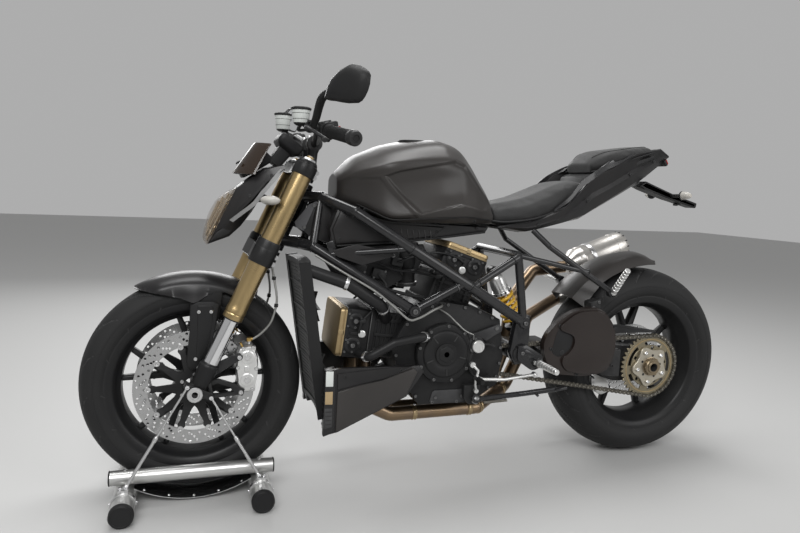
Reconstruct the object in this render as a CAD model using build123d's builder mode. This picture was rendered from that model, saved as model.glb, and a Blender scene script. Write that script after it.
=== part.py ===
from build123d import *
import math
import os

os.makedirs("parts", exist_ok=True)

# Frame: millimetres, X forward, Y to the machine's left, Z up, floor at Z 0.
# The origin is under the middle of the machine, 12 mm ahead of the middle of the wheelbase.

# Wheels and steering
wheelbase = 1475.0
rake = 24.5
front_x = 749.5
front_z = 315.0
rear_x = front_x - wheelbase
rear_z = 324.0
front_radius = 300.0
rear_radius = 324.0
axle_ahead_of_legs = 4.8
yoke_offset = 26.3
leg_spread = 105.0
rake_tan = math.tan(math.radians(rake))
rake_sin = math.sin(math.radians(rake))
rake_cos = math.cos(math.radians(rake))
leg_axis = Vector(-rake_sin, 0, rake_cos)
leg_forward = Vector(rake_cos, 0, rake_sin)

# Fork, from the axle up, as heights on the legs
fork_bottom_top = 389.0
fork_outer_low = 514.0
low_yoke_low = 665.0
low_yoke_top = 729.0
top_yoke_low = 908.0
top_yoke_top = 938.0
slider_r = 21.5
fork_outer_r = 27.0
bearing_gap = 0.08

# Small parts shared by several pieces
disc_r = 160.0
disc_y = 68.0
disc_thick = 5.0
axle_r = 12.5
axle_bore_r = 8.0
spindle_r = 25.0
spindle_bore_r = 14.25
chain_pitch = 15.875
rear_teeth = 42
front_teeth = 15
chain_y = 106.0


def leg_x(z):
    # X of a fork leg's centre line at height z
    return front_x - axle_ahead_of_legs - (z - front_z) * rake_tan


def leg_point(z, y=leg_spread):
    return Vector(leg_x(z), y, z)


def head_point(z, ahead=0.0, y=0.0):
    # the steering axis square behind the legs at height z, or a point ahead of that axis
    return Vector(leg_x(z), y, z) + leg_forward * (ahead - yoke_offset)


def side_plane(y, x=0.0, z=0.0):
    # a side-view sketch plane: local x is X, local y is Z, extruding goes to smaller Y
    return Plane(origin=(x, y, z), x_dir=(1, 0, 0), z_dir=(0, -1, 0))


def wheel_plane(x, z):
    # a half-section plane of a wheel: local x is Y, local y is the radius
    return Plane(origin=(x, 0, z), x_dir=(0, 1, 0), z_dir=(1, 0, 0))


def wheel_axis(x, z):
    return Axis((x, 0, z), (0, 1, 0))


def rod(start, end, radius, mode=Mode.ADD):
    # a round bar between two points
    run = Vector(end) - Vector(start)
    with BuildSketch(Plane(origin=start, z_dir=run.normalized())) as section:
        Circle(radius)
    extrude(section.sketch, amount=run.length, mode=mode)


def cone(start, end, radius_start, radius_end):
    # a tapered round bar between two points
    run = Vector(end) - Vector(start)
    along = run.normalized()
    with BuildSketch(Plane(origin=start, z_dir=along)) as first:
        Circle(radius_start)
    with BuildSketch(Plane(origin=end, z_dir=along)) as last:
        Circle(radius_end)
    loft([first.sketch.face(), last.sketch.face()])


def bent_tube(points, radius, bend):
    # a tube of one radius along straight runs joined by tangent arcs
    with BuildLine(mode=Mode.PRIVATE) as route:
        FilletPolyline(*points, radius=bend)
    with BuildSketch(Plane(origin=route.line @ 0, z_dir=route.line % 0)) as section:
        Circle(radius)
    sweep(section.sketch, path=route.line)


def side_plate(points, y_high, thickness, round_all=0.0, mode=Mode.ADD):
    # a plate whose outline is drawn in side view
    with BuildSketch(side_plane(y_high)) as outline:
        with BuildLine():
            Polyline(*points, close=True)
        make_face()
        if round_all > 0:
            fillet(outline.vertices(), radius=round_all)
    extrude(outline.sketch, amount=thickness, mode=mode)


def barrel(x, y_low, y_high, z, radius, mode=Mode.ADD):
    # a round boss along Y
    with BuildSketch(side_plane(y_high)) as section:
        with Locations((x, z)):
            Circle(radius)
    extrude(section.sketch, amount=y_high - y_low, mode=mode)


def flat(point):
    # a point's two coordinates in a sketch
    return (point.X, point.Y)


def cut_by(*pieces):
    # cuts the open part back to the surfaces of pieces that it seats against
    for piece in pieces:
        add(piece.part, mode=Mode.SUBTRACT)


def save(piece, name):
    piece.part.label = name
    export_step(piece.part, f"parts/{name}.step")


# Display stand under the front wheel
stand_half_base = 177.0
stand_cross_r = 30.0
stand_cross_half = 196.0
stand_cap_r = 31.0
stand_cap_length = 19.0
stand_side_r = 20.0
stand_side_y = 88.0
stand_side_half = 214.0
stand_side_z = 31.0 + stand_cross_r + stand_side_r + 0.4
stand_tray_r = front_radius + 6.0
stand_tray_thick = 2.0
stand_tray_half_width = 95.0
stand_rod_y = 138.0
stand_clamp_y = 145.0

with BuildPart() as stand_tubes:
    for end in (-1, 1):
        x = front_x + end * stand_half_base
        barrel(x, -stand_cross_half, stand_cross_half, 31.0, stand_cross_r)
    for side in (-1, 1):
        rod((front_x - stand_side_half, side * stand_side_y, stand_side_z),
            (front_x + stand_side_half, side * stand_side_y, stand_side_z), stand_side_r)
save(stand_tubes, "stand_tubes")

with BuildPart() as stand_end_caps:
    for end in (-1, 1):
        x = front_x + end * stand_half_base
        for side in (-1, 1):
            inner = side * stand_cross_half
            outer = side * (stand_cross_half + stand_cap_length)
            barrel(x, min(inner, outer), max(inner, outer), 31.0, stand_cap_r)
            rod((front_x + end * stand_side_half, side * stand_side_y, stand_side_z),
                (front_x + end * (stand_side_half + 4.0), side * stand_side_y, stand_side_z),
                stand_side_r + 0.8)
save(stand_end_caps, "stand_end_caps")

tray_end_angle = 31.0
with BuildPart() as stand_tray:
    with BuildSketch(side_plane(stand_tray_half_width, front_x, front_z)):
        with BuildLine():
            low = CenterArc((0, 0), stand_tray_r + stand_tray_thick, 270 - tray_end_angle,
                            2 * tray_end_angle)
            top = CenterArc((0, 0), stand_tray_r, 270 - tray_end_angle, 2 * tray_end_angle)
            Line(low @ 0, top @ 0)
            Line(low @ 1, top @ 1)
        make_face()
    extrude(amount=2 * stand_tray_half_width)
    for end in (-1, 1):
        barrel(front_x + end * stand_half_base, -stand_tray_half_width - 1,
               stand_tray_half_width + 1, 31.0, stand_cross_r, mode=Mode.SUBTRACT)
save(stand_tray, "stand_tray")

# The rods: columns are the end along X, the foot's height, and the top's X and Z on the plate
stand_rod_table = (
    (1, 74.0, front_x + 19.0, front_z + 23.0),
    (-1, 74.0, front_x - 42.0, front_z - 9.0),
)
with BuildPart() as stand_rods:
    for side in (-1, 1):
        for end, foot_z, top_x, top_z in stand_rod_table:
            foot = Vector(front_x + end * (stand_half_base - 5), side * stand_rod_y, foot_z)
            top = Vector(top_x, side * stand_rod_y, top_z)
            middle = foot + (top - foot) * 0.48
            rod(foot, middle, 4.5)
            rod(middle, top, 3.0)
            clamp_x = front_x + end * stand_half_base
            with BuildSketch(side_plane(side * stand_clamp_y + 9)):
                with Locations((clamp_x, 31.0)):
                    Circle(stand_cross_r + 4)
                    Circle(stand_cross_r, mode=Mode.SUBTRACT)
                    with Locations((0, -stand_cross_r - 4)):
                        Rectangle(90, 2 * stand_cross_r + 8, mode=Mode.SUBTRACT)
            extrude(amount=18)
            with Locations((clamp_x, side * stand_clamp_y, 31.0 + stand_cross_r + 8)):
                Box(26, 18, 14)
        plate_low, plate_high = sorted((side * 127.5, side * 134.0))
        with BuildSketch(side_plane(plate_high)):
            with BuildLine():
                Polyline((front_x + 24, front_z + 30), (front_x - 45, front_z + 0),
                         (front_x - 45, front_z - 16), (front_x - 36, front_z - 18),
                         (front_x + 12, front_z + 4), (front_x + 28, front_z + 20), close=True)
            make_face()
        extrude(amount=plate_high - plate_low)
        for end, foot_z, top_x, top_z in stand_rod_table:
            peg_low, peg_high = sorted((side * 130.0, side * (stand_rod_y + 5)))
            barrel(top_x, peg_low, peg_high, top_z, 6.0)
        plug_low, plug_high = sorted((side * 127.5, side * 136.0))
        barrel(front_x, plug_low, plug_high, front_z, 15.0)
        barrel(front_x, plug_low, plug_high, front_z, axle_bore_r, mode=Mode.SUBTRACT)
save(stand_rods, "stand_rods")

# Front axle, hollow, clamped in the fork bottoms
axle_half = 127.0
with BuildPart() as front_axle:
    barrel(front_x, -axle_half, axle_half, front_z, axle_r)
    for side in (-1, 1):
        low, high = sorted((side * 121.0, side * axle_half))
        barrel(front_x, low, high, front_z, axle_r + 2)
    barrel(front_x, -axle_half, axle_half, front_z, axle_bore_r, mode=Mode.SUBTRACT)
save(front_axle, "front_axle")

# Fork legs
with BuildPart() as fork_sliders:
    for side in (-1, 1):
        y = side * leg_spread
        rod(leg_point(340, y), leg_point(fork_outer_low + 20, y), slider_r)
save(fork_sliders, "fork_sliders")

with BuildPart() as fork_bottoms:
    for side in (-1, 1):
        y = side * leg_spread
        cone(leg_point(322, y), leg_point(fork_bottom_top, y), 21, 26)
        low, high = sorted((side * 84.0, side * 121.0))
        barrel(front_x, low, high, front_z, 25.0)
        lug_low, lug_high = sorted((side * 90.0, side * 104.0))
        side_plate([(front_x - 8, front_z + 22), (front_x - 8, front_z - 22),
                    (front_x - 124, front_z - 16), (front_x - 132, front_z - 2),
                    (front_x - 62, front_z + 30)], lug_high, lug_high - lug_low)
        side_plate([(front_x - 22, front_z + 60), (front_x - 30, front_z + 28),
                    (front_x - 124, front_z + 84), (front_x - 118, front_z + 102)],
                   lug_high, lug_high - lug_low)
    barrel(front_x, -axle_half, axle_half, front_z, axle_r, mode=Mode.SUBTRACT)
    cut_by(front_axle, fork_sliders)
save(fork_bottoms, "fork_bottoms")

with BuildPart() as fork_outer_tubes:
    for side in (-1, 1):
        y = side * leg_spread
        rod(leg_point(fork_outer_low, y), leg_point(top_yoke_top + 10, y), fork_outer_r)
        rod(leg_point(fork_outer_low, y), leg_point(fork_outer_low + 20, y), slider_r,
            mode=Mode.SUBTRACT)
save(fork_outer_tubes, "fork_outer_tubes")


def yoke_plate(z_low, z_high, ring_r, stem_r, web):
    # a triple clamp: two rings round the legs, a boss on the steering axis and a web
    thick = (z_high - z_low) / rake_cos
    base = Plane(origin=Vector(leg_x(z_low), 0, z_low), x_dir=(0, 1, 0), z_dir=leg_axis)
    with BuildSketch(base) as outline:
        with Locations((leg_spread, 0), (-leg_spread, 0)):
            Circle(ring_r)
        with Locations((0, yoke_offset)):
            Circle(stem_r)
        with BuildLine():
            Polyline((-leg_spread, -web), (leg_spread, -web), (leg_spread + 4, web),
                     (stem_r * 0.9, yoke_offset + stem_r * 0.8),
                     (-stem_r * 0.9, yoke_offset + stem_r * 0.8), (-leg_spread - 4, web),
                     close=True)
        make_face()
        with Locations((leg_spread, 0), (-leg_spread, 0)):
            Circle(fork_outer_r, mode=Mode.SUBTRACT)
    extrude(outline.sketch, amount=thick)


stem_r = 15.0
stem_top = top_yoke_top + 14
with BuildPart() as lower_yoke:
    yoke_plate(low_yoke_low, low_yoke_top - 22, 33.0, 30.0, 22.0)
    rod(head_point(low_yoke_top - 26), head_point(stem_top), stem_r)
save(lower_yoke, "lower_yoke")

with BuildPart() as upper_yoke:
    yoke_plate(top_yoke_low, top_yoke_top, 31.5, 26.0, 20.0)
    cut_by(lower_yoke)
save(upper_yoke, "upper_yoke")

# Handlebar: points of its centre line on the left, mirrored for the right
bar_r = 11.0
bar_centre = Vector(432.0, 0.0, 1000.0)
bar_knee = Vector(432.0, 62.0, 1000.0)
bar_rise = Vector(447.0, 190.0, 1030.0)
bar_end = Vector(404.0, 378.0, 998.0)
grip_start = bar_end + (bar_rise - bar_end) * 0.66
with BuildPart() as handlebar:
    right = [Vector(p.X, -p.Y, p.Z) for p in (bar_end, bar_rise, bar_knee)]
    bent_tube(right + [bar_knee, bar_rise, bar_end], bar_r, 50.0)
    for side in (-1, 1):
        riser_low = head_point(top_yoke_top, ahead=4, y=side * 42)
        riser_top = Vector(bar_centre.X, side * 42, bar_centre.Z)
        rod(riser_low, riser_top, 16.0)
        barrel(bar_centre.X, side * 42 - 14, side * 42 + 14, bar_centre.Z, 22.0)
    cut_by(upper_yoke)
save(handlebar, "handlebar")

with BuildPart() as hand_grips:
    for side in (-1, 1):
        start = Vector(grip_start.X, side * grip_start.Y, grip_start.Z)
        end = Vector(bar_end.X, side * bar_end.Y, bar_end.Z)
        along = (end - start).normalized()
        rod(start, end, 16.5)
        rod(end - along * 2, end + along * 22, 19.0)
        rod(start - along, end, bar_r, mode=Mode.SUBTRACT)
save(hand_grips, "hand_grips")

with BuildPart() as hand_controls:
    for side in (-1, 1):
        start = Vector(grip_start.X, side * grip_start.Y, grip_start.Z)
        rise = Vector(bar_rise.X, side * bar_rise.Y, bar_rise.Z)
        along = (start - rise).normalized()
        rod(start - along * 44, start - along * 1, 23.0)
        cylinder_at = start - along * 22
        body_in = Vector(cylinder_at.X + 30, cylinder_at.Y - side * 50, cylinder_at.Z + 8)
        body_out = Vector(cylinder_at.X + 44, cylinder_at.Y + side * 12, cylinder_at.Z + 4)
        rod(body_in, body_out, 13.0)
        rod(cylinder_at, cylinder_at + Vector(34, 0, 5), 9.0)
        lever_end = Vector(bar_end.X + 62, side * (bar_end.Y - 12), bar_end.Z - 8)
        bent_tube([body_out - Vector(6, 0, 0), body_out + Vector(8, side * 34, -2), lever_end],
                  6.0, 14.0)
    cut_by(handlebar, hand_grips)
save(hand_controls, "hand_controls")

# Reservoirs: columns are X, Y, base Z, radius, height, and the Y and Z where the arm meets the bar's control
reservoir_table = (
    (494.0, 186.0, 1040.0, 24.0, 34.0, 196.0, 1029.0),
    (489.0, -196.0, 1052.0, 25.0, 44.0, -198.0, 1029.0),
)
with BuildPart() as fluid_reservoirs:
    for x, y, z, radius, height, arm_y, arm_z in reservoir_table:
        cone(Vector(x, y, z), Vector(x, y, z + height), radius * 0.85, radius)
        rod(Vector(x, y, z + height), Vector(x, y, z + height + 7), radius + 2)
        rod(Vector(x - 4, y, z + 4), Vector(466, arm_y, arm_z), 6.0)
    cut_by(hand_controls)
save(fluid_reservoirs, "fluid_reservoirs")

# Mirrors: the outline is drawn on a plane that faces back and a little inward
mirror_centre = Vector(432.0, 425.0, 1115.0)
mirror_outline = ((-60, 31), (-36, -11), (-4, -28), (26, -35), (58, -22), (75, -7), (72, 14), (57, 40),
                  (41, 51), (8, 48), (-32, 37))
mirror_arm = (Vector(475, 248, 1027), Vector(471, 288, 1062), Vector(470, 318, 1090), Vector(452, 384, 1104))
with BuildPart() as mirrors:
    for side in (-1, 1):
        centre = Vector(mirror_centre.X, side * mirror_centre.Y, mirror_centre.Z)
        face = Plane(origin=centre, x_dir=(-0.55, side * 0.83, 0.08), z_dir=(-0.83, -side * 0.55, 0))
        with BuildSketch(face) as outline:
            with BuildLine():
                Polyline(*[(u, side * v) for u, v in mirror_outline], close=True)
            make_face()
            fillet(outline.vertices(), radius=5)
        with BuildSketch(face.offset(-26)) as back:
            with BuildLine():
                Polyline(*[(8 + (u - 8) * 0.62, side * (10 + (v - 10) * 0.62)) for u, v in mirror_outline],
                         close=True)
            make_face()
            fillet(back.vertices(), radius=3)
        loft()
        bent_tube([Vector(p.X, side * p.Y, p.Z) for p in mirror_arm], 10.5, 16.0)
    cut_by(hand_controls, hand_grips)
save(mirrors, "mirrors")

# Headlight: a wedge-shaped shell lofted square to its own axis, with the lens as its front
# Sections: X, low Z, high Z, half width low, half width high
nose_sections = (
    (722.0, 706.0, 742.0, 26.0, 18.0),
    (650.0, 738.0, 862.0, 84.0, 50.0),
    (604.0, 802.0, 898.0, 106.0, 72.0),
    (570.0, 860.0, 922.0, 107.0, 80.0),
    (521.0, 914.0, 934.0, 104.0, 90.0),
)


def nose_section(x, low, high, half_low, half_high):
    middle = low + (high - low) * 0.4
    with BuildSketch(Plane.YZ.offset(x)) as section:
        with BuildLine():
            Polyline((-half_low * 0.6, low), (half_low * 0.6, low), (half_low, middle),
                     (half_high, high), (-half_high, high), (-half_low, middle), close=True)
        make_face()
    return section.sketch.face()


lens_front = 676.0
with BuildPart() as headlight_shell:
    loft([nose_section(*row) for row in nose_sections], ruled=True)
    side_plate([(800, 600), (800, 900), (640, 900), (lens_front, 700)], 200, 400,
               mode=Mode.SUBTRACT)
save(headlight_shell, "headlight_shell")

with BuildPart() as headlight_lens:
    loft([nose_section(*row) for row in nose_sections[:2]], ruled=True)
    side_plate([(600, 600), (lens_front + 14.0, 600), (lens_front, 700), (640, 900),
                (600, 900)], 200, 400, mode=Mode.SUBTRACT)
save(headlight_lens, "headlight_lens")

with BuildPart() as flyscreen:
    with BuildSketch(Plane(origin=(589, 0, 991), x_dir=(0, 1, 0), z_dir=(-0.83, 0, -0.56))):
        with BuildLine():
            Polyline((-62, 0), (62, 0), (84, 104), (-84, 104), close=True)
        make_face()
    extrude(amount=6)
    for side in (-1, 1):
        rod(Vector(628, side * 34, 928), Vector(606, side * 34, 884), 6.0)
    cut_by(headlight_shell)
save(flyscreen, "flyscreen")

with BuildPart() as instrument:
    with BuildSketch(Plane(origin=(505, 0, 985), x_dir=(0, 1, 0), z_dir=(-0.6, 0, 0.8))) as dial:
        Rectangle(128, 74)
        fillet(dial.vertices(), radius=12)
    extrude(amount=26)
    with BuildSketch(Plane(origin=(505, 0, 985), x_dir=(0, 1, 0), z_dir=(-0.6, 0, 0.8))):
        Rectangle(60, 30)
    extrude(amount=-62)
    cut_by(upper_yoke, headlight_shell)
save(instrument, "instrument")

# Front mudguard: a blade over the tyre with a leg down to each fork bottom
fender_start = 57.0
fender_end = 130.0
fender_section = ((0, 317), (32, 312), (58, 298), (69, 284), (70, 262))
fender_thick = 3.0


def fender_half_section():
    pts = [(-y, r) for y, r in reversed(fender_section)] + list(fender_section[1:])
    inner = [(y * 0.955, r - fender_thick) for y, r in pts]
    return pts + inner[::-1]


with BuildPart() as front_fender:
    tilt = Plane(origin=(front_x, 0, front_z), x_dir=(0, 1, 0),
                 z_dir=(math.sin(math.radians(fender_start)), 0,
                        -math.cos(math.radians(fender_start))))
    with BuildSketch(tilt):
        with BuildLine():
            Polyline(*fender_half_section(), close=True)
        make_face()
    revolve(axis=Axis((front_x, 0, front_z), (0, -1, 0)),
            revolution_arc=fender_end - fender_start)
    side_plate([(front_x + 10, 556), (front_x + 34, 576), (front_x + 66, 586), (front_x + 140, 598),
                (front_x + 330, 560), (front_x + 330, 300), (front_x + 10, 300)], 200, 400,
               mode=Mode.SUBTRACT)
    side_plate([(front_x - 66, 548), (front_x - 110, 572), (front_x - 330, 470), (front_x - 330, 300),
                (front_x - 66, 300)], 200, 400, mode=Mode.SUBTRACT)
    for side in (-1, 1):
        low, high = sorted((side * 66.0, side * 84.0))
        side_plate([(front_x - 72, 592), (front_x + 12, 596), (front_x + 12, 500),
                    (front_x - 62, 500)], high, high - low)
        low, high = sorted((side * 76.0, side * 84.0))
        side_plate([(front_x - 62, 502), (front_x + 12, 502), (front_x + 16, 450),
                    (front_x + 22, 384), (front_x + 8, 366), (front_x - 31, 387),
                    (front_x - 46, 440)], high, high - low)
    cut_by(fork_bottoms)
save(front_fender, "front_fender")

# Front calipers: monobloc bodies that straddle the discs behind the legs
caliper_centre = (front_x - 139.0, front_z + 53.0)
caliper_half_long = 72.0
caliper_half_deep = 30.0
with BuildPart() as front_calipers:
    for side in (-1, 1):
        low, high = sorted((side * 44.0, side * 100.0))
        body = side_plane(high, caliper_centre[0], caliper_centre[1])
        with BuildSketch(body) as outline:
            with BuildLine():
                Polyline((-12, caliper_half_long), (24, caliper_half_long - 6), (32, 30),
                         (28, -40), (10, -caliper_half_long), (-20, -caliper_half_long + 8),
                         (-caliper_half_deep, -20), (-caliper_half_deep, 34), close=True)
            make_face()
            fillet(outline.vertices(), radius=7)
        extrude(amount=high - low)
        gap_low, gap_high = sorted((side * (disc_y - 8.5), side * (disc_y + 8.5)))
        barrel(front_x, gap_low, gap_high, front_z, disc_r + 6, mode=Mode.SUBTRACT)
    cut_by(fork_bottoms)
save(front_calipers, "front_calipers")

with BuildPart() as front_signals:
    for side in (-1, 1):
        stalk = Vector(566, side * 96, 838)
        tip = Vector(556, side * 158, 838)
        rod(Vector(604, side * 70, 846), stalk + (tip - stalk) * 0.5, 7.0)
        with BuildSketch(Plane(origin=stalk + (tip - stalk) * 0.45, x_dir=(1, 0, 0),
                               z_dir=(tip - stalk).normalized())):
            Ellipse(26, 13)
        with BuildSketch(Plane(origin=tip, x_dir=(1, 0, 0), z_dir=(tip - stalk).normalized())):
            Ellipse(15, 7)
        loft()
    cut_by(headlight_shell)
save(front_signals, "front_signals")

# Brake hoses: one for each caliper from the lower yoke, laid down the back of the leg
with BuildPart() as brake_hoses:
    for side in (-1, 1):
        bent_tube([Vector(548, side * 62, 668), Vector(540, side * 72, 620),
                   Vector(532, side * 84, 560), Vector(548, side * 92, 500),
                   Vector(590, side * 88, 452), Vector(604, side * 86, 440)], 3.2, 16.0)
    cut_by(front_calipers, lower_yoke)
save(brake_hoses, "brake_hoses")


# Wheels: half-sections are lists of Y and radius
def mirrored(half):
    return [(-y, r) for y, r in reversed(half)] + list(half)


def revolve_profile(x, z, points, mode=Mode.ADD):
    with BuildSketch(wheel_plane(x, z)) as section:
        with BuildLine():
            Polyline(*points, close=True)
        make_face()
    revolve(section.sketch, axis=wheel_axis(x, z), mode=mode)


rim_seat_r = 220.0
rim_inner_r = 204.0


def make_tyre(x, z, crown_r, half_width, flange_half):
    side_r = rim_seat_r + (crown_r - rim_seat_r) * 0.48
    half = [(half_width * 0.30, crown_r), (half_width * 0.76, crown_r - half_width * 0.23),
            (half_width, side_r), (flange_half - 1, rim_seat_r + 9), (flange_half - 6, rim_seat_r)]
    revolve_profile(x, z, mirrored(half))


def make_rim(x, z, flange_half):
    seat = [(flange_half - 6, rim_seat_r), (flange_half - 1, rim_seat_r + 9),
            (flange_half + 3, rim_seat_r + 8), (flange_half - 3, rim_inner_r)]
    well = [(flange_half * 0.5, rim_inner_r - 12), (-flange_half * 0.5, rim_inner_r - 12)]
    revolve_profile(x, z, mirrored(seat) + well)


def make_spokes(x, z, y_hub, y_rim, hub_r, fork_r, spoke_width, spoke_depth, count):
    # Y-shaped spokes: one stem off the hub that splits in two before the rim
    with BuildSketch(side_plane(y_rim + spoke_depth / 2, x, z)) as outline:
        for i in range(count):
            turn = 360.0 * i / count + 90
            for split in (-13.0, 13.0):
                tip = Vector(rim_inner_r - 6, 0, 0).rotate(Axis.Z, turn + split)
                root = Vector(fork_r, 0, 0).rotate(Axis.Z, turn)
                across = (tip - root).normalized().rotate(Axis.Z, 90) * (spoke_width / 2)
                with BuildLine():
                    Polyline(flat(root + across), flat(tip + across),
                             flat(tip - across), flat(root - across),
                             close=True)
                make_face()
            stem_in = Vector(hub_r - 6, 0, 0).rotate(Axis.Z, turn)
            stem_out = Vector(fork_r + spoke_width * 0.4, 0, 0).rotate(Axis.Z, turn)
            across = Vector(0, 1, 0).rotate(Axis.Z, turn) * (spoke_width * 0.8)
            with BuildLine():
                Polyline(flat(stem_in + across), flat(stem_out + across),
                         flat(stem_out - across), flat(stem_in - across),
                         close=True)
            make_face()
    extrude(outline.sketch, amount=spoke_depth)


front_flange_half = 48.0
front_hub_half = 65.0
with BuildPart() as front_tyre:
    make_tyre(front_x, front_z, front_radius, 60.0, front_flange_half)
save(front_tyre, "front_tyre")

with BuildPart() as front_rim:
    make_rim(front_x, front_z, front_flange_half)
    make_spokes(front_x, front_z, 0.0, 0.0, 40.0, 96.0, 17.0, 30.0, 5)
    barrel(front_x, -front_hub_half, front_hub_half, front_z, 38.0)
    barrel(front_x, -front_hub_half - 1, front_hub_half + 1, front_z, axle_r + bearing_gap, mode=Mode.SUBTRACT)
save(front_rim, "front_rim")

with BuildPart() as front_discs:
    for side in (-1, 1):
        low, high = sorted((side * (disc_y - disc_thick / 2), side * (disc_y + disc_thick / 2)))
        barrel(front_x, low, high, front_z, disc_r)
        barrel(front_x, low - 1, high + 1, front_z, 122.0, mode=Mode.SUBTRACT)
save(front_discs, "front_discs")

with BuildPart() as disc_carriers:
    for side in (-1, 1):
        low, high = sorted((side * 65.0, side * 71.0))
        with BuildSketch(side_plane(high, front_x, front_z)):
            Circle(122)
            Circle(108, mode=Mode.SUBTRACT)
            Circle(46)
            with PolarLocations(78, 10):
                Rectangle(72, 11)
            Circle(38, mode=Mode.SUBTRACT)
        extrude(amount=high - low)
save(disc_carriers, "disc_carriers")

# Rear wheel on its live spindle
rear_flange_half = 74.0
rear_hub_low = -58.0
rear_hub_high = -2.0
with BuildPart() as rear_tyre:
    make_tyre(rear_x, rear_z, rear_radius, 90.0, rear_flange_half)
save(rear_tyre, "rear_tyre")

with BuildPart() as rear_rim:
    make_rim(rear_x, rear_z, rear_flange_half)
    make_spokes(rear_x, rear_z, -30.0, -40.0, 46.0, 100.0, 20.0, 34.0, 5)
    barrel(rear_x, rear_hub_low, rear_hub_high, rear_z, 50.0)
    barrel(rear_x, rear_hub_low - 1, rear_hub_high + 1, rear_z, spindle_r, mode=Mode.SUBTRACT)
save(rear_rim, "rear_rim")

with BuildPart() as rear_disc:
    barrel(rear_x, 4.0, 9.0, rear_z, 122.5)
    barrel(rear_x, 3.0, 10.0, rear_z, 86.0, mode=Mode.SUBTRACT)
    barrel(rear_x, rear_hub_high, 4.0, rear_z, 46.0)
    barrel(rear_x, 3.0, 9.0, rear_z, 88.0)
    barrel(rear_x, rear_hub_high - 1, 10.0, rear_z, spindle_r, mode=Mode.SUBTRACT)
save(rear_disc, "rear_disc")

sprocket_low = chain_y - 3.0
sprocket_high = chain_y + 3.0
sprocket_pitch_r = chain_pitch / (2 * math.sin(math.pi / rear_teeth))
slot_outer_r = 84.0
slot_inner_r = 72.0
slot_start = 27.0
slot_half_angle = 25.0
carrier_r = 52.0
carrier_lobe_r = 15.0
with BuildPart() as rear_sprocket:
    with BuildSketch(side_plane(sprocket_high, rear_x, rear_z)):
        Circle(sprocket_pitch_r - 5.5)
        with PolarLocations(sprocket_pitch_r - 5.8, rear_teeth):
            Trapezoid(9.4, 10.0, 72, rotation=-90, align=(Align.CENTER, Align.MIN))
        for i in range(5):
            middle = slot_start + 72.0 * i
            with BuildLine():
                outer = CenterArc((0, 0), slot_outer_r, middle - slot_half_angle, 2 * slot_half_angle)
                inner = CenterArc((0, 0), slot_inner_r, middle - slot_half_angle, 2 * slot_half_angle)
                Line(outer @ 0, inner @ 0)
                Line(outer @ 1, inner @ 1)
            make_face(mode=Mode.SUBTRACT)
        Circle(spindle_r, mode=Mode.SUBTRACT)
    extrude(amount=sprocket_high - sprocket_low)
save(rear_sprocket, "rear_sprocket")

hub_low = 17.0
hub_high = 96.0
with BuildPart() as rear_spindle:
    barrel(rear_x, rear_hub_low - 14, 136.0, rear_z, spindle_r)
    with BuildSketch(side_plane(sprocket_high + 9, rear_x, rear_z)) as carrier:
        Circle(carrier_r)
        with PolarLocations(carrier_r, 5, start_angle=slot_start + 36.0):
            Circle(carrier_lobe_r)
    extrude(carrier.sketch, amount=9)
    barrel(rear_x, sprocket_high + 9, 132.0, rear_z, 30.0)
    barrel(rear_x, rear_hub_low - 16, rear_hub_low, rear_z, 40.0)
    barrel(rear_x, rear_hub_low - 20, 138.0, rear_z, spindle_bore_r, mode=Mode.SUBTRACT)
save(rear_spindle, "rear_spindle")

# Swingarm pivot, carried by the frame's lug plates
pivot_x = -210.0
pivot_z = 392.0
pivot_pin_r = 10.0

# Trellis frame: tubes listed as start point, end point and radius; each is mirrored
head_node_top = Vector(410.0, 46.0, 850.0)
head_node_low = Vector(462.0, 42.0, 716.0)
frame_tubes = (
    (head_node_top, Vector(325.0, 122.0, 815.0), 16.0),
    (Vector(325.0, 122.0, 815.0), Vector(172.0, 172.0, 719.0), 16.0),
    (Vector(172.0, 172.0, 719.0), Vector(-14.0, 170.0, 611.0), 16.0),
    (Vector(-14.0, 170.0, 611.0), Vector(-219.0, 132.0, 490.0), 16.0),
    (head_node_low, Vector(434.0, 78.0, 712.0), 16.0),
    (Vector(434.0, 78.0, 712.0), Vector(156.0, 168.0, 540.0), 15.0),
    (Vector(380.0, 96.0, 692.0), Vector(190.0, 168.0, 716.0), 9.0),
    (Vector(156.0, 168.0, 540.0), Vector(10.0, 170.0, 616.0), 12.0),
    (Vector(-30.0, 168.0, 610.0), Vector(-180.0, 142.0, 692.0), 12.0),
    (Vector(-184.0, 140.0, 700.0), Vector(-219.0, 132.0, 490.0), 13.0),
    (Vector(410.0, 46.0, 850.0), Vector(434.0, 78.0, 712.0), 12.0),
)
head_tube_low = low_yoke_top - 16
head_tube_top = top_yoke_low - 6
with BuildPart() as trellis_frame:
    rod(head_point(head_tube_low), head_point(head_tube_top), 30.0)
    for start, end, radius in frame_tubes:
        for side in (-1, 1):
            rod(Vector(start.X, side * start.Y, start.Z), Vector(end.X, side * end.Y, end.Z), radius)
    for side in (-1, 1):
        rod(head_point(862, y=0), Vector(head_node_top.X, side * head_node_top.Y, 850.0), 16.0)
        rod(head_point(735, y=0), Vector(head_node_low.X, side * head_node_low.Y, 716.0), 16.0)
        low, high = sorted((side * 117.0, side * 142.0))
        side_plate([(-196, 520), (-240, 512), (-236, 372), (-196, 356), (-176, 400)], high, high - low,
                   round_all=8)
    rod(Vector(-184, -140, 700), Vector(-184, 140, 700), 13.0)
    barrel(pivot_x, -120.0, 120.0, pivot_z, pivot_pin_r)
    rod(head_point(head_tube_low - 2), head_point(head_tube_top + 2), stem_r + bearing_gap,
        mode=Mode.SUBTRACT)
save(trellis_frame, "trellis_frame")

front_sprocket_x = -96.0
front_sprocket_z = 372.0

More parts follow.
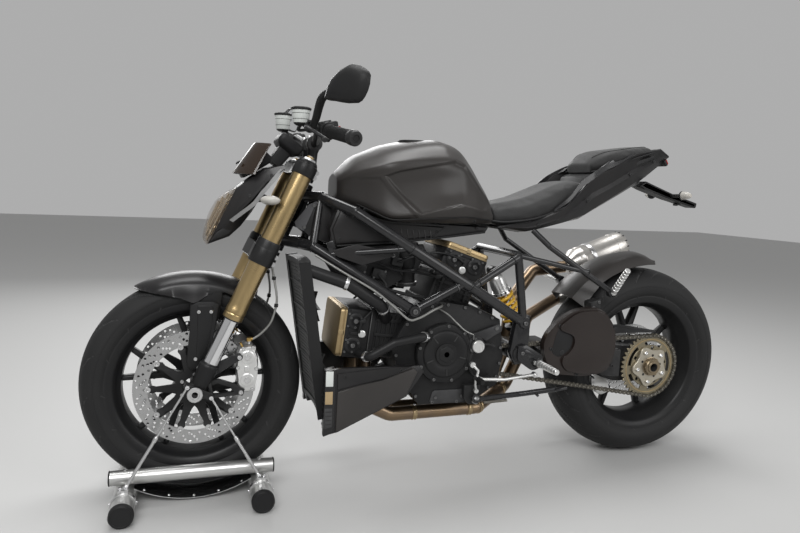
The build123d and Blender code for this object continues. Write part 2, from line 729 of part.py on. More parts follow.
# Engine: crankcase, two cylinders at a right angle and side covers
crank_x = 55.0
crank_z = 434.0
stand_pivot = Vector(-62.0, 158.0, 262.0)
stand_hinge = Vector(0.16, 0.87, 0.46).normalized()
stand_pin_r = 5.0
case_half = 118.0
front_tilt = 6.4
rear_tilt = 18.7
with BuildPart() as engine:
    side_plate([(170, 330), (205, 420), (150, 520), (60, 560), (-60, 540), (-150, 500), (-168, 380),
                (-150, 290), (-60, 236), (110, 240)], case_half, 2 * case_half, round_all=14)
    front_block = Plane(origin=(crank_x, 0, crank_z), x_dir=(0, 1, 0),
                        z_dir=(math.cos(math.radians(front_tilt)), 0,
                               math.sin(math.radians(front_tilt))))
    with BuildSketch(front_block):
        Rectangle(190, 150)
    extrude(amount=208)
    with BuildSketch(front_block.offset(208)):
        Rectangle(216, 152)
    extrude(amount=78)
    rear_block = Plane(origin=(crank_x, 0, crank_z), x_dir=(0, 1, 0),
                       z_dir=(-math.sin(math.radians(rear_tilt)), 0,
                              math.cos(math.radians(rear_tilt))))
    with BuildSketch(rear_block):
        Rectangle(190, 150)
    extrude(amount=200)
    with BuildSketch(rear_block.offset(200)):
        Rectangle(216, 152)
    extrude(amount=76)
    barrel(38, case_half - 1, 152, 402, 92.0)
    barrel(-62, case_half - 1, 160, 424, 27.0)
    barrel(-20, -150, -case_half + 1, 400, 98.0)
    side_plate([(-84, 300), (-84, 252), (-72, 240), (-48, 240), (-30, 262), (-30, 300)], 140, 40)
    rod(stand_pivot - stand_hinge * 30, stand_pivot + stand_hinge * 12, stand_pin_r)
    barrel(front_sprocket_x, case_half - 1, 144, front_sprocket_z, 58.0)
    barrel(front_sprocket_x, chain_y - 12, chain_y + 12, front_sprocket_z, 52.0,
           mode=Mode.SUBTRACT)
    side_plate([(front_sprocket_x, front_sprocket_z + 52), (front_sprocket_x - 120, 432),
                (front_sprocket_x - 120, 290), (front_sprocket_x, front_sprocket_z - 52)],
               chain_y + 12, 24, mode=Mode.SUBTRACT)
save(engine, "engine")

with BuildPart() as cam_covers:
    with BuildSketch(front_block.offset(286)) as cover:
        Rectangle(206, 144)
        fillet(cover.vertices(), radius=12)
    extrude(amount=20)
    with BuildSketch(rear_block.offset(276)) as cover:
        Rectangle(206, 144)
        fillet(cover.vertices(), radius=12)
    extrude(amount=20)
save(cam_covers, "cam_covers")

# Radiator: a shallow curved core, its sides nearer the wheel than its middle
rad_low = Vector(404.0, 0.0, 220.0)
rad_top = Vector(470.0, 0.0, 672.0)
rad_run = rad_top - rad_low
rad_half = 132.0
rad_bow = 12.0
rad_thick = 34.0
with BuildPart() as radiator:
    with BuildSketch(Plane(origin=rad_low, x_dir=(0, 1, 0), z_dir=rad_run.normalized())):
        with BuildLine():
            front = ThreePointArc((-rad_half, -rad_bow), (0, 0), (rad_half, -rad_bow))
            back = ThreePointArc((-rad_half, -rad_bow + rad_thick), (0, rad_thick),
                                 (rad_half, -rad_bow + rad_thick))
            Line(front @ 0, back @ 0)
            Line(front @ 1, back @ 1)
        make_face()
    extrude(amount=rad_run.length)
save(radiator, "radiator")

with BuildPart() as side_pods:
    for side in (-1, 1):
        low, high = sorted((side * 154.0, side * 176.0))
        side_plate([(404, 373), (366, 381), (129, 380), (112, 360), (164, 285), (365, 193), (410, 184)],
                   high, high - low, round_all=5)
        low, high = sorted((side * 120.0, side * 156.0))
        side_plate([(402, 368), (372, 374), (372, 196), (402, 192)], high, high - low)
    cut_by(radiator)
save(side_pods, "side_pods")

# Water hoses on the left: radiator to front cylinder, and generator side to front head
with BuildPart() as water_hoses:
    bent_tube([Vector(456, 110, 650), Vector(340, 136, 612), Vector(240, 136, 548), Vector(212, 84, 500)],
              18.0, 30.0)
    bent_tube([Vector(92, 138, 454), Vector(122, 167, 462), Vector(207, 166, 446), Vector(280, 156, 404),
               Vector(296, 98, 404)], 14.0, 22.0)
    cut_by(engine, radiator)
save(water_hoses, "water_hoses")

# Fuel tank: columns are X, low Z, crease Z and half width, shoulder Z and half width, top Z
tank_sections = (
    (368.0, 840.0, 862.0, 62.0, 900.0, 60.0, 918.0),
    (318.0, 822.0, 846.0, 112.0, 930.0, 110.0, 970.0),
    (226.0, 786.0, 806.0, 168.0, 950.0, 166.0, 1012.0),
    (80.0, 786.0, 832.0, 182.0, 960.0, 158.0, 1036.0),
    (0.0, 786.0, 842.0, 166.0, 948.0, 136.0, 1018.0),
    (-72.0, 786.0, 828.0, 124.0, 876.0, 100.0, 930.0),
    (-112.0, 786.0, 812.0, 104.0, 836.0, 88.0, 872.0),
)
cap_seat = Vector(120.0, 0.0, 1024.0)
cap_r = 46.0
filler_r = 22.0
with BuildPart() as fuel_tank:
    for x, low, crease_z, crease, shoulder_z, shoulder, top in tank_sections:
        with BuildSketch(Plane.YZ.offset(x)):
            with BuildLine():
                Polyline((-shoulder, shoulder_z), (-crease, crease_z), (-crease * 0.8, low),
                         (crease * 0.8, low), (crease, crease_z), (shoulder, shoulder_z))
                ThreePointArc((-shoulder, shoulder_z), (0, top), (shoulder, shoulder_z))
            make_face()
    loft()
    rod(cap_seat, cap_seat + Vector(0, 0, 40), cap_r + 3, mode=Mode.SUBTRACT)
    rod(cap_seat - Vector(0, 0, 60), cap_seat + Vector(0, 0, 10), filler_r, mode=Mode.SUBTRACT)
save(fuel_tank, "fuel_tank")

with BuildPart() as fuel_cap:
    rod(cap_seat + Vector(0, 0, 0.4), cap_seat + Vector(0, 0, 6.4), cap_r)
    rod(cap_seat - Vector(0, 0, 6), cap_seat + Vector(0, 0, 1), filler_r - 6)
save(fuel_cap, "fuel_cap")

# Airbox and intake panels between the tank and the frame
with BuildPart() as airbox:
    side_plate([(366, 832), (392, 762), (380, 712), (200, 726), (60, 742), (-90, 762), (-104, 784),
                (226, 784), (318, 818)], 104.0, 208.0)
    cut_by(fuel_tank, trellis_frame)
save(airbox, "airbox")

# Seats
with BuildPart() as seats:
    for x, low, high, half in ((-118.0, 786.0, 846.0, 96.0), (-230.0, 800.0, 872.0, 134.0),
                               (-352.0, 846.0, 922.0, 128.0), (-452.0, 908.0, 936.0, 92.0)):
        with BuildSketch(Plane.YZ.offset(x)) as section:
            with Locations((0, (low + high) / 2)):
                Rectangle(2 * half, high - low)
            chamfer(section.vertices(), length=(high - low) * 0.3)
    loft(ruled=True)
    for x, low, high, half in ((-458.0, 958.0, 998.0, 78.0), (-520.0, 972.0, 1040.0, 104.0),
                               (-620.0, 1004.0, 1056.0, 94.0), (-716.0, 1034.0, 1062.0, 58.0)):
        with BuildSketch(Plane.YZ.offset(x)) as section:
            with Locations((0, (low + high) / 2)):
                Rectangle(2 * half, high - low)
            chamfer(section.vertices(), length=(high - low) * 0.3)
    loft(ruled=True)
save(seats, "seats")

# Tail cowl: a side profile cut by a plan outline, hollowed for the seats
with BuildPart() as tail_cowl:
    side_plate([(-126, 782), (-214, 766), (-419, 812), (-676, 944), (-806, 1030), (-804, 1042),
                (-752, 1058), (-620, 1034), (-520, 984), (-440, 954), (-342, 850), (-240, 806)],
               140, 280)
    with BuildSketch(Plane.XY.offset(700), mode=Mode.PRIVATE) as plan:
        with BuildLine():
            Polyline((-120, 108), (-260, 138), (-420, 132), (-600, 94), (-810, 24), (-810, -24),
                     (-600, -94), (-420, -132), (-260, -138), (-120, -108), close=True)
        make_face()
    extrude(plan.sketch, amount=400, mode=Mode.INTERSECT)
    cut_by(seats)
save(tail_cowl, "tail_cowl")

with BuildPart() as tail_lamp:
    with Locations(Location((-792, 0, 1014), (0, 30, 0))):
        Box(16, 56, 22)
    cut_by(tail_cowl)
save(tail_lamp, "tail_lamp")

with BuildPart() as plate_hanger:
    side_plate([(-690, 928), (-716, 948), (-940, 880), (-936, 862), (-720, 918)], 26, 52)
    for side in (-1, 1):
        rod(Vector(-826, side * 20, 902), Vector(-826, side * 74, 904), 6.0)
        cone(Vector(-826, side * 74, 904), Vector(-832, side * 112, 905), 15.0, 8.0)
save(plate_hanger, "plate_hanger")

# Single-sided swingarm on the left
with BuildPart() as swingarm:
    barrel(pivot_x, -94.0, 94.0, pivot_z, 27.0)
    barrel(pivot_x, -95.0, 95.0, pivot_z, pivot_pin_r + bearing_gap, mode=Mode.SUBTRACT)
    side_plate([(pivot_x - 16, 402), (-386, 400), (-386, 322), (pivot_x - 16, 366)], 70, 140)
    side_plate([(-300, 396), (-386, 396), (-386, 324), (-300, 340)], 122, 60)
    side_plate([(-288, 430), (-330, 488), (-400, 530), (-500, 536), (-556, 470), (-566, 392),
                (-540, 318), (-450, 307), (-330, 322), (-300, 372)], 148, 28, round_all=14)
    side_plate([(-556, 392), (-556, 284), (-612, 268), (rear_x, rear_z - 60), (rear_x, rear_z + 60),
                (-612, 392)], 84, 58)
    side_plate([(-524, 394), (-524, 304), (-600, 294), (-600, 388)], 122, 40)
    side_plate([(-546, 474), (-580, 474), (-728, 450), (-729, 443), (-580, 446), (-546, 440)], 126, 5)
    barrel(rear_x, hub_low, hub_high, rear_z, 64.0)
    barrel(rear_x, hub_low - 1, hub_high + 1, rear_z, spindle_r + bearing_gap, mode=Mode.SUBTRACT)
save(swingarm, "swingarm")

shock_top = Vector(-150.0, 40.0, 640.0)
shock_low = Vector(-262.0, 40.0, 428.0)
shock_run = shock_low - shock_top
with BuildPart() as shock_body:
    rod(shock_top, shock_low, 14.0)
    rod(shock_top + shock_run * 0.06, shock_top + shock_run * 0.34, 27.0)
    rod(shock_top + shock_run * 0.8, shock_top + shock_run * 0.86, 34.0)
save(shock_body, "shock_body")

spring_turns = 5
with BuildPart() as shock_spring:
    spring_start = shock_top + shock_run * 0.345
    along = shock_run.normalized()
    spring_length = shock_run.length * 0.45
    ring_step = spring_length / spring_turns
    for i in range(spring_turns):
        centre = spring_start + along * (ring_step * (i + 0.5))
        with BuildSketch(Plane(origin=centre - along * 5, z_dir=along)):
            Circle(35)
            Circle(23, mode=Mode.SUBTRACT)
        extrude(amount=10)
save(shock_spring, "shock_spring")

# Exhaust: two headers under the engine that climb on the right to stacked silencers
can_upper_front = Vector(-560.0, -186.0, 628.0)
can_upper_rear = Vector(-790.0, -196.0, 708.0)
can_lower_front = Vector(-536.0, -190.0, 506.0)
can_lower_rear = Vector(-778.0, -200.0, 588.0)
can_r = 52.0
with BuildPart() as silencers:
    for start, end in ((can_upper_front, can_upper_rear), (can_lower_front, can_lower_rear)):
        along = (end - start).normalized()
        cone(start, start + along * 40, 26.0, can_r)
        rod(start + along * 40, end, can_r)
        cone(end, end + along * 22, can_r, can_r - 16)
save(silencers, "silencers")

with BuildPart() as exhaust_headers:
    bent_tube([Vector(300, 30, 392), Vector(300, 30, 250), Vector(170, 30, 186),
               Vector(-130, 20, 186), Vector(-290, -96, 216), Vector(-350, -108, 330),
               Vector(-374, -128, 450), can_lower_front + Vector(8, 0, -2)], 22.0, 30.0)
    bent_tube([Vector(236, -50, 392), Vector(236, -50, 260), Vector(150, -30, 186),
               Vector(-120, -30, 186), Vector(-236, -100, 226), Vector(-286, -106, 350),
               Vector(-312, -124, 516), Vector(-424, -186, 612),
               can_upper_front + Vector(8, 0, -2)], 22.0, 30.0)
    cut_by(engine, silencers)
save(exhaust_headers, "exhaust_headers")

# Drive chain: a fixed loop of scalloped side plates, with rollers where it runs free
front_pitch_r = chain_pitch / (2 * math.sin(math.pi / front_teeth))


def chain_path():
    # the loop as links' pin centres, anticlockwise in side view from the rear sprocket's foot
    gap = math.hypot(rear_x - front_sprocket_x, rear_z - front_sprocket_z)
    tilt = math.atan2(front_sprocket_z - rear_z, front_sprocket_x - rear_x)
    lean = math.asin((sprocket_pitch_r - front_pitch_r) / gap)
    up = tilt + math.pi / 2 + lean
    down = tilt - math.pi / 2 - lean
    run = math.sqrt(gap ** 2 - (sprocket_pitch_r - front_pitch_r) ** 2)
    rear_sweep = (2 * math.pi - (up - down)) * sprocket_pitch_r
    front_sweep = (up - down) * front_pitch_r
    total = 2 * run + rear_sweep + front_sweep
    count = 2 * round(total / chain_pitch / 2)
    step = total / count
    pins = []
    for i in range(count):
        s = i * step
        if s < run:
            start = Vector(rear_x, rear_z) + Vector(math.cos(down), math.sin(down)) * sprocket_pitch_r
            end = Vector(front_sprocket_x, front_sprocket_z) + Vector(
                math.cos(down), math.sin(down)) * front_pitch_r
            pins.append((start + (end - start) * (s / run), "free"))
        elif s < run + front_sweep:
            a = down + (s - run) / front_pitch_r
            pins.append((Vector(front_sprocket_x, front_sprocket_z)
                         + Vector(math.cos(a), math.sin(a)) * front_pitch_r, "front"))
        elif s < 2 * run + front_sweep:
            start = Vector(front_sprocket_x, front_sprocket_z) + Vector(
                math.cos(up), math.sin(up)) * front_pitch_r
            end = Vector(rear_x, rear_z) + Vector(math.cos(up), math.sin(up)) * sprocket_pitch_r
            pins.append((start + (end - start) * ((s - run - front_sweep) / run), "free"))
        else:
            a = up + (s - 2 * run - front_sweep) / sprocket_pitch_r
            pins.append((Vector(rear_x, rear_z)
                         + Vector(math.cos(a), math.sin(a)) * sprocket_pitch_r, "rear"))
    return pins


pins = chain_path()
plate_half = 7.0
waist_half = 5.0
plate_gap = 4.2
plate_thick = 4.0
with BuildPart() as drive_chain:
    outer_pts = []
    inner_pts = []
    for i, (pin, where) in enumerate(pins):
        nxt = pins[(i + 1) % len(pins)][0]
        prev = pins[i - 1][0]
        tangent = (nxt - prev).normalized()
        normal = Vector(tangent.Y, -tangent.X)
        outer_pts.append(flat(pin + normal * plate_half))
        inner_pts.append(flat(pin - normal * plate_half))
        middle = (pin + nxt) * 0.5
        along = (nxt - pin).normalized()
        across = Vector(along.Y, -along.X)
        outer_pts.append(flat(middle + across * waist_half))
        inner_pts.append(flat(middle - across * waist_half))
    for high in (chain_y + plate_gap + plate_thick, chain_y - plate_gap):
        with BuildSketch(side_plane(high)):
            with BuildLine():
                Polyline(*outer_pts, close=True)
            make_face()
            with BuildLine():
                Polyline(*inner_pts, close=True)
            make_face(mode=Mode.SUBTRACT)
        extrude(amount=plate_thick)
    with BuildSketch(side_plane(chain_y + plate_gap)):
        for pin, where in pins:
            if where != "rear" and abs(pin.X - rear_x) > sprocket_pitch_r + 14:
                with Locations((pin.X, pin.Y)):
                    RegularPolygon(4.6, 6)
    extrude(amount=2 * plate_gap)
save(drive_chain, "drive_chain")

# Footrests and their hangers
# Passenger hangers: tube start, end and radius on the left; pegs: root, tip and the radii there
hanger_tubes = (
    (Vector(-240, 118, 776), Vector(-286, 148, 728), 9.0),
    (Vector(-286, 148, 728), Vector(-516, 150, 588), 9.0),
    (Vector(-190, 143, 698), Vector(-428, 150, 650), 8.0),
)
rider_peg = (Vector(-262, 157, 368), Vector(-272, 262, 364), 12.0, 9.0)
passenger_pegs = (
    (Vector(-522, 156, 584), Vector(-507, 240, 668), 11.0, 9.0),
    (Vector(-522, -156, 578), Vector(-514, -250, 588), 11.0, 9.0),
)
with BuildPart() as foot_hangers:
    for side in (-1, 1):
        low, high = sorted((side * 143.0, side * 157.0))
        side_plate([(-196, 420), (-226, 424), (-286, 386), (-282, 352), (-250, 340), (-196, 376)],
                   high, high - low, round_all=6)
        for start, end, radius in hanger_tubes:
            rod(Vector(start.X, side * start.Y, start.Z), Vector(end.X, side * end.Y, end.Z), radius)
        peg_low, peg_high = sorted((side * 138.0, side * 162.0))
        barrel(-520, peg_low, peg_high, 584, 14.0)
    cut_by(trellis_frame, tail_cowl)
save(foot_hangers, "foot_hangers")

with BuildPart() as footrests:
    for side in (-1, 1):
        root, tip, root_r, tip_r = rider_peg
        cone(Vector(root.X, side * root.Y, root.Z), Vector(tip.X, side * tip.Y, tip.Z), root_r, tip_r)
    for root, tip, root_r, tip_r in passenger_pegs:
        cone(root, tip, root_r, tip_r)
    bent_tube([Vector(-256, 160, 330), Vector(-150, 168, 322), Vector(-56, 176, 330)], 6.0, 30.0)
    rod(Vector(-56, 160, 330), Vector(-56, 214, 330), 8.0)
    bent_tube([Vector(-256, -160, 330), Vector(-150, -168, 300), Vector(-70, -172, 300)], 6.0, 30.0)
    rod(Vector(-70, -160, 300), Vector(-70, -220, 300), 8.0)
    cut_by(foot_hangers)
save(footrests, "footrests")

# Rear hugger: an arched blade over the tyre, bracketed to the swingarm's housing
hug_start = 38.0
hug_sweep = 56.0
hug_outside = ((-88, 344), (-64, 371), (0, 384), (64, 371), (88, 344))
hug_inside = ((84, 341), (61, 366), (0, 379), (-61, 366), (-84, 341))
with BuildPart() as rear_hugger:
    tilt = Plane(origin=(rear_x, 0, rear_z), x_dir=(0, 1, 0),
                 z_dir=(math.sin(math.radians(hug_start)), 0, -math.cos(math.radians(hug_start))))
    with BuildSketch(tilt):
        with BuildLine():
            Polyline(*hug_outside, *hug_inside, close=True)
        make_face()
    revolve(axis=Axis((rear_x, 0, rear_z), (0, -1, 0)), revolution_arc=hug_sweep)
    side_plate([(-468, 548), (-506, 560), (-506, 524), (-468, 520)], 122, 40)
    cut_by(swingarm)
save(rear_hugger, "rear_hugger")

with BuildPart() as rear_caliper:
    side_plate([(-640, 214), (-600, 200), (-566, 236), (-560, 270), (-596, 282), (-628, 250)], 25, 41,
               round_all=6)
    barrel(rear_x, -1.0, 14.0, rear_z, 130.0, mode=Mode.SUBTRACT)
save(rear_caliper, "rear_caliper")

# Side stand, folded up along the left side
with BuildPart() as side_stand:
    rod(stand_pivot - stand_hinge * 8, stand_pivot + stand_hinge * 8, 14.0)
    rod(stand_pivot - stand_hinge * 9, stand_pivot + stand_hinge * 9, stand_pin_r + bearing_gap,
        mode=Mode.SUBTRACT)
    bent_tube([stand_pivot + Vector(-13, 1, 1), Vector(-200, 166, 272), Vector(-318, 196, 292)], 8.5,
              60.0)
    with Locations(Location((-326, 198, 294), (0, 8, 0))):
        Box(40, 24, 9)
save(side_stand, "side_stand")
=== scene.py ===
import math
import bmesh
import numpy as np
import bpy
from mathutils import Matrix, Vector


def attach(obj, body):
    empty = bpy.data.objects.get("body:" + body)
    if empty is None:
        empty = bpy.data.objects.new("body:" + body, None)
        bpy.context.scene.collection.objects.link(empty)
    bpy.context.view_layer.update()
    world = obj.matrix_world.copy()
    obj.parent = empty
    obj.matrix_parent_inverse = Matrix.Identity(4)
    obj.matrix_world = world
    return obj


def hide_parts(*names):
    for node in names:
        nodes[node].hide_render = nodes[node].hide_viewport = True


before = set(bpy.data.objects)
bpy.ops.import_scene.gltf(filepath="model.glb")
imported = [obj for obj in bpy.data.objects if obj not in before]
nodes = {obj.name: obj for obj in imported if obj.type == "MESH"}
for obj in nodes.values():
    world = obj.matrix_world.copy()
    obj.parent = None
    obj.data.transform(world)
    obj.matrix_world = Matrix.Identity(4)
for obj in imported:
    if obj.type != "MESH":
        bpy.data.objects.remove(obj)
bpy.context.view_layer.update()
scene = bpy.context.scene
print("frame loaded,", len(nodes), "nodes")

# The camera as fitted to the photograph: metres, degrees and focal length in pixels of an 800 wide picture
shot = {"place": (0.7663, 1.8777, 0.8806), "yaw": -18.2684, "pitch": -6.7642, "roll": 2.5586,
        "focal": 644.2421, "width": 800, "height": 533, "sensor": 36.0}


def makeCamera():
    yaw, pitch, roll = (math.radians(shot[k]) for k in ("yaw", "pitch", "roll"))
    ahead = Vector((math.sin(yaw) * math.cos(pitch), -math.cos(yaw) * math.cos(pitch), math.sin(pitch)))
    right = ahead.cross(Vector((0, 0, 1))).normalized()
    up = right.cross(ahead)
    rightRolled = right * math.cos(roll) + up * math.sin(roll)
    upRolled = up * math.cos(roll) - right * math.sin(roll)
    data = bpy.data.cameras.new("photoCamera")
    data.sensor_width = shot["sensor"]
    data.lens = shot["focal"] * shot["sensor"] / shot["width"]
    data.clip_end = 100
    camera = bpy.data.objects.new("photoCamera", data)
    turn = Matrix((rightRolled, upRolled, -ahead)).transposed().to_4x4()
    camera.matrix_world = Matrix.Translation(shot["place"]) @ turn
    scene.collection.objects.link(camera)
    scene.camera = camera


# Soft boxes: place, aim, size and watts
softBoxes = {
    "key": {"place": (1.6, 3.6, 3.4), "aim": (0, 0, 0.6), "size": (3.2, 1.6), "watts": 150},
    "fill": {"place": (-2.6, 3.0, 1.9), "aim": (-0.3, 0, 0.5), "size": (2.2, 2.2), "watts": 45},
    "overhead": {"place": (0.1, -0.5, 3.6), "aim": (0, 0, 0.5), "size": (3.6, 0.9), "watts": 85},
    "back": {"place": (0.2, -3.4, 2.2), "aim": (0, 0, 0.7), "size": (3.0, 1.2), "watts": 60},
}


def makeLights():
    for name, box in softBoxes.items():
        data = bpy.data.lights.new(name, "AREA")
        data.shape = "RECTANGLE"
        data.size, data.size_y = box["size"]
        data.energy = box["watts"]
        lamp = bpy.data.objects.new(name, data)
        lamp.location = box["place"]
        aim = Vector(box["aim"]) - Vector(box["place"])
        lamp.rotation_euler = aim.to_track_quat("-Z", "Y").to_euler()
        scene.collection.objects.link(lamp)


# Floor colour, its roughness and speckle, the world's light, and half the floor's width in metres
studio = {"floor": (0.44, 0.44, 0.435), "rough": 0.55, "speckle": 3.0, "shade": 0.97, "light": 0.42,
          "half": 14.0}


def makeStudio():
    mesh = bpy.data.meshes.new("floor")
    h = studio["half"]
    mesh.from_pydata([(-h, -h, 0), (h, -h, 0), (h, h, 0), (-h, h, 0)], [], [(0, 1, 2, 3)])
    floor = bpy.data.objects.new("floor", mesh)
    scene.collection.objects.link(floor)
    mat = bpy.data.materials.new("paleFloor")
    mat.use_nodes = True
    shader = mat.node_tree.nodes["Principled BSDF"]
    shader.inputs["Roughness"].default_value = studio["rough"]
    speckle = mat.node_tree.nodes.new("ShaderNodeTexNoise")
    speckle.inputs["Scale"].default_value = studio["speckle"]
    tint = mat.node_tree.nodes.new("ShaderNodeMix")
    tint.data_type = "RGBA"
    tint.inputs[6].default_value = (*studio["floor"], 1)
    tint.inputs[7].default_value = (*[c * studio["shade"] for c in studio["floor"]], 1)
    mat.node_tree.links.new(speckle.outputs["Fac"], tint.inputs[0])
    mat.node_tree.links.new(tint.outputs[2], shader.inputs["Base Color"])
    mesh.materials.append(mat)
    world = bpy.data.worlds.new("studioWorld")
    scene.world = world
    world.use_nodes = True
    tree = world.node_tree
    tree.nodes.clear()
    out = tree.nodes.new("ShaderNodeOutputWorld")
    ambient = tree.nodes.new("ShaderNodeBackground")
    ambient.inputs["Color"].default_value = (1, 1, 1, 1)
    ambient.inputs["Strength"].default_value = studio["light"]
    tree.links.new(ambient.outputs[0], out.inputs["Surface"])
    scene.view_settings.view_transform = "Standard"


makeCamera()
makeLights()
makeStudio()
print("camera, lights and floor made")


# Shader node groups shared by the finishes
def newGroup(name, inputs, outputs):
    group = bpy.data.node_groups.new(name, "ShaderNodeTree")
    for label, kind, value in inputs:
        socket = group.interface.new_socket(label, in_out="INPUT", socket_type=kind)
        socket.default_value = value
    for label, kind in outputs:
        group.interface.new_socket(label, in_out="OUTPUT", socket_type=kind)
    return group, group.nodes.new("NodeGroupInput"), group.nodes.new("NodeGroupOutput")


def addMath(group, operation, a, b, clamp=False):
    node = group.nodes.new("ShaderNodeMath")
    node.operation = operation
    node.use_clamp = clamp
    for k, value in enumerate((a, b)):
        if isinstance(value, (int, float)):
            node.inputs[k].default_value = value
        else:
            group.links.new(value, node.inputs[k])
    return node.outputs[0]


def addMix(group, factor, a, b):
    node = group.nodes.new("ShaderNodeMix")
    node.data_type = "RGBA"
    group.links.new(factor, node.inputs[0])
    for k, value in ((6, a), (7, b)):
        if isinstance(value, tuple):
            node.inputs[k].default_value = value
        else:
            group.links.new(value, node.inputs[k])
    return node.outputs[2]


def addNoise(group, vector, scale, detail=4.0):
    node = group.nodes.new("ShaderNodeTexNoise")
    node.inputs["Detail"].default_value = detail
    if isinstance(scale, (int, float)):
        node.inputs["Scale"].default_value = scale
    else:
        group.links.new(scale, node.inputs["Scale"])
    if vector is not None:
        group.links.new(vector, node.inputs["Vector"])
    return node.outputs["Fac"]


valueKind, colorKind, vectorKind = "NodeSocketFloat", "NodeSocketColor", "NodeSocketVector"


def makeGrainGroup():
    # fine and broad mottling: colour, roughness and height that change over the surface
    inputs = [("Color", colorKind, (0.5, 0.5, 0.5, 1)), ("Second Color", colorKind, (0.4, 0.4, 0.4, 1)),
              ("Scale", valueKind, 300.0), ("Roughness", valueKind, 0.4), ("Spread", valueKind, 0.1)]
    group, start, end = newGroup("surfaceGrain", inputs,
                                 [("Color", colorKind), ("Roughness", valueKind), ("Height", valueKind)])
    coords = group.nodes.new("ShaderNodeTexCoord").outputs["Object"]
    fine = addNoise(group, coords, start.outputs["Scale"])
    broad = addNoise(group, coords, 9.0, 2.0)
    both = addMath(group, "MULTIPLY", fine, broad)
    shade = addMath(group, "MULTIPLY", both, 2.6, True)
    group.links.new(addMix(group, shade, start.outputs["Color"], start.outputs["Second Color"]),
                    end.inputs["Color"])
    swing = addMath(group, "SUBTRACT", broad, 0.5)
    rough = addMath(group, "ADD", start.outputs["Roughness"], addMath(group, "MULTIPLY", swing, addMath(
            group, "MULTIPLY", start.outputs["Spread"], 2.0)), True)
    group.links.new(rough, end.inputs["Roughness"])
    group.links.new(fine, end.inputs["Height"])
    return group


def makeBrushGroup():
    # grinding lines: noise stretched by a vector, such as long in Z for a tube that stands up
    inputs = [("Color", colorKind, (0.6, 0.6, 0.6, 1)), ("Second Color", colorKind, (0.5, 0.5, 0.5, 1)),
              ("Stretch", vectorKind, (600.0, 600.0, 20.0)), ("Roughness", valueKind, 0.3),
              ("Spread", valueKind, 0.12)]
    group, start, end = newGroup("brushLines", inputs,
                                 [("Color", colorKind), ("Roughness", valueKind), ("Height", valueKind)])
    coords = group.nodes.new("ShaderNodeTexCoord").outputs["Object"]
    scaled = group.nodes.new("ShaderNodeVectorMath")
    scaled.operation = "MULTIPLY"
    group.links.new(coords, scaled.inputs[0])
    group.links.new(start.outputs["Stretch"], scaled.inputs[1])
    lines = addNoise(group, scaled.outputs[0], 1.0, 2.0)
    smudge = addNoise(group, coords, 14.0, 2.0)
    group.links.new(addMix(group, addMath(group, "MULTIPLY", lines, smudge), start.outputs["Color"],
                           start.outputs["Second Color"]), end.inputs["Color"])
    swing = addMath(group, "MULTIPLY", addMath(group, "SUBTRACT", smudge, 0.5),
                    addMath(group, "MULTIPLY", start.outputs["Spread"], 2.0))
    group.links.new(addMath(group, "ADD", start.outputs["Roughness"], swing, True), end.inputs["Roughness"])
    group.links.new(lines, end.inputs["Height"])
    return group


def makeEdgeGroup():
    # wear where the surface turns sharply: a mask and the colour mixed with it
    inputs = [("Color", colorKind, (0.1, 0.1, 0.1, 1)), ("Worn Color", colorKind, (0.3, 0.3, 0.3, 1)),
              ("Amount", valueKind, 0.5)]
    group, start, end = newGroup("edgeWear", inputs, [("Color", colorKind), ("Mask", valueKind)])
    sharp = group.nodes.new("ShaderNodeNewGeometry").outputs["Pointiness"]
    edge = group.nodes.new("ShaderNodeMapRange")
    edge.inputs["From Min"].default_value = 0.53
    edge.inputs["From Max"].default_value = 0.62
    group.links.new(sharp, edge.inputs["Value"])
    coords = group.nodes.new("ShaderNodeTexCoord").outputs["Object"]
    patchy = addNoise(group, coords, 60.0)
    mask = addMath(group, "MULTIPLY", addMath(group, "MULTIPLY", edge.outputs["Result"], patchy),
                   start.outputs["Amount"], True)
    group.links.new(mask, end.inputs["Mask"])
    group.links.new(addMix(group, mask, start.outputs["Color"], start.outputs["Worn Color"]),
                    end.inputs["Color"])
    return group


def makeHideGroup():
    # leather-like grain: cells with creases between them
    inputs = [("Color", colorKind, (0.03, 0.03, 0.03, 1)), ("Crease Color", colorKind, (0.01, 0.01, 0.01, 1)),
              ("Scale", valueKind, 380.0)]
    group, start, end = newGroup("hideGrain", inputs, [("Color", colorKind), ("Height", valueKind)])
    coords = group.nodes.new("ShaderNodeTexCoord").outputs["Object"]
    cells = group.nodes.new("ShaderNodeTexVoronoi")
    cells.feature = "DISTANCE_TO_EDGE"
    group.links.new(coords, cells.inputs["Vector"])
    group.links.new(start.outputs["Scale"], cells.inputs["Scale"])
    height = addMath(group, "MULTIPLY", cells.outputs["Distance"], 3.0, True)
    group.links.new(height, end.inputs["Height"])
    group.links.new(addMix(group, height, start.outputs["Crease Color"], start.outputs["Color"]),
                    end.inputs["Color"])
    return group


def makeMeshGroup():
    # a woven or expanded mesh: two crossed waves
    inputs = [("Color", colorKind, (0.08, 0.08, 0.08, 1)), ("Gap Color", colorKind, (0.004, 0.004, 0.004, 1)),
              ("Scale", valueKind, 110.0)]
    group, start, end = newGroup("meshWeave", inputs, [("Color", colorKind), ("Height", valueKind)])
    coords = group.nodes.new("ShaderNodeTexCoord").outputs["Object"]
    waves = []
    for axis in ("Y", "Z"):
        wave = group.nodes.new("ShaderNodeTexWave")
        wave.bands_direction = axis
        group.links.new(coords, wave.inputs["Vector"])
        group.links.new(start.outputs["Scale"], wave.inputs["Scale"])
        waves.append(wave.outputs["Fac"])
    height = addMath(group, "MAXIMUM", *waves)
    sharpened = addMath(group, "POWER", height, 3.0, True)
    group.links.new(sharpened, end.inputs["Height"])
    group.links.new(addMix(group, sharpened, start.outputs["Gap Color"], start.outputs["Color"]),
                    end.inputs["Color"])
    return group


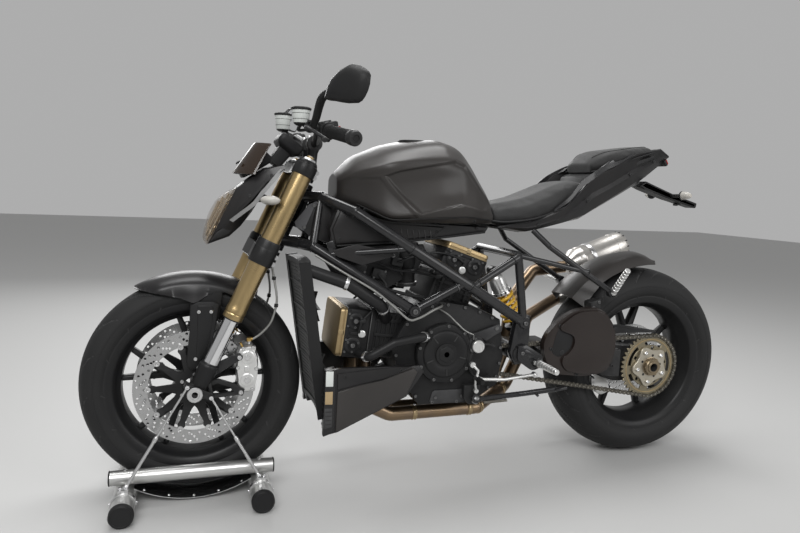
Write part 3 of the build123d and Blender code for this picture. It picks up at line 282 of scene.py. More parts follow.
grainGroup = makeGrainGroup()
brushGroup = makeBrushGroup()
edgeGroup = makeEdgeGroup()
hideGroup = makeHideGroup()
meshGroup = makeMeshGroup()


def placeGroup(tree, group, values):
    node = tree.nodes.new("ShaderNodeGroup")
    node.node_tree = group
    for label, value in values.items():
        node.inputs[label].default_value = value
    return node


def rgba(color, scale=1.0):
    return (color[0] * scale, color[1] * scale, color[2] * scale, 1)


# Specular level of the finishes that are not metal and name none
dullSpecular = 0.2


def makeFinish(name, look):
    mat = bpy.data.materials.new(name)
    mat.use_nodes = True
    tree = mat.node_tree
    shader = tree.nodes["Principled BSDF"]
    for label, key in (("Metallic", "metal"), ("Coat Weight", "coat"), ("Coat Roughness", "coatRough"),
                       ("Specular IOR Level", "specular"), ("Alpha", "alpha"), ("Sheen Weight", "sheen")):
        if key in look:
            shader.inputs[label].default_value = look[key]
    if "specular" not in look and look.get("metal", 0) < 0.5:
        shader.inputs["Specular IOR Level"].default_value = dullSpecular
    color = look["color"]
    second = look["second"]
    kind = look.get("kind", "grain")
    if kind == "brush":
        base = placeGroup(tree, brushGroup, {"Color": rgba(color), "Second Color": rgba(second),
                                             "Stretch": look.get("stretch", (500, 500, 14)),
                                             "Roughness": look["rough"], "Spread": look.get("spread", 0.1)})
    elif kind == "hide":
        base = placeGroup(tree, hideGroup, {"Color": rgba(color), "Crease Color": rgba(second),
                                            "Scale": look["scale"]})
    elif kind == "mesh":
        base = placeGroup(tree, meshGroup, {"Color": rgba(color), "Gap Color": rgba(second),
                                            "Scale": look["scale"]})
    else:
        base = placeGroup(tree, grainGroup, {"Color": rgba(color), "Second Color": rgba(second),
                                             "Scale": look.get("scale", 400.0), "Roughness": look["rough"],
                                             "Spread": look.get("spread", 0.08)})
    outColor = base.outputs["Color"]
    if "wear" in look:
        edge = placeGroup(tree, edgeGroup, {"Worn Color": rgba(look["worn"]), "Amount": look["wear"]})
        tree.links.new(outColor, edge.inputs["Color"])
        outColor = edge.outputs["Color"]
    tree.links.new(outColor, shader.inputs["Base Color"])
    if "Roughness" in base.outputs:
        tree.links.new(base.outputs["Roughness"], shader.inputs["Roughness"])
    else:
        shader.inputs["Roughness"].default_value = look["rough"]
    bump = tree.nodes.new("ShaderNodeBump")
    bump.inputs["Strength"].default_value = look.get("bump", 0.1)
    bump.inputs["Distance"].default_value = look.get("depth", 0.0004)
    tree.links.new(base.outputs["Height"], bump.inputs["Height"])
    tree.links.new(bump.outputs["Normal"], shader.inputs["Normal"])
    mat["slotName"] = look["slot"]
    return mat


# Finishes of the machine: linear colours, and which slot of the record each belongs to
looks = {
    "satinPaint": {"slot": "satin_black_paint", "color": (0.008, 0.008, 0.009),
                   "second": (0.013, 0.012, 0.012),
                   "rough": 0.36, "spread": 0.06, "coat": 0.25, "coatRough": 0.3, "bump": 0.04,
                   "wear": 0.3, "worn": (0.08, 0.08, 0.08)},
    "tankPaint": {"slot": "tank_paint", "color": (0.026, 0.024, 0.023), "second": (0.034, 0.031, 0.029),
                  "rough": 0.36, "spread": 0.05, "coat": 0.2, "coatRough": 0.3, "bump": 0.03},
    "framePaint": {"slot": "gloss_black_frame", "color": (0.007, 0.007, 0.008),
                   "second": (0.011, 0.011, 0.012),
                   "rough": 0.26, "spread": 0.06, "coat": 0.5, "coatRough": 0.12, "bump": 0.05,
                   "wear": 0.3, "worn": (0.07, 0.07, 0.07)},
    "blackMetal": {"slot": "black_metal", "color": (0.009, 0.009, 0.010), "second": (0.015, 0.015, 0.015),
                   "rough": 0.36, "metal": 0.0, "bump": 0.12, "scale": 700.0, "wear": 0.6,
                   "worn": (0.09, 0.09, 0.09)},
    "castMetal": {"slot": "cast_grey_metal", "color": (0.05, 0.05, 0.052), "second": (0.032, 0.032, 0.033),
                  "rough": 0.5, "metal": 0.45, "bump": 0.35, "scale": 900.0, "depth": 0.0006, "wear": 0.6,
                  "worn": (0.2, 0.2, 0.2)},
    "castBlack": {"slot": "cast_grey_metal", "color": (0.010, 0.010, 0.011), "second": (0.017, 0.017, 0.017),
                  "rough": 0.45, "metal": 0.2, "bump": 0.3, "scale": 900.0, "wear": 0.5,
                  "worn": (0.08, 0.08, 0.08)},
    "goldFork": {"slot": "gold_anodised", "kind": "brush", "color": (0.42, 0.31, 0.155),
                 "second": (0.33, 0.24, 0.12), "stretch": (260, 260, 30), "rough": 0.3, "metal": 0.9,
                 "bump": 0.05},
    "goldCast": {"slot": "gold_anodised", "color": (0.40, 0.30, 0.16), "second": (0.30, 0.22, 0.115),
                 "rough": 0.42, "metal": 0.75, "bump": 0.2, "scale": 800.0, "wear": 0.4,
                 "worn": (0.62, 0.5, 0.3)},
    "chromeTube": {"slot": "chrome", "color": (0.80, 0.80, 0.81), "second": (0.74, 0.74, 0.75), "rough": 0.08,
                   "spread": 0.03, "metal": 1.0, "bump": 0.01},
    "brightMetal": {"slot": "machined_aluminium", "color": (0.68, 0.68, 0.68), "second": (0.56, 0.56, 0.56),
                    "rough": 0.28, "spread": 0.08, "metal": 0.95, "bump": 0.06, "scale": 900.0},
    "caliperMetal": {"slot": "machined_aluminium", "color": (0.74, 0.74, 0.73), "second": (0.62, 0.62, 0.61),
                     "rough": 0.33, "metal": 0.85, "bump": 0.15, "scale": 1100.0},
    "discSteel": {"slot": "disc_steel", "kind": "brush", "color": (0.46, 0.46, 0.46),
                  "second": (0.34, 0.34, 0.34), "stretch": (90, 600, 90), "rough": 0.28, "metal": 0.95,
                  "bump": 0.08},
    "standSteel": {"slot": "brushed_steel", "kind": "brush", "color": (0.60, 0.60, 0.59),
                   "second": (0.50, 0.50, 0.49), "stretch": (500, 18, 500), "rough": 0.33, "metal": 0.9,
                   "bump": 0.08},
    "traySteel": {"slot": "stainless_tray", "kind": "brush", "color": (0.72, 0.72, 0.72),
                  "second": (0.62, 0.62, 0.62), "stretch": (20, 500, 20), "rough": 0.16, "metal": 1.0,
                  "bump": 0.04},
    "silencerSteel": {"slot": "brushed_steel", "kind": "brush", "color": (0.58, 0.56, 0.53),
                      "second": (0.46, 0.44, 0.41), "stretch": (500, 20, 500), "rough": 0.34, "metal": 0.95,
                      "bump": 0.08},
    "headerSteel": {"slot": "header_steel", "color": (0.30, 0.21, 0.12), "second": (0.20, 0.15, 0.11),
                    "rough": 0.34, "spread": 0.12, "metal": 0.95, "bump": 0.08, "scale": 40.0},
    "chainSteel": {"slot": "chain_steel", "color": (0.36, 0.34, 0.30), "second": (0.16, 0.15, 0.13),
                   "rough": 0.38, "metal": 0.9, "bump": 0.1, "scale": 300.0},
    "tyreRubber": {"slot": "tyre", "color": (0.013, 0.013, 0.0135), "second": (0.019, 0.019, 0.019),
                   "rough": 0.62, "bump": 0.25, "scale": 500.0, "spread": 0.06},
    "gripRubber": {"slot": "grip_rubber", "color": (0.009, 0.009, 0.009), "second": (0.014, 0.014, 0.014),
                   "rough": 0.65, "bump": 0.3, "scale": 600.0},
    "hoseRubber": {"slot": "hose_rubber", "color": (0.010, 0.010, 0.011), "second": (0.017, 0.017, 0.017),
                   "rough": 0.42, "bump": 0.12, "scale": 500.0},
    "silverHose": {"slot": "hose_rubber", "color": (0.30, 0.30, 0.29), "second": (0.20, 0.20, 0.19),
                   "rough": 0.35, "metal": 0.5, "bump": 0.3, "scale": 900.0},
    "blackPlastic": {"slot": "black_plastic", "color": (0.010, 0.010, 0.011), "second": (0.016, 0.016, 0.016),
                     "rough": 0.5, "bump": 0.25, "scale": 900.0},
    "seatLeather": {"slot": "seat_leather", "kind": "hide", "color": (0.017, 0.017, 0.017),
                    "second": (0.012, 0.012, 0.012), "rough": 0.56, "scale": 420.0, "bump": 0.3,
                    "sheen": 0.15},
    "radiatorMesh": {"slot": "radiator_black", "kind": "mesh", "color": (0.05, 0.05, 0.05),
                     "second": (0.003, 0.003, 0.003), "rough": 0.4, "scale": 60.0, "bump": 0.8,
                     "depth": 0.002},
    # a lighter copy of the satin black paint; the extra lightness is a painted highlight
    "satinPaintedHighlight": {"slot": "satin_black_paint", "color": (0.030, 0.028, 0.027), "second": (0.038, 0.035, 0.033),
                 "rough": 0.4, "spread": 0.05, "coat": 0.15, "coatRough": 0.3, "bump": 0.04},
    "boltSteel": {"slot": "machined_aluminium", "color": (0.20, 0.20, 0.20), "second": (0.13, 0.13, 0.13),
                  "rough": 0.36, "metal": 0.9, "bump": 0.06},
    "satinSilver": {"slot": "machined_aluminium", "color": (0.36, 0.36, 0.36), "second": (0.28, 0.28, 0.28),
                    "rough": 0.42, "metal": 0.8, "bump": 0.04},
    "armPaint": {"slot": "black_metal", "color": (0.013, 0.009, 0.008), "second": (0.019, 0.014, 0.012),
                 "rough": 0.34, "spread": 0.05, "coat": 0.3, "coatRough": 0.22, "bump": 0.04},
    "headerBand": {"slot": "header_steel", "color": (0.46, 0.35, 0.20), "second": (0.36, 0.27, 0.16),
                   "rough": 0.3, "metal": 0.95, "bump": 0.06, "scale": 60.0},
    # a lighter grey copy of the satin black paint for the duct's lit facet: painted highlight
    "ductPaintedHighlight": {"slot": "satin_black_paint", "color": (0.085, 0.085, 0.09), "second": (0.07, 0.07, 0.074),
                 "rough": 0.4, "bump": 0.04},
    "grooveRubber": {"slot": "tyre", "color": (0.05, 0.05, 0.05), "second": (0.04, 0.04, 0.04), "rough": 0.7},
    "chainDark": {"slot": "chain_steel", "color": (0.13, 0.12, 0.10), "second": (0.07, 0.065, 0.055),
                  "rough": 0.45, "metal": 0.85, "bump": 0.1, "scale": 300.0},
    "sprocketGold": {"slot": "gold_anodised", "color": (0.27, 0.235, 0.16), "second": (0.19, 0.165, 0.115),
                     "rough": 0.4, "metal": 0.8, "bump": 0.15, "scale": 500.0},
    "carrierMetal": {"slot": "machined_aluminium", "color": (0.44, 0.41, 0.34), "second": (0.36, 0.33, 0.27),
                     "rough": 0.42, "metal": 0.75, "bump": 0.12, "scale": 700.0},
    "nutBronze": {"slot": "gold_anodised", "color": (0.26, 0.21, 0.14), "second": (0.19, 0.15, 0.10),
                  "rough": 0.35, "metal": 0.85, "bump": 0.08},
    "mirrorGlass": {"slot": "black_plastic", "color": (0.85, 0.86, 0.87), "second": (0.8, 0.81, 0.82),
                    "rough": 0.03, "spread": 0.01, "metal": 1.0, "bump": 0.0},
    "lampGlass": {"slot": "lamp_glass", "color": (0.22, 0.17, 0.12), "second": (0.18, 0.14, 0.10),
                  "rough": 0.05, "spread": 0.02, "alpha": 0.3, "specular": 0.8, "bump": 0.01},
    "smokedScreen": {"slot": "smoked_screen", "color": (0.03, 0.02, 0.014), "second": (0.024, 0.016, 0.011),
                     "rough": 0.12, "spread": 0.02, "alpha": 0.9, "specular": 0.4, "bump": 0.01},
    "reflector": {"slot": "lamp_glass", "color": (0.74, 0.64, 0.50), "second": (0.62, 0.53, 0.41),
                  "rough": 0.12, "metal": 1.0, "bump": 0.02},
    "whiteCup": {"slot": "clear_white_plastic", "color": (0.62, 0.64, 0.62), "second": (0.54, 0.56, 0.54),
                 "rough": 0.3, "bump": 0.05, "specular": 0.5},
    "clearLamp": {"slot": "clear_lamp_plastic", "color": (0.55, 0.55, 0.53), "second": (0.48, 0.44, 0.38),
                  "rough": 0.12, "bump": 0.25, "scale": 240.0, "alpha": 0.75},
    "redLamp": {"slot": "red_lamp_plastic", "color": (0.32, 0.012, 0.012), "second": (0.2, 0.008, 0.008),
                "rough": 0.12, "bump": 0.3, "scale": 240.0},
    "yellowSpring": {"slot": "yellow_spring_paint", "color": (0.72, 0.42, 0.04), "second": (0.62, 0.36, 0.03),
                     "rough": 0.3, "coat": 0.3, "coatRough": 0.1, "bump": 0.03},
    "tanInsert": {"slot": "satin_black_paint", "color": (0.40, 0.30, 0.17), "second": (0.34, 0.25, 0.14),
                  "rough": 0.42, "bump": 0.05},
    "brassFitting": {"slot": "gold_anodised", "color": (0.55, 0.38, 0.14), "second": (0.45, 0.3, 0.1),
                     "rough": 0.3, "metal": 0.9, "bump": 0.05},
}
finish = {name: makeFinish(name, look) for name, look in looks.items()}
print("finishes made:", len(finish))


# Mesh helpers: shapes go into a bmesh in millimetres and are placed as one piece in metres
def newBm():
    return bmesh.new()


def fullTurn(count, start=0.0):
    # angles in equal steps round a circle, from a start in degrees
    return [math.radians(start) + 2 * math.pi * i / count for i in range(count)]


def aroundY(centre, radius, count, y=0.0, start=0.0):
    # points of a circle square to Y
    return [Vector(centre) + Vector((radius * math.cos(a), y, radius * math.sin(a)))
            for a in fullTurn(count, start)]


def drum(low, high, inner, outer):
    # lathe profile of a plain sleeve
    return [(low, inner), (low, outer), (high, outer), (high, inner)]


def mirrored(points):
    # the other side's half of a ring, in the order that closes it
    return [Vector((p.x, -p.y, p.z)) for p in reversed(points)]


def addRings(bm, rings, mat=0, closed=True, caps=(True, True)):
    # skins rings of points that have the same count
    rows = [[bm.verts.new(p) for p in ring] for ring in rings]
    count = len(rows[0])
    last = count if closed else count - 1
    for a, b in zip(rows, rows[1:]):
        for i in range(last):
            j = (i + 1) % count
            bm.faces.new((a[i], a[j], b[j], b[i])).material_index = mat
    for wanted, row in ((caps[0], rows[0]), (caps[1], rows[-1])):
        if wanted and closed:
            bm.faces.new(row).material_index = mat
    return rows


def sideAxes(axis):
    axis = Vector(axis).normalized()
    helper = Vector((0, 0, 1)) if abs(axis.z) < 0.9 else Vector((1, 0, 0))
    first = helper.cross(axis).normalized()
    return axis, first, axis.cross(first)


def addLathe(bm, profile, centre, axis, segments=48, mat=0, ring=False):
    # profile rows are (distance along the axis, radius); a ring profile closes on itself
    axis, first, second = sideAxes(axis)
    centre = Vector(centre)
    points = list(profile) + ([profile[0]] if ring else [])
    rings = []
    for along, radius in points:
        spot = centre + axis * along
        rings.append([spot + (first * math.cos(a) + second * math.sin(a)) * max(radius, 0.01)
                      for a in fullTurn(segments)])
    addRings(bm, rings, mat, caps=(not ring, not ring))


def curvePoints(points, steps=8):
    # a smooth line through every point
    pts = [Vector(p) for p in points]
    if len(pts) < 3:
        return pts
    pts = [pts[0] * 2 - pts[1]] + pts + [pts[-1] * 2 - pts[-2]]
    line = []
    for a, b, c, d in zip(pts, pts[1:], pts[2:], pts[3:]):
        for k in range(steps):
            t = k / steps
            line.append(0.5 * (2 * b + (c - a) * t + (2 * a - 5 * b + 4 * c - d) * t ** 2
                               + (3 * b - a - 3 * c + d) * t ** 3))
    return line + [pts[-2]]


def addTube(bm, points, radius, sides=14, mat=0, curved=False, flat=1.0):
    # radius is one number, or one for each end; flat squashes the section
    line = curvePoints(points) if curved else [Vector(p) for p in points]
    ends = radius if isinstance(radius, (tuple, list)) else (radius, radius)
    rings = []
    normal = None
    for k, spot in enumerate(line):
        ahead = (line[min(k + 1, len(line) - 1)] - line[max(k - 1, 0)]).normalized()
        if normal is None:
            normal = sideAxes(ahead)[1]
        normal = (normal - ahead * normal.dot(ahead)).normalized()
        across = ahead.cross(normal)
        size = ends[0] + (ends[1] - ends[0]) * k / (len(line) - 1)
        rings.append([spot + normal * (math.cos(a) * size) + across * (math.sin(a) * size * flat)
                      for a in fullTurn(sides)])
    addRings(bm, rings, mat)


def addPrism(bm, bottom, top, mat=0, bevel=0.0, segments=2):
    # a solid between two outlines with the same count, its edges rounded by the bevel
    low = [bm.verts.new(p) for p in bottom]
    high = [bm.verts.new(p) for p in top]
    faces = [bm.faces.new(low[::-1]), bm.faces.new(high)]
    for i in range(len(low)):
        j = (i + 1) % len(low)
        faces.append(bm.faces.new((low[i], low[j], high[j], high[i])))
    for face in faces:
        face.material_index = mat
    if bevel > 0:
        edges = list({e for f in faces for e in f.edges})
        made = bmesh.ops.bevel(bm, geom=edges, offset=bevel, segments=segments, profile=0.5,
                               affect="EDGES", clamp_overlap=True)
        for face in made["faces"]:
            face.material_index = mat


def sideSlab(bm, outline, yLow, yHigh, mat=0, bevel=0.0, lean=0.0):
    # an outline of (x, z) in side view; lean narrows the outer face towards its middle
    middle = Vector((sum(p[0] for p in outline), sum(p[1] for p in outline))) / len(outline)
    outer = [middle + (Vector(p) - middle) * (1 - lean) for p in outline]
    addPrism(bm, [(x, yLow, z) for x, z in outline], [(p.x, yHigh, p.y) for p in outer], mat, bevel)


def addBox(bm, centre, size, turn=(0, 0, 0), mat=0, bevel=0.0):
    tilt, roll, yaw = (Matrix.Rotation(math.radians(a), 3, axis) for a, axis in zip(turn, "XYZ"))
    turned = yaw @ roll @ tilt
    corners = []
    for z in (-0.5, 0.5):
        corners.append([Vector(centre) + turned @ Vector((x * size[0], y * size[1], z * size[2]))
                        for x, y in ((-0.5, -0.5), (0.5, -0.5), (0.5, 0.5), (-0.5, 0.5))])
    addPrism(bm, corners[0], corners[1], mat, bevel)


def addPlate(bm, loops, centre, y, thickness, mat=0, bevel=0.4):
    # a flat plate in side view with holes: the first loop is the outline, the others are cut out
    curve = bpy.data.curves.new("plate", "CURVE")
    curve.dimensions = "2D"
    curve.fill_mode = "BOTH"
    curve.extrude = max(thickness / 2 - bevel, 0.01)
    curve.bevel_depth = bevel
    curve.offset = -bevel
    curve.bevel_resolution = 0
    for loop in loops:
        spline = curve.splines.new("POLY")
        spline.points.add(len(loop) - 1)
        for point, (u, w) in zip(spline.points, loop):
            point.co = (u, w, 0, 1)
        spline.use_cyclic_u = True
    holder = bpy.data.objects.new("plate", curve)
    mesh = bpy.data.meshes.new_from_object(holder)
    mesh.transform(Matrix.Translation((centre[0], y, centre[1])) @ Matrix.Rotation(math.pi / 2, 4, "X"))
    before = len(bm.faces)
    bm.from_mesh(mesh)
    bm.faces.ensure_lookup_table()
    for face in bm.faces[before:]:
        face.material_index = mat
    bpy.data.objects.remove(holder)


def circleLoop(radius, count=24, centre=(0, 0), start=0.0):
    return [(centre[0] + radius * math.cos(start + 2 * math.pi * i / count),
             centre[1] + radius * math.sin(start + 2 * math.pi * i / count)) for i in range(count)]


def addBolt(bm, at, normal, radius=5.0, height=4.0, mat=0, socket=True):
    inner = radius * 0.5
    profile = [(0, radius), (height * 0.8, radius), (height, radius * 0.85)]
    profile += [(height, inner), (height * 0.35, inner)] if socket else [(height, inner)]
    addLathe(bm, profile, at, normal, 12, mat)


def meshObject(bm, name):
    # a bmesh in millimetres becomes an object of the scene in metres
    bmesh.ops.scale(bm, vec=(0.001, 0.001, 0.001), verts=bm.verts[:])
    bmesh.ops.recalc_face_normals(bm, faces=bm.faces[:])
    mesh = bpy.data.meshes.new(name)
    bm.to_mesh(mesh)
    bm.free()
    piece = bpy.data.objects.new(name, mesh)
    scene.collection.objects.link(piece)
    return piece


def applyModifiers(piece):
    # the evaluated mesh takes the place of the mesh and its modifiers
    shaped = bpy.data.meshes.new_from_object(piece.evaluated_get(bpy.context.evaluated_depsgraph_get()))
    piece.modifiers.clear()
    old = piece.data
    piece.data = shaped
    bpy.data.meshes.remove(old)


def addSubdivision(piece, label, level):
    rounder = piece.modifiers.new(label, "SUBSURF")
    rounder.levels = level
    rounder.render_levels = level


def shadeSmooth(mesh, sharp):
    mesh.polygons.foreach_set("use_smooth", [True] * len(mesh.polygons))
    mesh.set_sharp_from_angle(angle=math.radians(sharp))


def placePiece(bm, name, body, finishes, replaces=(), sharp=38, level=0):
    piece = meshObject(bm, name)
    for label in finishes:
        piece.data.materials.append(finish[label])
    if level:
        addSubdivision(piece, "rounder", level)
    shadeSmooth(piece.data, sharp)
    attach(piece, body)
    if replaces:
        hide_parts(*replaces)
    return piece


def dress(node, label, sharp=30):
    # a CAD node that stays gets its finish and smooth shading
    mesh = nodes[node].data
    mesh.materials.clear()
    mesh.materials.append(finish[label])
    shadeSmooth(mesh, sharp)


frontAxle = Vector((749.5, 0, 315))
rearAxle = Vector((-725.5, 0, 324))
legSpread, yokeOffset, rake = 105.0, 26.3, math.radians(24.5)
legAxis = Vector((-math.sin(rake), 0, math.cos(rake)))
legForward = Vector((math.cos(rake), 0, math.sin(rake)))


def legPoint(z, y=legSpread, ahead=0.0):
    # a point on a fork leg's centre line at height z, or square ahead of it
    x = frontAxle.x - 4.8 - (z - frontAxle.z) * math.tan(rake)
    return Vector((x, y, z)) + legForward * ahead


# Tyres: width and height of the section, and the tread's grooves
tyres = {
    "frontTyre": {"node": "front_tyre", "body": "front_wheel", "centre": frontAxle, "crown": 300.0,
                  "halfWidth": 60.0, "flange": 48.0, "repeats": 15, "grooveWidth": 2.6, "lean": 0.32},
    "rearTyre": {"node": "rear_tyre", "body": "rear_wheel", "centre": rearAxle, "crown": 324.0,
                 "halfWidth": 90.0, "flange": 74.0, "repeats": 13, "grooveWidth": 3.4, "lean": -0.36},
}
beadRadius = 229.0
# Steps round a tyre, depth and edge steepness of its grooves, and the depth from which they show dark
tread = {"steps": 720, "depth": 3.4, "edge": 2.4, "dark": 1.2}
# Grooves of one repeat: start and end as shares of the half width, offset round the tyre, side
treadGrooves = ((0.06, 0.86, 0.0, 1), (0.10, 0.80, 0.5, -1), (0.34, 0.92, 0.32, 1), (0.30, 0.90, 0.82, -1),
                (0.02, 0.40, 0.66, 1), (0.02, 0.40, 0.16, -1))


def grooveDepth(share, turn, tyre):
    depth = 0.0
    pitch = 2 * math.pi / tyre["repeats"]
    for low, high, offset, side in treadGrooves:
        s = share * side
        if low < s < high:
            line = offset * pitch + tyre["lean"] * (s - low) + 0.1 * (
                    s - low) ** 2 * math.copysign(1, tyre["lean"])
            gap = (turn - line + pitch / 2) % pitch - pitch / 2
            reach = tyre["grooveWidth"] * min(1.0, 6 * min(s - low, high - s) + 0.3)
            near = abs(gap) * tyre["crown"] / reach
            if near < 1.0:
                depth = max(depth, tread["depth"] * min(1.0, tread["edge"] * (1 - near)))
    return depth


def makeTyre(name, tyre):
    w, height = tyre["halfWidth"], tyre["crown"] - beadRadius
    side = ((0.0, 0.0), (0.4, 0.05), (0.75, 0.195), (0.95, 0.43), (1.0, 0.62), (0.967, 0.79))
    half = [Vector((s * w, tyre["crown"] - h * height, 0)) for s, h in side]
    half += [Vector((tyre["flange"] + 4, beadRadius + height * 0.065, 0)),
             Vector((tyre["flange"] + 1, beadRadius, 0))]
    right = curvePoints(half, 7)
    profile = [Vector((-p.x, p.y, 0)) for p in reversed(right[1:])] + right
    bm = newBm()
    rings = []
    for turn in fullTurn(tread["steps"]):
        ring = []
        for p in profile:
            radius = p.y - grooveDepth(p.x / w, turn, tyre)
            ring.append(tyre["centre"] + Vector((radius * math.cos(turn), p.x, radius * math.sin(turn))))
        rings.append(ring)
    rows = addRings(bm, rings, closed=False)
    for corners in zip(rows[-1], rows[-1][1:], rows[0][1:], rows[0]):
        bm.faces.new(corners)
    for face in bm.faces:
        at = face.calc_center_median() - tyre["centre"]
        if grooveDepth(at.y / w, math.atan2(at.z, at.x) % (2 * math.pi), tyre) > tread["dark"]:
            face.material_index = 1
    for sign in (-1, 1):
        for radius, proud in ((beadRadius + 12, 0.9), (beadRadius + height * 0.42, 0.6)):
            share = 1 - (radius - beadRadius) / height
            y = sign * (tyre["flange"] + 1 + (w - tyre["flange"]) * min(1.0, (1 - share) * 2.2))
            addLathe(bm, [(y - 2.0 * sign, radius - 2.2), (y + proud * sign, radius - 1.2),
                          (y + proud * sign, radius + 1.2), (y - 2.0 * sign, radius + 2.2)],
                     tyre["centre"], (0, 1, 0), 120, ring=True)
    placePiece(bm, name, tyre["body"], ["tyreRubber", "grooveRubber"], [tyre["node"]], sharp=50)


for name, tyre in tyres.items():
    makeTyre(name, tyre)
print("tyres made")

# Rims: barrel, hub and forked spokes; the spokes' widths and depths are at hub, fork and rim
rims = {
    "frontRim": {"node": "front_rim", "body": "front_wheel", "centre": frontAxle, "flange": 48.0, "hub": 40.0,
                 "fork": 92.0, "hubY": 0.0, "rimY": 0.0, "widths": (26, 20, 15), "depths": (44, 30, 22),
                 "hubHalf": 65.0, "turn": 90.0},
    "rearRim": {"node": "rear_rim", "body": "rear_wheel", "centre": rearAxle, "flange": 74.0, "hub": 50.0,
                "fork": 98.0, "hubY": -30.0, "rimY": -36.0, "widths": (32, 26, 18), "depths": (46, 36, 26),
                "hubHalf": 28.0, "turn": 90.0},
}


def addSpoke(bm, centre, inner, outer, sizes):
    # an eight-sided arm between two (radius, degrees, y) points with (width, depth) at each end
    ends = []
    for radius, degrees, y in (inner, outer):
        a = math.radians(degrees)
        ends.append(centre + Vector((radius * math.cos(a), y, radius * math.sin(a))))
    ahead = (ends[1] - ends[0]).normalized()
    across = ahead.cross(Vector((0, 1, 0))).normalized()
    rings = []
    for t in (0.0, 0.25, 0.5, 0.75, 1.0):
        width = sizes[0][0] + (sizes[1][0] - sizes[0][0]) * t
        depth = sizes[0][1] + (sizes[1][1] - sizes[0][1]) * t
        spot = ends[0].lerp(ends[1], t)
        ring = []
        for a in fullTurn(16):
            c, s = math.cos(a), math.sin(a)
            ring.append(spot + across * (math.copysign(abs(c) ** 0.6, c) * width / 2)
                        + Vector((0, 1, 0)) * (math.copysign(abs(s) ** 0.6, s) * depth / 2))
        rings.append(ring)
    addRings(bm, rings)


def makeRim(name, rim):
    bm = newBm()
    f = rim["flange"]
    outer = [(f - 6, 220), (f - 1, 229), (f + 1, 236), (f + 3, 236.5), (f + 4, 234), (f + 2.5, 226),
             (f - 2, 214), (f - 8, 207), (f * 0.62, 204)]
    inner = [(f * 0.5, 192), (0, 189)]
    rightSide = outer + inner
    ring = rightSide + [(-y, r) for y, r in reversed(rightSide[:-1])]
    tyreSide = [(-(f - 12), 219), (-(f - 26), 208), (f - 26, 208), (f - 12, 219)]
    addLathe(bm, ring + tyreSide, rim["centre"], (0, 1, 0), 160, ring=True)
    low, high = rim["hubY"] - rim["hubHalf"], rim["hubY"] + rim["hubHalf"]
    addLathe(bm, [(low, 30), (low, rim["hub"] - 5), (low + 3, rim["hub"] - 2), (low + 16, rim["hub"] + 2),
                  (high - 16, rim["hub"] + 2), (high - 3, rim["hub"] - 2), (high, rim["hub"] - 5),
                  (high, 30)], rim["centre"], (0, 1, 0), 64, ring=True)
    forkY = (rim["hubY"] + rim["rimY"]) / 2
    for i in range(5):
        turn = rim["turn"] + 72 * i
        (w0, w1, w2), (d0, d1, d2) = rim["widths"], rim["depths"]
        addSpoke(bm, rim["centre"], (rim["hub"] - 8, turn, rim["hubY"]), (rim["fork"] + 8, turn, forkY),
                 ((w0 + 6, d0), (w1 + 6, d1)))
        for split in (-13, 13):
            addSpoke(bm, rim["centre"], (rim["fork"] - 6, turn + split * 0.22, forkY),
                     (196, turn + split, rim["rimY"]), ((w1, d1), (w2, d2)))
    placePiece(bm, name, rim["body"], ["blackMetal"], [rim["node"]], sharp=50)


for name, rim in rims.items():
    makeRim(name, rim)

# Discs: ring sizes and the rows of drilled holes as (radius, count, start in degrees)
discs = {"outer": 160.0, "inner": 121.0, "thick": 4.6, "y": 68.0, "hole": 3.4,
         "rows": ((130.0, 30, 0.0), (139.5, 30, 6.0), (149.0, 30, 3.0), (134.0, 15, 9.0), (153.5, 15, 10.0))}
rearDiscLook = {"outer": 122.5, "inner": 87.0, "thick": 5.0, "y": 6.5, "hole": 3.2,
                "rows": ((96.0, 24, 0.0), (105.0, 24, 5.0), (114.0, 24, 10.0))}


def discLoops(disc):
    loops = [circleLoop(disc["outer"], 180), circleLoop(disc["inner"], 120)]
    for radius, count, start in disc["rows"]:
        for a in fullTurn(count, start):
            loops.append(circleLoop(disc["hole"], 10, (radius * math.cos(a), radius * math.sin(a))))
    return loops


def makeFrontDiscs():
    bm = newBm()
    for side in (-1, 1):
        addPlate(bm, discLoops(discs), (frontAxle.x, frontAxle.z), side * discs["y"], discs["thick"], 0, 0.5)
    placePiece(bm, "frontDiscRings", "front_wheel", ["discSteel"], ["front_discs"], sharp=40)
    bm = newBm()
    arms, inner, outer = 10, 46.0, 118.0
    for side in (-1, 1):
        y = side * discs["y"]
        loop = []
        for base in fullTurn(arms):
            for radius, step in ((inner + 6, -0.30), (inner + 14, -0.20), (outer - 18, -0.075),
                                 (outer - 6, -0.10), (outer, -0.06), (outer, 0.06), (outer - 6, 0.10),
                                 (outer - 18, 0.075), (inner + 14, 0.20), (inner + 6, 0.30)):
                loop.append((radius * math.cos(base + step), radius * math.sin(base + step)))
        addPlate(bm, [loop, circleLoop(31, 48)], (frontAxle.x, frontAxle.z), y, 6.0, 0, 0.8)
        for spot in aroundY(frontAxle, 121, arms, y):
            addLathe(bm, [(-4.6, 2.5), (-4.6, 7.6), (-3.0, 8.2), (3.0, 8.2), (4.6, 7.6), (4.6, 4.2),
                          (2.0, 3.6)], spot, (0, side, 0), 16, 1)
        for spot in aroundY(frontAxle, 38, 6, y + side * 2.5, 30):
            addBolt(bm, spot, (0, side, 0), 5.2, 4.6, 1)
    placePiece(bm, "discCarriers", "front_wheel", ["blackMetal", "brightMetal"], ["disc_carriers"])


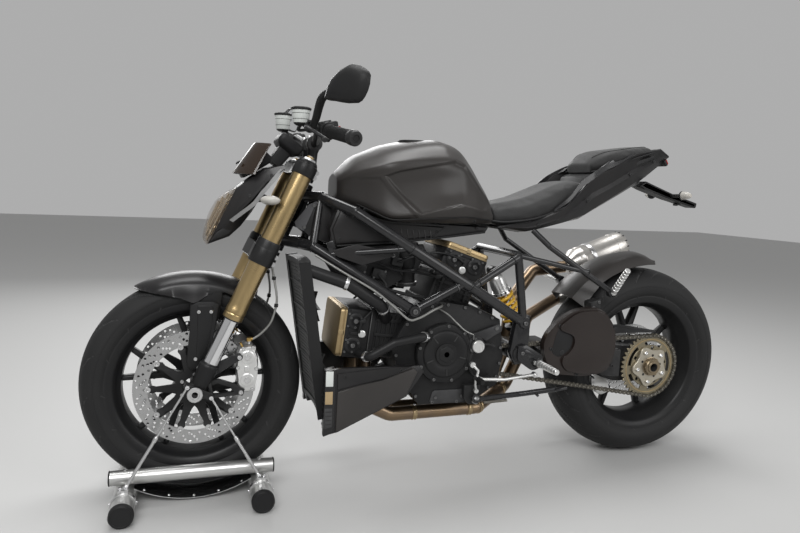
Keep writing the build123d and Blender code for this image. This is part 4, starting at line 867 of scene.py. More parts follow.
def makeRearDisc():
    bm = newBm()
    addPlate(bm, discLoops(rearDiscLook), (rearAxle.x, rearAxle.z), rearDiscLook["y"], rearDiscLook["thick"],
             0, 0.5)
    hub = []
    for a in fullTurn(60):
        reach = 90 - 22 * (0.5 - 0.5 * math.cos(6 * a))
        hub.append((reach * math.cos(a), reach * math.sin(a)))
    addPlate(bm, [hub, circleLoop(25.2, 40)], (rearAxle.x, rearAxle.z), 2.6, 8.0, 1, 0.8)
    for spot in aroundY(rearAxle, 76, 6, 8.5):
        addBolt(bm, spot, (0, 1, 0), 6, 4, 2)
    placePiece(bm, "rearDiscRing", "rear_wheel", ["discSteel", "blackMetal", "brightMetal"], ["rear_disc"])


makeFrontDiscs()
makeRearDisc()
print("rims and discs made")

# Display stand: dimensions follow the CAD
stand = {"base": 177.0, "crossZ": 31.0, "crossHalf": 196.0, "sideY": 88.0,
         "sideZ": 81.4, "sideHalf": 214.0, "rodY": 138.0, "clampY": 145.0}


def makeStand():
    bm = newBm()
    for end in (-1, 1):
        x = frontAxle.x + end * stand["base"]
        for side in (-1, 1):
            at = (x, side * stand["crossHalf"], stand["crossZ"])
            addLathe(bm, [(0, 12), (0, 29.0), (1.5, 31.0), (15, 31.0), (19, 28.0), (19.2, 25), (18.2, 24),
                          (18.2, 4)], at, (0, side, 0), 40)
        for side in (-1, 1):
            at = (frontAxle.x + end * stand["sideHalf"], side * stand["sideY"], stand["sideZ"])
            addLathe(bm, [(-3, 16), (-3, 18.6), (0, 18.8), (0.4, 20.4), (3, 20.4), (4, 19), (4, 2)], at,
                     (end, 0, 0), 36)
    placePiece(bm, "standCaps", "front_end", ["blackPlastic"], ["stand_end_caps"])
    bm = newBm()
    for side in (-1, 1):
        for end, topX, topZ in ((1, 768.5, 338.0), (-1, 707.5, 306.0)):
            foot = Vector((frontAxle.x + end * 172, side * stand["rodY"], 74))
            top = Vector((topX, side * stand["rodY"], topZ))
            middle = foot.lerp(top, 0.48)
            addTube(bm, [foot, middle], 4.4, 14)
            addTube(bm, [middle, top], 3.0, 12)
            along = (top - foot).normalized()
            addLathe(bm, [(-8, 3.2), (-8, 5.4), (-6, 5.8), (5, 5.8), (8, 4.2), (8, 3.0)], middle, along, 14)
            addLathe(bm, [(0, 3), (0, 7), (3, 8), (12, 6.0), (14, 4.4)], foot - along * 4, along, 14)
            clampX = frontAxle.x + end * stand["base"]
            arc = [(clampX + r * math.cos(a), stand["crossZ"] + r * math.sin(a))
                   for r, sweep in ((34.0, range(0, 13)), (30.2, range(12, -1, -1)))
                   for a in (math.pi * k / 12 for k in sweep)]
            addPlate(bm, [arc], (0, 0), side * stand["clampY"], 17, 0, 0.6)
            addBox(bm, (clampX, side * stand["clampY"], 69), (26, 17, 12), (0, 0, 0), 0, 1.6)
            for k in (-1, 1):
                addBolt(bm, (clampX + k * 8, side * stand["clampY"], 75), (0, 0, 1), 4.0, 5.0, 1)
                addBolt(bm, (clampX + k * 31.5, side * stand["clampY"], 36), (k, 0, 0.2), 3.4, 4.0, 1)
            addBolt(bm, (topX, side * (stand["rodY"] + 2), topZ), (0, side, 0), 6.0, 5.0, 1)
        outline = [(773.5, 345), (704.5, 315), (704.5, 299), (713.5, 297), (761.5, 319), (777.5, 335)]
        addPlate(bm, [outline, circleLoop(8.2, 24, (frontAxle.x, frontAxle.z))], (0, 0), side * 130.8, 6.0, 2,
                 0.8)
        addLathe(bm, [(0, 8.2), (0, 15), (4, 15), (5, 14), (5, 8.2)], frontAxle + Vector((0, side * 131, 0)),
                 (0, side, 0), 32, 1, ring=True)
    placePiece(bm, "standRods", "front_end", ["brightMetal", "chromeTube", "blackMetal"], ["stand_rods"])
    bm = newBm()
    for end in (-1, 1):
        x = frontAxle.x + end * stand["base"]
        for side in (-1, 1):
            addBolt(bm, (x, side * 70, 61.0), (0, 0, 1), 5.0, 2.5, 0)
            addBolt(bm, (x + end * 20, side * 70, 53.0), (end * 0.5, 0, 0.86), 5.0, 2.5, 0)
            addBolt(bm, (x, side * stand["sideY"], stand["sideZ"] + 20.0), (0, 0, 1), 4.6, 2.2, 0)
    for side in (-1, 1):
        for k in range(5):
            a = math.radians(270 + (k - 2) * 12.5)
            at = frontAxle + Vector((304.5 * math.cos(a), side * 84, 304.5 * math.sin(a)))
            addLathe(bm, [(0, 2), (0, 4.2), (1.4, 3.4), (1.8, 1)], at, (-math.cos(a), 0, -math.sin(a)), 12, 0)
    placePiece(bm, "standFixings", "front_end", ["brightMetal"])
    dress("stand_tubes", "standSteel")
    dress("stand_tray", "traySteel")


makeStand()
print("stand made")

# Fork: heights on a leg's centre line
fork = {"bottom": 322.0, "sliderLow": 340.0, "sliderTop": 534.0, "outerLow": 514.0, "outerTop": 948.0,
        "lowYoke": 665.0, "topYoke": 908.0, "topYokeEnd": 938.0}


def makeFork():
    bm = newBm()
    for side in (-1, 1):
        y = side * legSpread
        length = (fork["sliderTop"] - fork["sliderLow"]) / math.cos(rake)
        addLathe(bm, drum(0, length, 10, 21.5), legPoint(fork["sliderLow"], y), legAxis, 48)
    placePiece(bm, "forkSliders", "front_end", ["chromeTube"], ["fork_sliders"])
    bm = newBm()
    low = fork["outerLow"]

    def along(z):
        return (z - low) / math.cos(rake)

    for side in (-1, 1):
        y = side * legSpread
        gold = [(0, 21.7), (0, 26.0), (1.5, 27.8), (along(526), 28.2), (along(527), 27.2), (along(530), 26.8),
                (along(531), 28.2), (along(541), 28.2), (along(543), 27.4), (along(556), 27.0),
                (along(640), 27.0), (along(650), 27.6), (along(890), 27.6), (along(898), 27.0),
                (along(930), 27.0), (along(930), 21.7)]
        addLathe(bm, gold, legPoint(low, y), legAxis, 56, 0, ring=True)
        addLathe(bm, [(-3.2, 21.7), (-3.2, 24.6), (-1, 26.0), (0.2, 26.0), (0.2, 21.7)], legPoint(low, y),
                 legAxis, 48, 1, ring=True)
        cap = [(along(926), 20), (along(926), 27.6), (along(936), 28.2), (along(942), 28.0),
               (along(946), 25.5), (along(948), 24.0), (along(948), 20.0)]
        addLathe(bm, cap, legPoint(low, y), legAxis, 48, 1)
        top = legPoint(fork["outerTop"], y)
        addLathe(bm, [(-2, 4), (-2, 19.0), (1.5, 19.6), (5.0, 18.4), (6.2, 16.8), (6.2, 4)], top, legAxis, 6,
                 2)
        addLathe(bm, [(5, 3), (5, 10.5), (11.5, 10.5), (12.6, 9.2), (12.6, 5), (9, 4.6)], top, legAxis, 20, 3)
        addBolt(bm, top + legAxis * 9.0, legAxis, 4.4, 5.5, 2)
    placePiece(bm, "forkTubes", "front_end", ["goldFork", "blackMetal", "brightMetal", "goldCast"],
               ["fork_outer_tubes"])
    bm = newBm()
    for side in (-1, 1):
        y = side * legSpread
        cup = [(-6 / math.cos(rake), 8), (-6 / math.cos(rake), 19.5), (0, 22.5), (18, 23.2), (34, 24.6),
               (52, 26.2), (66, 27.0), (71, 26.8), (73.6, 25.4), (73.6, 21.7), (40, 21.6), (40, 8)]
        addLathe(bm, cup, legPoint(fork["bottom"], y), legAxis, 44)
        addLathe(bm, [(70, 21.6), (70, 24.6), (77, 24.2), (79, 23), (79, 21.6)], legPoint(fork["bottom"], y),
                 legAxis, 40, 1, ring=True)
        hub = [(84, 12.6), (84, 23), (86, 25), (119, 25), (121, 23.5), (121, 12.6)]
        addLathe(bm, [(a * side, r) for a, r in hub], frontAxle, (0, 1, 0), 40, 0, ring=True)
        lugs = [(741.5, 337), (741.5, 293), (690, 293), (625.5, 299), (617.5, 313), (650, 331), (687.5, 345)]
        hole = [(726, 321), (726, 305), (688, 304), (648, 308), (656, 320), (690, 333)]
        addPlate(bm, [lugs, hole], (0, 0), side * 97.0, 13.5, 0, 1.2)
        sideSlab(bm, [(727.5, 375), (719.5, 343), (625.5, 399), (631.5, 417)], side * 90.4, side * 103.6, 0,
                 2.0)
        for x, z in ((628, 306), (633, 405)):
            addBolt(bm, (x, side * 104, z), (0, side, 0), 6.5, 5.5, 2)
            addLathe(bm, [(89 * side, 3), (89 * side, 9), (104.4 * side, 9), (104.4 * side, 3)], (x, 0, z),
                     (0, 1, 0), 20)
        for z in (-9, 9):
            addBolt(bm, frontAxle + Vector((-23.5, side * 104, z)), (-1, 0, 0), 4.4, 5.0, 2)
        sideSlab(bm, [(716, 336), (708, 341), (700, 294), (709, 291)], side * 92, side * 118, 0, 2.0)
    placePiece(bm, "forkBottoms", "front_end", ["blackMetal", "hoseRubber", "brightMetal"], ["fork_bottoms"])
    bm = newBm()
    ring = [(-127, 8.2), (-127, 13.6), (-125.5, 14.6), (-121.5, 14.6), (-121, 12.4), (121, 12.4),
            (121.5, 14.6), (125.5, 14.6), (127, 13.6), (127, 8.2)]
    addLathe(bm, ring, frontAxle, (0, 1, 0), 48, 0, ring=True)
    for side in (-1, 1):
        addLathe(bm, [(136.4 * side, 8.4), (136.4 * side, 20.6), (138.4 * side, 20.6), (140.2 * side, 18.8),
                      (140.2 * side, 12.6), (138.6 * side, 11.6), (138.6 * side, 8.4)], frontAxle, (0, 1, 0),
                 48, 0, ring=True)
        addLathe(bm, [(118 * side, 2.2), (118 * side, 8.0), (121 * side, 8.0), (121 * side, 2.2)], frontAxle,
                 (0, 1, 0), 6, 1)
    placePiece(bm, "frontAxleTube", "front_end", ["brightMetal", "blackMetal"], ["front_axle"])


def yokePlate(bm, zLow, thick, ringR, bossR, web):
    # a triple clamp with rounded outline, pinch bolts and a waist towards the steering axis
    base = legPoint(zLow, 0)
    across, back = Vector((0, 1, 0)), -legForward
    outline = []
    for side in (1, -1):
        arc = range(-8, 9) if side == 1 else range(8, -9, -1)
        for k in arc:
            a = math.radians(k * 12.5)
            outline.append((side * (legSpread + ringR * math.cos(a)), ringR * math.sin(a)))
        if side == 1:
            for k in range(0, 9):
                a = math.radians(30 + k * 15)
                outline.append((bossR * math.cos(a), yokeOffset + bossR * math.sin(a)))
        else:
            outline.append((-40, -web))
            outline.append((40, -web))
    low = [base + across * u + back * v for u, v in outline]
    high = [p + legAxis * thick for p in low]
    addPrism(bm, low, high, 0, 2.6, 2)
    for side in (-1, 1):
        for k in (0.28, 0.72):
            at = base + across * (side * (legSpread - 6)) + back * (ringR + 1.5) + legAxis * (thick * k)
            addLathe(bm, [(-8, 2), (-8, 6.6), (3, 6.6), (4, 5.8), (4, 3.4), (1, 3.2)], at, across * -side, 16,
                     1)


def makeYokes():
    bm = newBm()
    yokePlate(bm, fork["lowYoke"], 46.2, 33.6, 30, 20)
    for side in (-1, 1):
        addLathe(bm, [(0, 27.2), (0, 31.6), (3, 32.6), (64, 32.6), (69, 30.8), (69, 27.2)],
                 legPoint(fork["lowYoke"], side * legSpread), legAxis, 48, 0, ring=True)
    addLathe(bm, drum(44, 250, 2, 15), legPoint(fork["lowYoke"], 0, -yokeOffset), legAxis, 32)
    placePiece(bm, "lowerYoke", "front_end", ["blackMetal", "brightMetal"], ["lower_yoke"])
    bm = newBm()
    yokePlate(bm, fork["topYoke"], 32.9, 32.0, 26, 18)
    stemTop = legPoint(fork["topYokeEnd"], 0, -yokeOffset)
    addLathe(bm, [(-1, 4), (-1, 23), (3, 23), (4.5, 21.5), (4.5, 4)], stemTop, legAxis, 40, 1)
    addLathe(bm, [(4, 4), (4, 17), (12, 17), (14, 15.4), (14, 8), (9, 7)], stemTop, legAxis, 6, 1)
    placePiece(bm, "upperYoke", "front_end", ["blackMetal", "brightMetal"], ["upper_yoke"])


makeFork()
makeYokes()
print("fork made")

# Handlebar and what it carries, on the left; side flips Y
bar = {"points": [(432, 0, 1000), (432, 62, 1000), (447, 190, 1030), (404, 378, 998)], "r": 11.0}
gripStart = Vector((432.38, 253.92, 1019.12))
gripEnd = Vector((404, 378, 998))
gripAlong = (gripEnd - gripStart).normalized()


def flip(point, side):
    return Vector((point[0], side * point[1], point[2]))


def roundCorners(points, radius, steps=7):
    # a polyline whose corners are replaced with arcs
    pts = [Vector(p) for p in points]
    line = [pts[0]]
    for before, corner, after in zip(pts, pts[1:], pts[2:]):
        inward, outward = (before - corner).normalized(), (after - corner).normalized()
        angle = inward.angle(outward)
        trim = min(radius / math.tan(angle / 2), 0.48 * (before - corner).length,
                   0.48 * (after - corner).length)
        start, end = corner + inward * trim, corner + outward * trim
        for k in range(steps + 1):
            t = k / steps
            line.append(start * (1 - t) ** 2 + corner * (2 * t * (1 - t)) + end * t ** 2)
    return line + [pts[-1]]


def makeBar():
    bm = newBm()
    left = [Vector(p) for p in bar["points"]]
    route = mirrored(left[1:]) + left[1:]
    addTube(bm, roundCorners(route, 60), bar["r"], 24)
    for side in (-1, 1):
        low = legPoint(fork["topYokeEnd"], side * 42, 4 - yokeOffset)
        top = Vector((432, side * 42, 1000))
        axis = (top - low).normalized()
        span = (top - low).length
        addLathe(bm, [(0, 3), (0, 18), (4, 18), (9, 15), (span - 26, 14), (span - 16, 17), (span - 12, 17),
                      (span - 12, 3)], low, axis, 32)
        addLathe(bm, [(-14, 11.2), (-14, 21), (-12, 22), (12, 22), (14, 21), (14, 11.2)], top, (0, 1, 0), 36,
                 0, ring=True)
        for k in (-1, 1):
            for j in (-8, 8):
                addBolt(bm, top + Vector((k * 16, j, 14)), axis, 4.2, 7.0, 1)
    placePiece(bm, "handlebarTube", "front_end", ["blackMetal", "brightMetal"], ["handlebar"])
    bm = newBm()
    for side in (-1, 1):
        start, along = flip(gripStart, side), flip(gripAlong, side)
        length = (gripEnd - gripStart).length
        ribs = [(0, 11.4), (0, 18.5), (3, 19.2), (6, 17)]
        count = 26
        for k in range(count):
            s = 8 + (length - 14) * k / count
            step = (length - 14) / count
            ribs += [(s, 15.6), (s + step * 0.3, 15.6), (s + step * 0.4, 16.6), (s + step * 0.9, 16.6)]
        ribs += [(length - 5, 16.4), (length - 4, 18.4), (length - 1, 18.2), (length, 11.4)]
        addLathe(bm, ribs, start, along, 36, 0, ring=True)
        addLathe(bm, [(length, 4), (length, 18.4), (length + 3, 19), (length + 17, 19), (length + 22, 16.5),
                      (length + 22.5, 9), (length + 20.5, 8), (length + 20.5, 3)], start, along, 32, 1)
    placePiece(bm, "handGrips", "front_end", ["gripRubber", "blackMetal"], ["hand_grips"], sharp=50)


def makeControls():
    bm = newBm()
    for side in (-1, 1):
        start, along = flip(gripStart, side), flip(gripAlong, side)
        addLathe(bm, [(-44, 11.2), (-44, 19), (-42, 21), (-24, 21.5), (-22, 22.8), (-3, 22.8), (-1, 21),
                      (-1, 11.2)], start, along, 36, 0, ring=True)
        at = start - along * 22
        inner = Vector((at.x + 30, at.y - side * 50, at.z + 8))
        outer = Vector((at.x + 44, at.y + side * 12, at.z + 4))
        axis = (outer - inner).normalized()
        span = (outer - inner).length
        addLathe(bm, [(0, 4), (0, 11.5), (3, 13), (20, 13), (22, 12), (span - 16, 12), (span - 12, 14.5),
                      (span - 2, 14.5), (span, 12), (span, 4)], inner, axis, 28, 0)
        addTube(bm, [at, at + Vector((34, 0, 5))], (10.5, 8.5), 18)
        addBox(bm, at + Vector((0, side * 2, 0)), (34, 20, 46), (0, 14, 0), 0, 3)
        for z in (-15, 15):
            addBolt(bm, at + Vector((-15, 0, z)), (-1, 0, 0), 3.6, 5.0, 1)
        body = start - along * 6
        addBox(bm, body + Vector((-6, -side * 6, 2)), (42, 22, 44), (0, 12, side * 14), 0, 5)
        addBox(bm, body + Vector((-27, -side * 4, 10)), (8, 10, 9), (0, 12, side * 14), 2, 2)
        addBox(bm, body + Vector((-28, -side * 6, -8)), (8, 12, 12), (0, 12, side * 14), 3, 2.5)
        leverRoute = [outer + Vector((-4, side * 2, -1)), outer + Vector((10, side * 22, -3)),
                      outer + Vector((12, side * 54, -7)),
                      Vector((gripEnd.x + 50, side * (gripEnd.y - 44), gripEnd.z - 6)),
                      Vector((gripEnd.x + 62, side * (gripEnd.y - 14), gripEnd.z - 8))]
        addTube(bm, leverRoute, (7.0, 5.0), 16, 1, True, 0.72)
        tip = Vector(leverRoute[-1])
        addLathe(bm, [(-6, 2), (-5, 5.6), (0, 7.2), (5, 5.6), (6, 2)], tip, along, 18, 1)
        addBolt(bm, outer + Vector((2, side * 4, 12)), (0, 0, 1), 5.4, 5.0, 1)
        addLathe(bm, [(-6, 2), (-6, 7.4), (4, 7.4), (6, 5.6), (6, 2)], inner - axis * 2, axis, 18, 1)
    placePiece(bm, "handControls", "front_end", ["castBlack", "blackMetal", "redLamp", "tanInsert"],
               ["hand_controls"])
    bm = newBm()
    for x, y, z, radius, height in ((494, 186, 1040, 24, 34), (489, -196, 1052, 25, 44)):
        sign = 1 if y > 0 else -1
        r = radius
        addLathe(bm, [(0, 3), (0, r * 0.76), (2, r * 0.83), (height - 1, r * 0.985), (height - 1, 3)],
                 (x, y, z), (0, 0, 1), 40, 0)
        addLathe(bm, [(height - 1, 3), (height - 1, r + 0.8), (height, r + 1.8), (height + 4.5, r + 1.8),
                      (height + 6.6, r - 1), (height + 6.8, 3)], (x, y, z), (0, 0, 1), 40, 1)
        for a in fullTurn(16):
            addTube(bm, [(x + (r + 1.7) * math.cos(a), y + (r + 1.7) * math.sin(a), z + height + 0.4),
                         (x + (r + 1.7) * math.cos(a), y + (r + 1.7) * math.sin(a), z + height + 5.2)], 0.9,
                    6, 1)
        addLathe(bm, [(-6, 3), (-6, r * 0.5), (-2, r * 0.74), (1, r * 0.8), (1, 3)], (x, y, z), (0, 0, 1), 32,
                 1)
        addTube(bm, [(x - 4, y, z + 1), (x - 14, y + sign * 4, z - 8), (466, y + sign * 6, 1030)], (6.0, 5.0),
                14, 1, True)
        addTube(bm, [(x, y - sign * 6, z - 4), (x + 2, y - sign * 20, z - 16), (470, sign * 196, 1026)], 4.2,
                12, 2, True)
        for h in (0.3, 0.72):
            addLathe(bm, [(height * h - 0.5, r * (0.83 + 0.155 * h) - 0.4),
                          (height * h - 0.5, r * (0.83 + 0.155 * h) + 0.35),
                          (height * h + 0.5, r * (0.84 + 0.155 * h) + 0.35),
                          (height * h + 0.5, r * (0.83 + 0.155 * h) - 0.4)], (x, y, z), (0, 0, 1), 40, 1,
                     ring=True)
    placePiece(bm, "fluidCups", "front_end", ["whiteCup", "blackPlastic", "hoseRubber"], ["fluid_reservoirs"])


mirrorOutline = ((-60, 31), (-49, 5), (-36, -11), (-18, -21), (-4, -28), (26, -35), (44, -30), (58, -22),
                 (70, -13),
                 (75, -4), (72, 14), (66, 28), (57, 40), (49, 47), (38, 51), (8, 48), (-14, 43), (-32, 38),
                 (-48, 35))
mirrorArm = ((475, 248, 1027), (471, 272, 1046), (470, 300, 1070), (468, 326, 1088), (460, 352, 1098),
             (446, 392, 1104))


def makeMirrors():
    bm = newBm()
    for side in (-1, 1):
        centre = Vector((432, side * 425, 1115))
        across = Vector((-0.55, side * 0.83, 0.08)).normalized()
        out = Vector((-0.83, -side * 0.55, 0)).normalized()
        down = out.cross(across) * side
        rings = []
        for depth, grow in ((0.0, 0.90), (-0.5, 0.96), (-3, 1.0), (-9, 0.99), (-17, 0.92), (-23, 0.76),
                            (-26, 0.5)):
            rings.append([centre + across * (8 + (u - 8) * grow) + down * (8 + (v - 8) * grow) + out * depth
                          for u, v in mirrorOutline])
        addRings(bm, rings, 0, caps=(False, True))
        glass = [centre + across * (8 + (u - 8) * 0.9) + down * (8 + (v - 8) * 0.9) + out * -1.0 for u,
                 v in mirrorOutline]
        addRings(bm, [rings[0], glass], 0, caps=(False, False))
        face = bm.faces.new([bm.verts.new(p) for p in glass])
        face.material_index = 1
        route = [flip(p, side) for p in mirrorArm]
        addTube(bm, route, (9.5, 12.5), 20, 0, True, 0.78)
        addLathe(bm, [(-6, 3), (-6, 9), (-1, 9), (0, 7), (8, 7), (8, 3)], route[0], route[1] - route[0], 6, 2)
    placePiece(bm, "mirrorHousings", "front_end", ["blackPlastic", "mirrorGlass", "chromeTube"], ["mirrors"],
               sharp=45)


makeBar()
makeControls()
makeMirrors()
print("bars, controls and mirrors made")

# Headlight: sections as X, low and high Z, half width at the crease and at the top
noseRows = ((722, 706, 742, 26, 18), (650, 738, 862, 84, 50), (604, 802, 898, 106, 72),
            (570, 860, 922, 107, 80),
            (521, 914, 934, 104, 90))
# Where the cowl meets the glass, as an X for each point of the half ring from below to the top
noseBorder = (722, 719, 710, 704, 698, 648, 644, 648)
# Front contour of the glass as Z and X
glassFront = ((700, 735), (723, 734), (749, 728), (794, 716), (827, 698), (858, 675), (867, 656), (900, 640))


def noseRing(x):
    for a, b in zip(noseRows, noseRows[1:]):
        if b[0] <= x <= a[0]:
            t = (a[0] - x) / (a[0] - b[0])
            low, high, wide, top = (p + (q - p) * t for p, q in zip(a[1:], b[1:]))
            break
    middle = low + (high - low) * 0.4
    half = [(0, low), (wide * 0.6, low), (wide * 0.86, low + (middle - low) * 0.6), (wide, middle),
            (wide * 0.97 + top * 0.03, middle + (high - middle) * 0.2),
            (top * 1.02, high - (high - middle) * 0.06), (top * 0.9, high), (0, high + 3)]
    half = [Vector((x, y, z)) for y, z in half]
    return half + mirrored(half[1:-1])


def borderRing(share):
    # the ring along the glass, moved back towards X = 604 by a share
    half = [noseRing(x + (604 - x) * share)[i] for i, x in enumerate(noseBorder)]
    return half + mirrored(half[1:-1])


def frontAt(z):
    for (z0, x0), (z1, x1) in zip(glassFront, glassFront[1:]):
        if z <= z1:
            return x0 + (x1 - x0) * (z - z0) / (z1 - z0)
    return glassFront[-1][1]


def domeRing(r, inset=0.0):
    # the glass: the border ring drawn in by r and pushed out to the front contour
    ring = []
    for p in borderRing(0):
        z = 790 + (p.z - 790) * r
        ring.append(Vector((frontAt(z) - (frontAt(z) - p.x) * r ** 6 - inset, p.y * r, z)))
    return ring


def makeNose():
    bm = newBm()
    rings = [borderRing(k / 4) for k in range(5)] + [
            noseRing(590), noseRing(570), noseRing(546), noseRing(521)]
    addRings(bm, rings, 0, caps=(True, True))
    for side in (-1, 1):
        # bright moulding that follows the rear edge of the side panel
        edge = [(524, 102, 921), (540, 104, 902), (560, 106.5, 876), (576, 107.5, 857), (592, 108, 834),
                (606, 108, 820), (630, 100, 800), (655, 86, 778)]
        lower = [(p.x + 9, p.y, p.z + 2) for p in curvePoints(edge, 5)]
        upper = [(p.x - 1, p.y, p.z - 3) for p in curvePoints(edge, 5)]
        rings = []
        for (x0, y0, z0), (x1, y1, z1) in zip(upper, lower):
            rings.append([Vector((x0, side * (y0 - 3), z0)), Vector((x0, side * (y0 + 1.8), z0)),
                          Vector((x1, side * (y1 + 1.8), z1)), Vector((x1, side * (y1 - 3), z1))])
        addRings(bm, rings, 1)
        for x, y, z in ((556, 103, 904), (612, 100, 846)):
            addBolt(bm, (x, side * y, z), (0.1, side, 0.3), 4.6, 2.6, 2)
        sideSlab(bm, [(606, 812), (700, 742), (712, 718), (664, 738), (606, 796)], side * 30, side * 58, 2,
                 3.0, 0.1)
    placePiece(bm, "headlightCowl", "front_end", ["satinPaint", "satinSilver", "blackPlastic"],
               ["headlight_shell"], sharp=28)
    bm = newBm()
    addRings(bm, [domeRing(r) for r in (1, 0.96, 0.91, 0.85, 0.76, 0.64, 0.48, 0.3, 0.12)], 0,
             caps=(False, True))
    placePiece(bm, "headlightGlass", "front_end", ["lampGlass"], ["headlight_lens"], sharp=28)
    bm = newBm()
    for y, z, r in ((0, 800, 36), (0, 752, 24), (28, 838, 13), (-28, 838, 13), (34, 772, 10), (-34, 772, 10)):
        at = Vector((724 - (z - 706) * 0.46 - abs(y) * 0.2, y, z))
        bowl = [(0, r), (-3, r * 0.93), (-r * 0.32, r * 0.72), (-r * 0.46, r * 0.4), (-r * 0.5, r * 0.1)]
        addLathe(bm, [(2.4, r + 2.2), (2.4, r), *bowl, (-r * 0.6, r * 0.1), (-2, r + 2.2)], at, (1, 0, 0.46),
                 36, 0)
        addLathe(bm, [(-r * 0.45, 1), (-r * 0.42, r * 0.26), (-r * 0.1, r * 0.22), (r * 0.02, 0.6)], at,
                 (1, 0, 0.46), 20, 1)
    for side in (-1, 1):
        # bright ribs of the lamp's inner frame
        for r, low, high in ((0.86, 1, 6), (0.7, 1, 6), (0.54, 2, 6)):
            ring = [Vector((v.x, side * v.y, v.z)) for v in domeRing(r, 9)[low:high]]
            addTube(bm, ring, 2.6, 10, 0, True)
    placePiece(bm, "headlightBowls", "front_end", ["reflector", "whiteCup"])
    bm = newBm()
    rings = []
    for v, half in ((0, 62), (10, 64.5), (52, 73), (94, 82), (104, 84)):
        base = Vector((589 + 0.56 * v, 0, 991 - 0.83 * v))
        out = Vector((0.83, 0, 0.56))
        rim = 1.0 if v in (0, 104) else 0.0
        wrap = 34 + 14 * v / 104
        row = [base + Vector((-wrap * abs(y) ** 2.2, y * half, 0)) + out * (2.0 + 5.0 * (1 - y * y) - rim)
               for y in [k / 10 - 1 for k in range(21)]]
        back = [p - out * 3.4 for p in reversed(row)]
        rings.append(row + back)
    addRings(bm, rings)
    sideSlab(bm, [(632, 905), (626, 894), (596, 910), (552, 940), (545, 952), (566, 972), (574, 974)], -40,
             40, 1, 3.0)
    for side in (-1, 1):
        addBolt(bm, (636, side * 34, 936), (0.83, 0, 0.56), 5.0, 4.0, 1)
    placePiece(bm, "flyScreen", "front_end", ["smokedScreen", "blackPlastic"], ["flyscreen"], sharp=45)
    bm = newBm()
    base = Vector((505, 0, 985))
    up = Vector((-0.6, 0, 0.8))
    along = Vector((0.8, 0, 0.6))

    def dashLoop(halfY, halfV, lift, corner):
        loop = []
        for cy, cv, start in ((1, 1, 0), (-1, 1, 90), (-1, -1, 180), (1, -1, 270)):
            for k in range(5):
                a = math.radians(start + k * 22.5)
                loop.append(base + Vector((0, cy * (halfY - corner) + corner * math.cos(a), 0))
                            + along * (cv * (halfV - corner) + corner * math.sin(a)) + up * lift)
        return loop

    addRings(bm, [dashLoop(40, 18, -60, 6), dashLoop(42, 20, -12, 6), dashLoop(60, 34, -4, 10),
                  dashLoop(64, 37, 2, 12), dashLoop(64, 37, 20, 12), dashLoop(61, 34, 25, 11)], 0,
             caps=(True, False))
    addRings(bm, [dashLoop(61, 34, 25, 11), dashLoop(57, 30, 24, 9)], 0, caps=(False, False))
    screen = bm.faces.new([bm.verts.new(p) for p in dashLoop(57, 30, 24, 9)])
    screen.material_index = 1
    for k in range(5):
        addLathe(bm, [(24, 1.5), (24, 3.0), (25.4, 2.4), (25.6, 0.6)],
                 base + Vector((0, -44 + k * 22, 0)) + along * 26, up, 12, 2 if k % 2 else 3)
    placePiece(bm, "dashUnit", "front_end", ["blackPlastic", "lampGlass", "redLamp", "whiteCup"],
               ["instrument"])


def makeSignals():
    bm = newBm()
    for side in (-1, 1):
        stalk, tip = Vector((566, side * 96, 838)), Vector((556, side * 158, 838))
        addTube(bm, [(604, side * 70, 846), (580, side * 84, 841), stalk.lerp(tip, 0.1),
                     stalk.lerp(tip, 0.5)], (8, 6), 16, 1, True)
        axis = (tip - stalk).normalized()
        start = stalk.lerp(tip, 0.42)
        span = (tip - start).length
        rings = []
        for t, a, b in ((0.0, 10, 7), (0.04, 21, 11), (0.12, 26, 13), (0.4, 25, 12.4), (0.7, 21, 10.4),
                        (0.88, 17, 8), (0.97, 11, 5), (1.0, 4, 2)):
            spot = start + axis * (span * t)
            rings.append([spot + Vector((math.cos(q) * a, 0, math.sin(q) * b)) for q in
                          (2 * math.pi * i / 28 for i in range(28))])
        addRings(bm, rings[:3], 1, caps=(True, False))
        addRings(bm, rings[2:], 0, caps=(False, True))
    placePiece(bm, "frontSignalLamps", "front_end", ["clearLamp", "blackPlastic"], ["front_signals"],
               sharp=45)


fenderRows = {"start": 57.0, "end": 120.0, "section": (
        (0, 317), (16, 315.5), (32, 312), (46, 305.6), (58, 298), (65, 291),
                                                       (69, 284), (70, 262), (71, 238))}
# Lower edge of the skirt along the arc: degrees from the rear end, and the radius where it stops
fenderSkirt = ((0, 296), (8, 286), (13, 275), (17, 277), (22, 271), (27, 257), (31, 243), (34, 238),
               (37, 243), (41, 252), (46, 261),
               (51, 273), (56, 287), (60, 300), (63, 314))


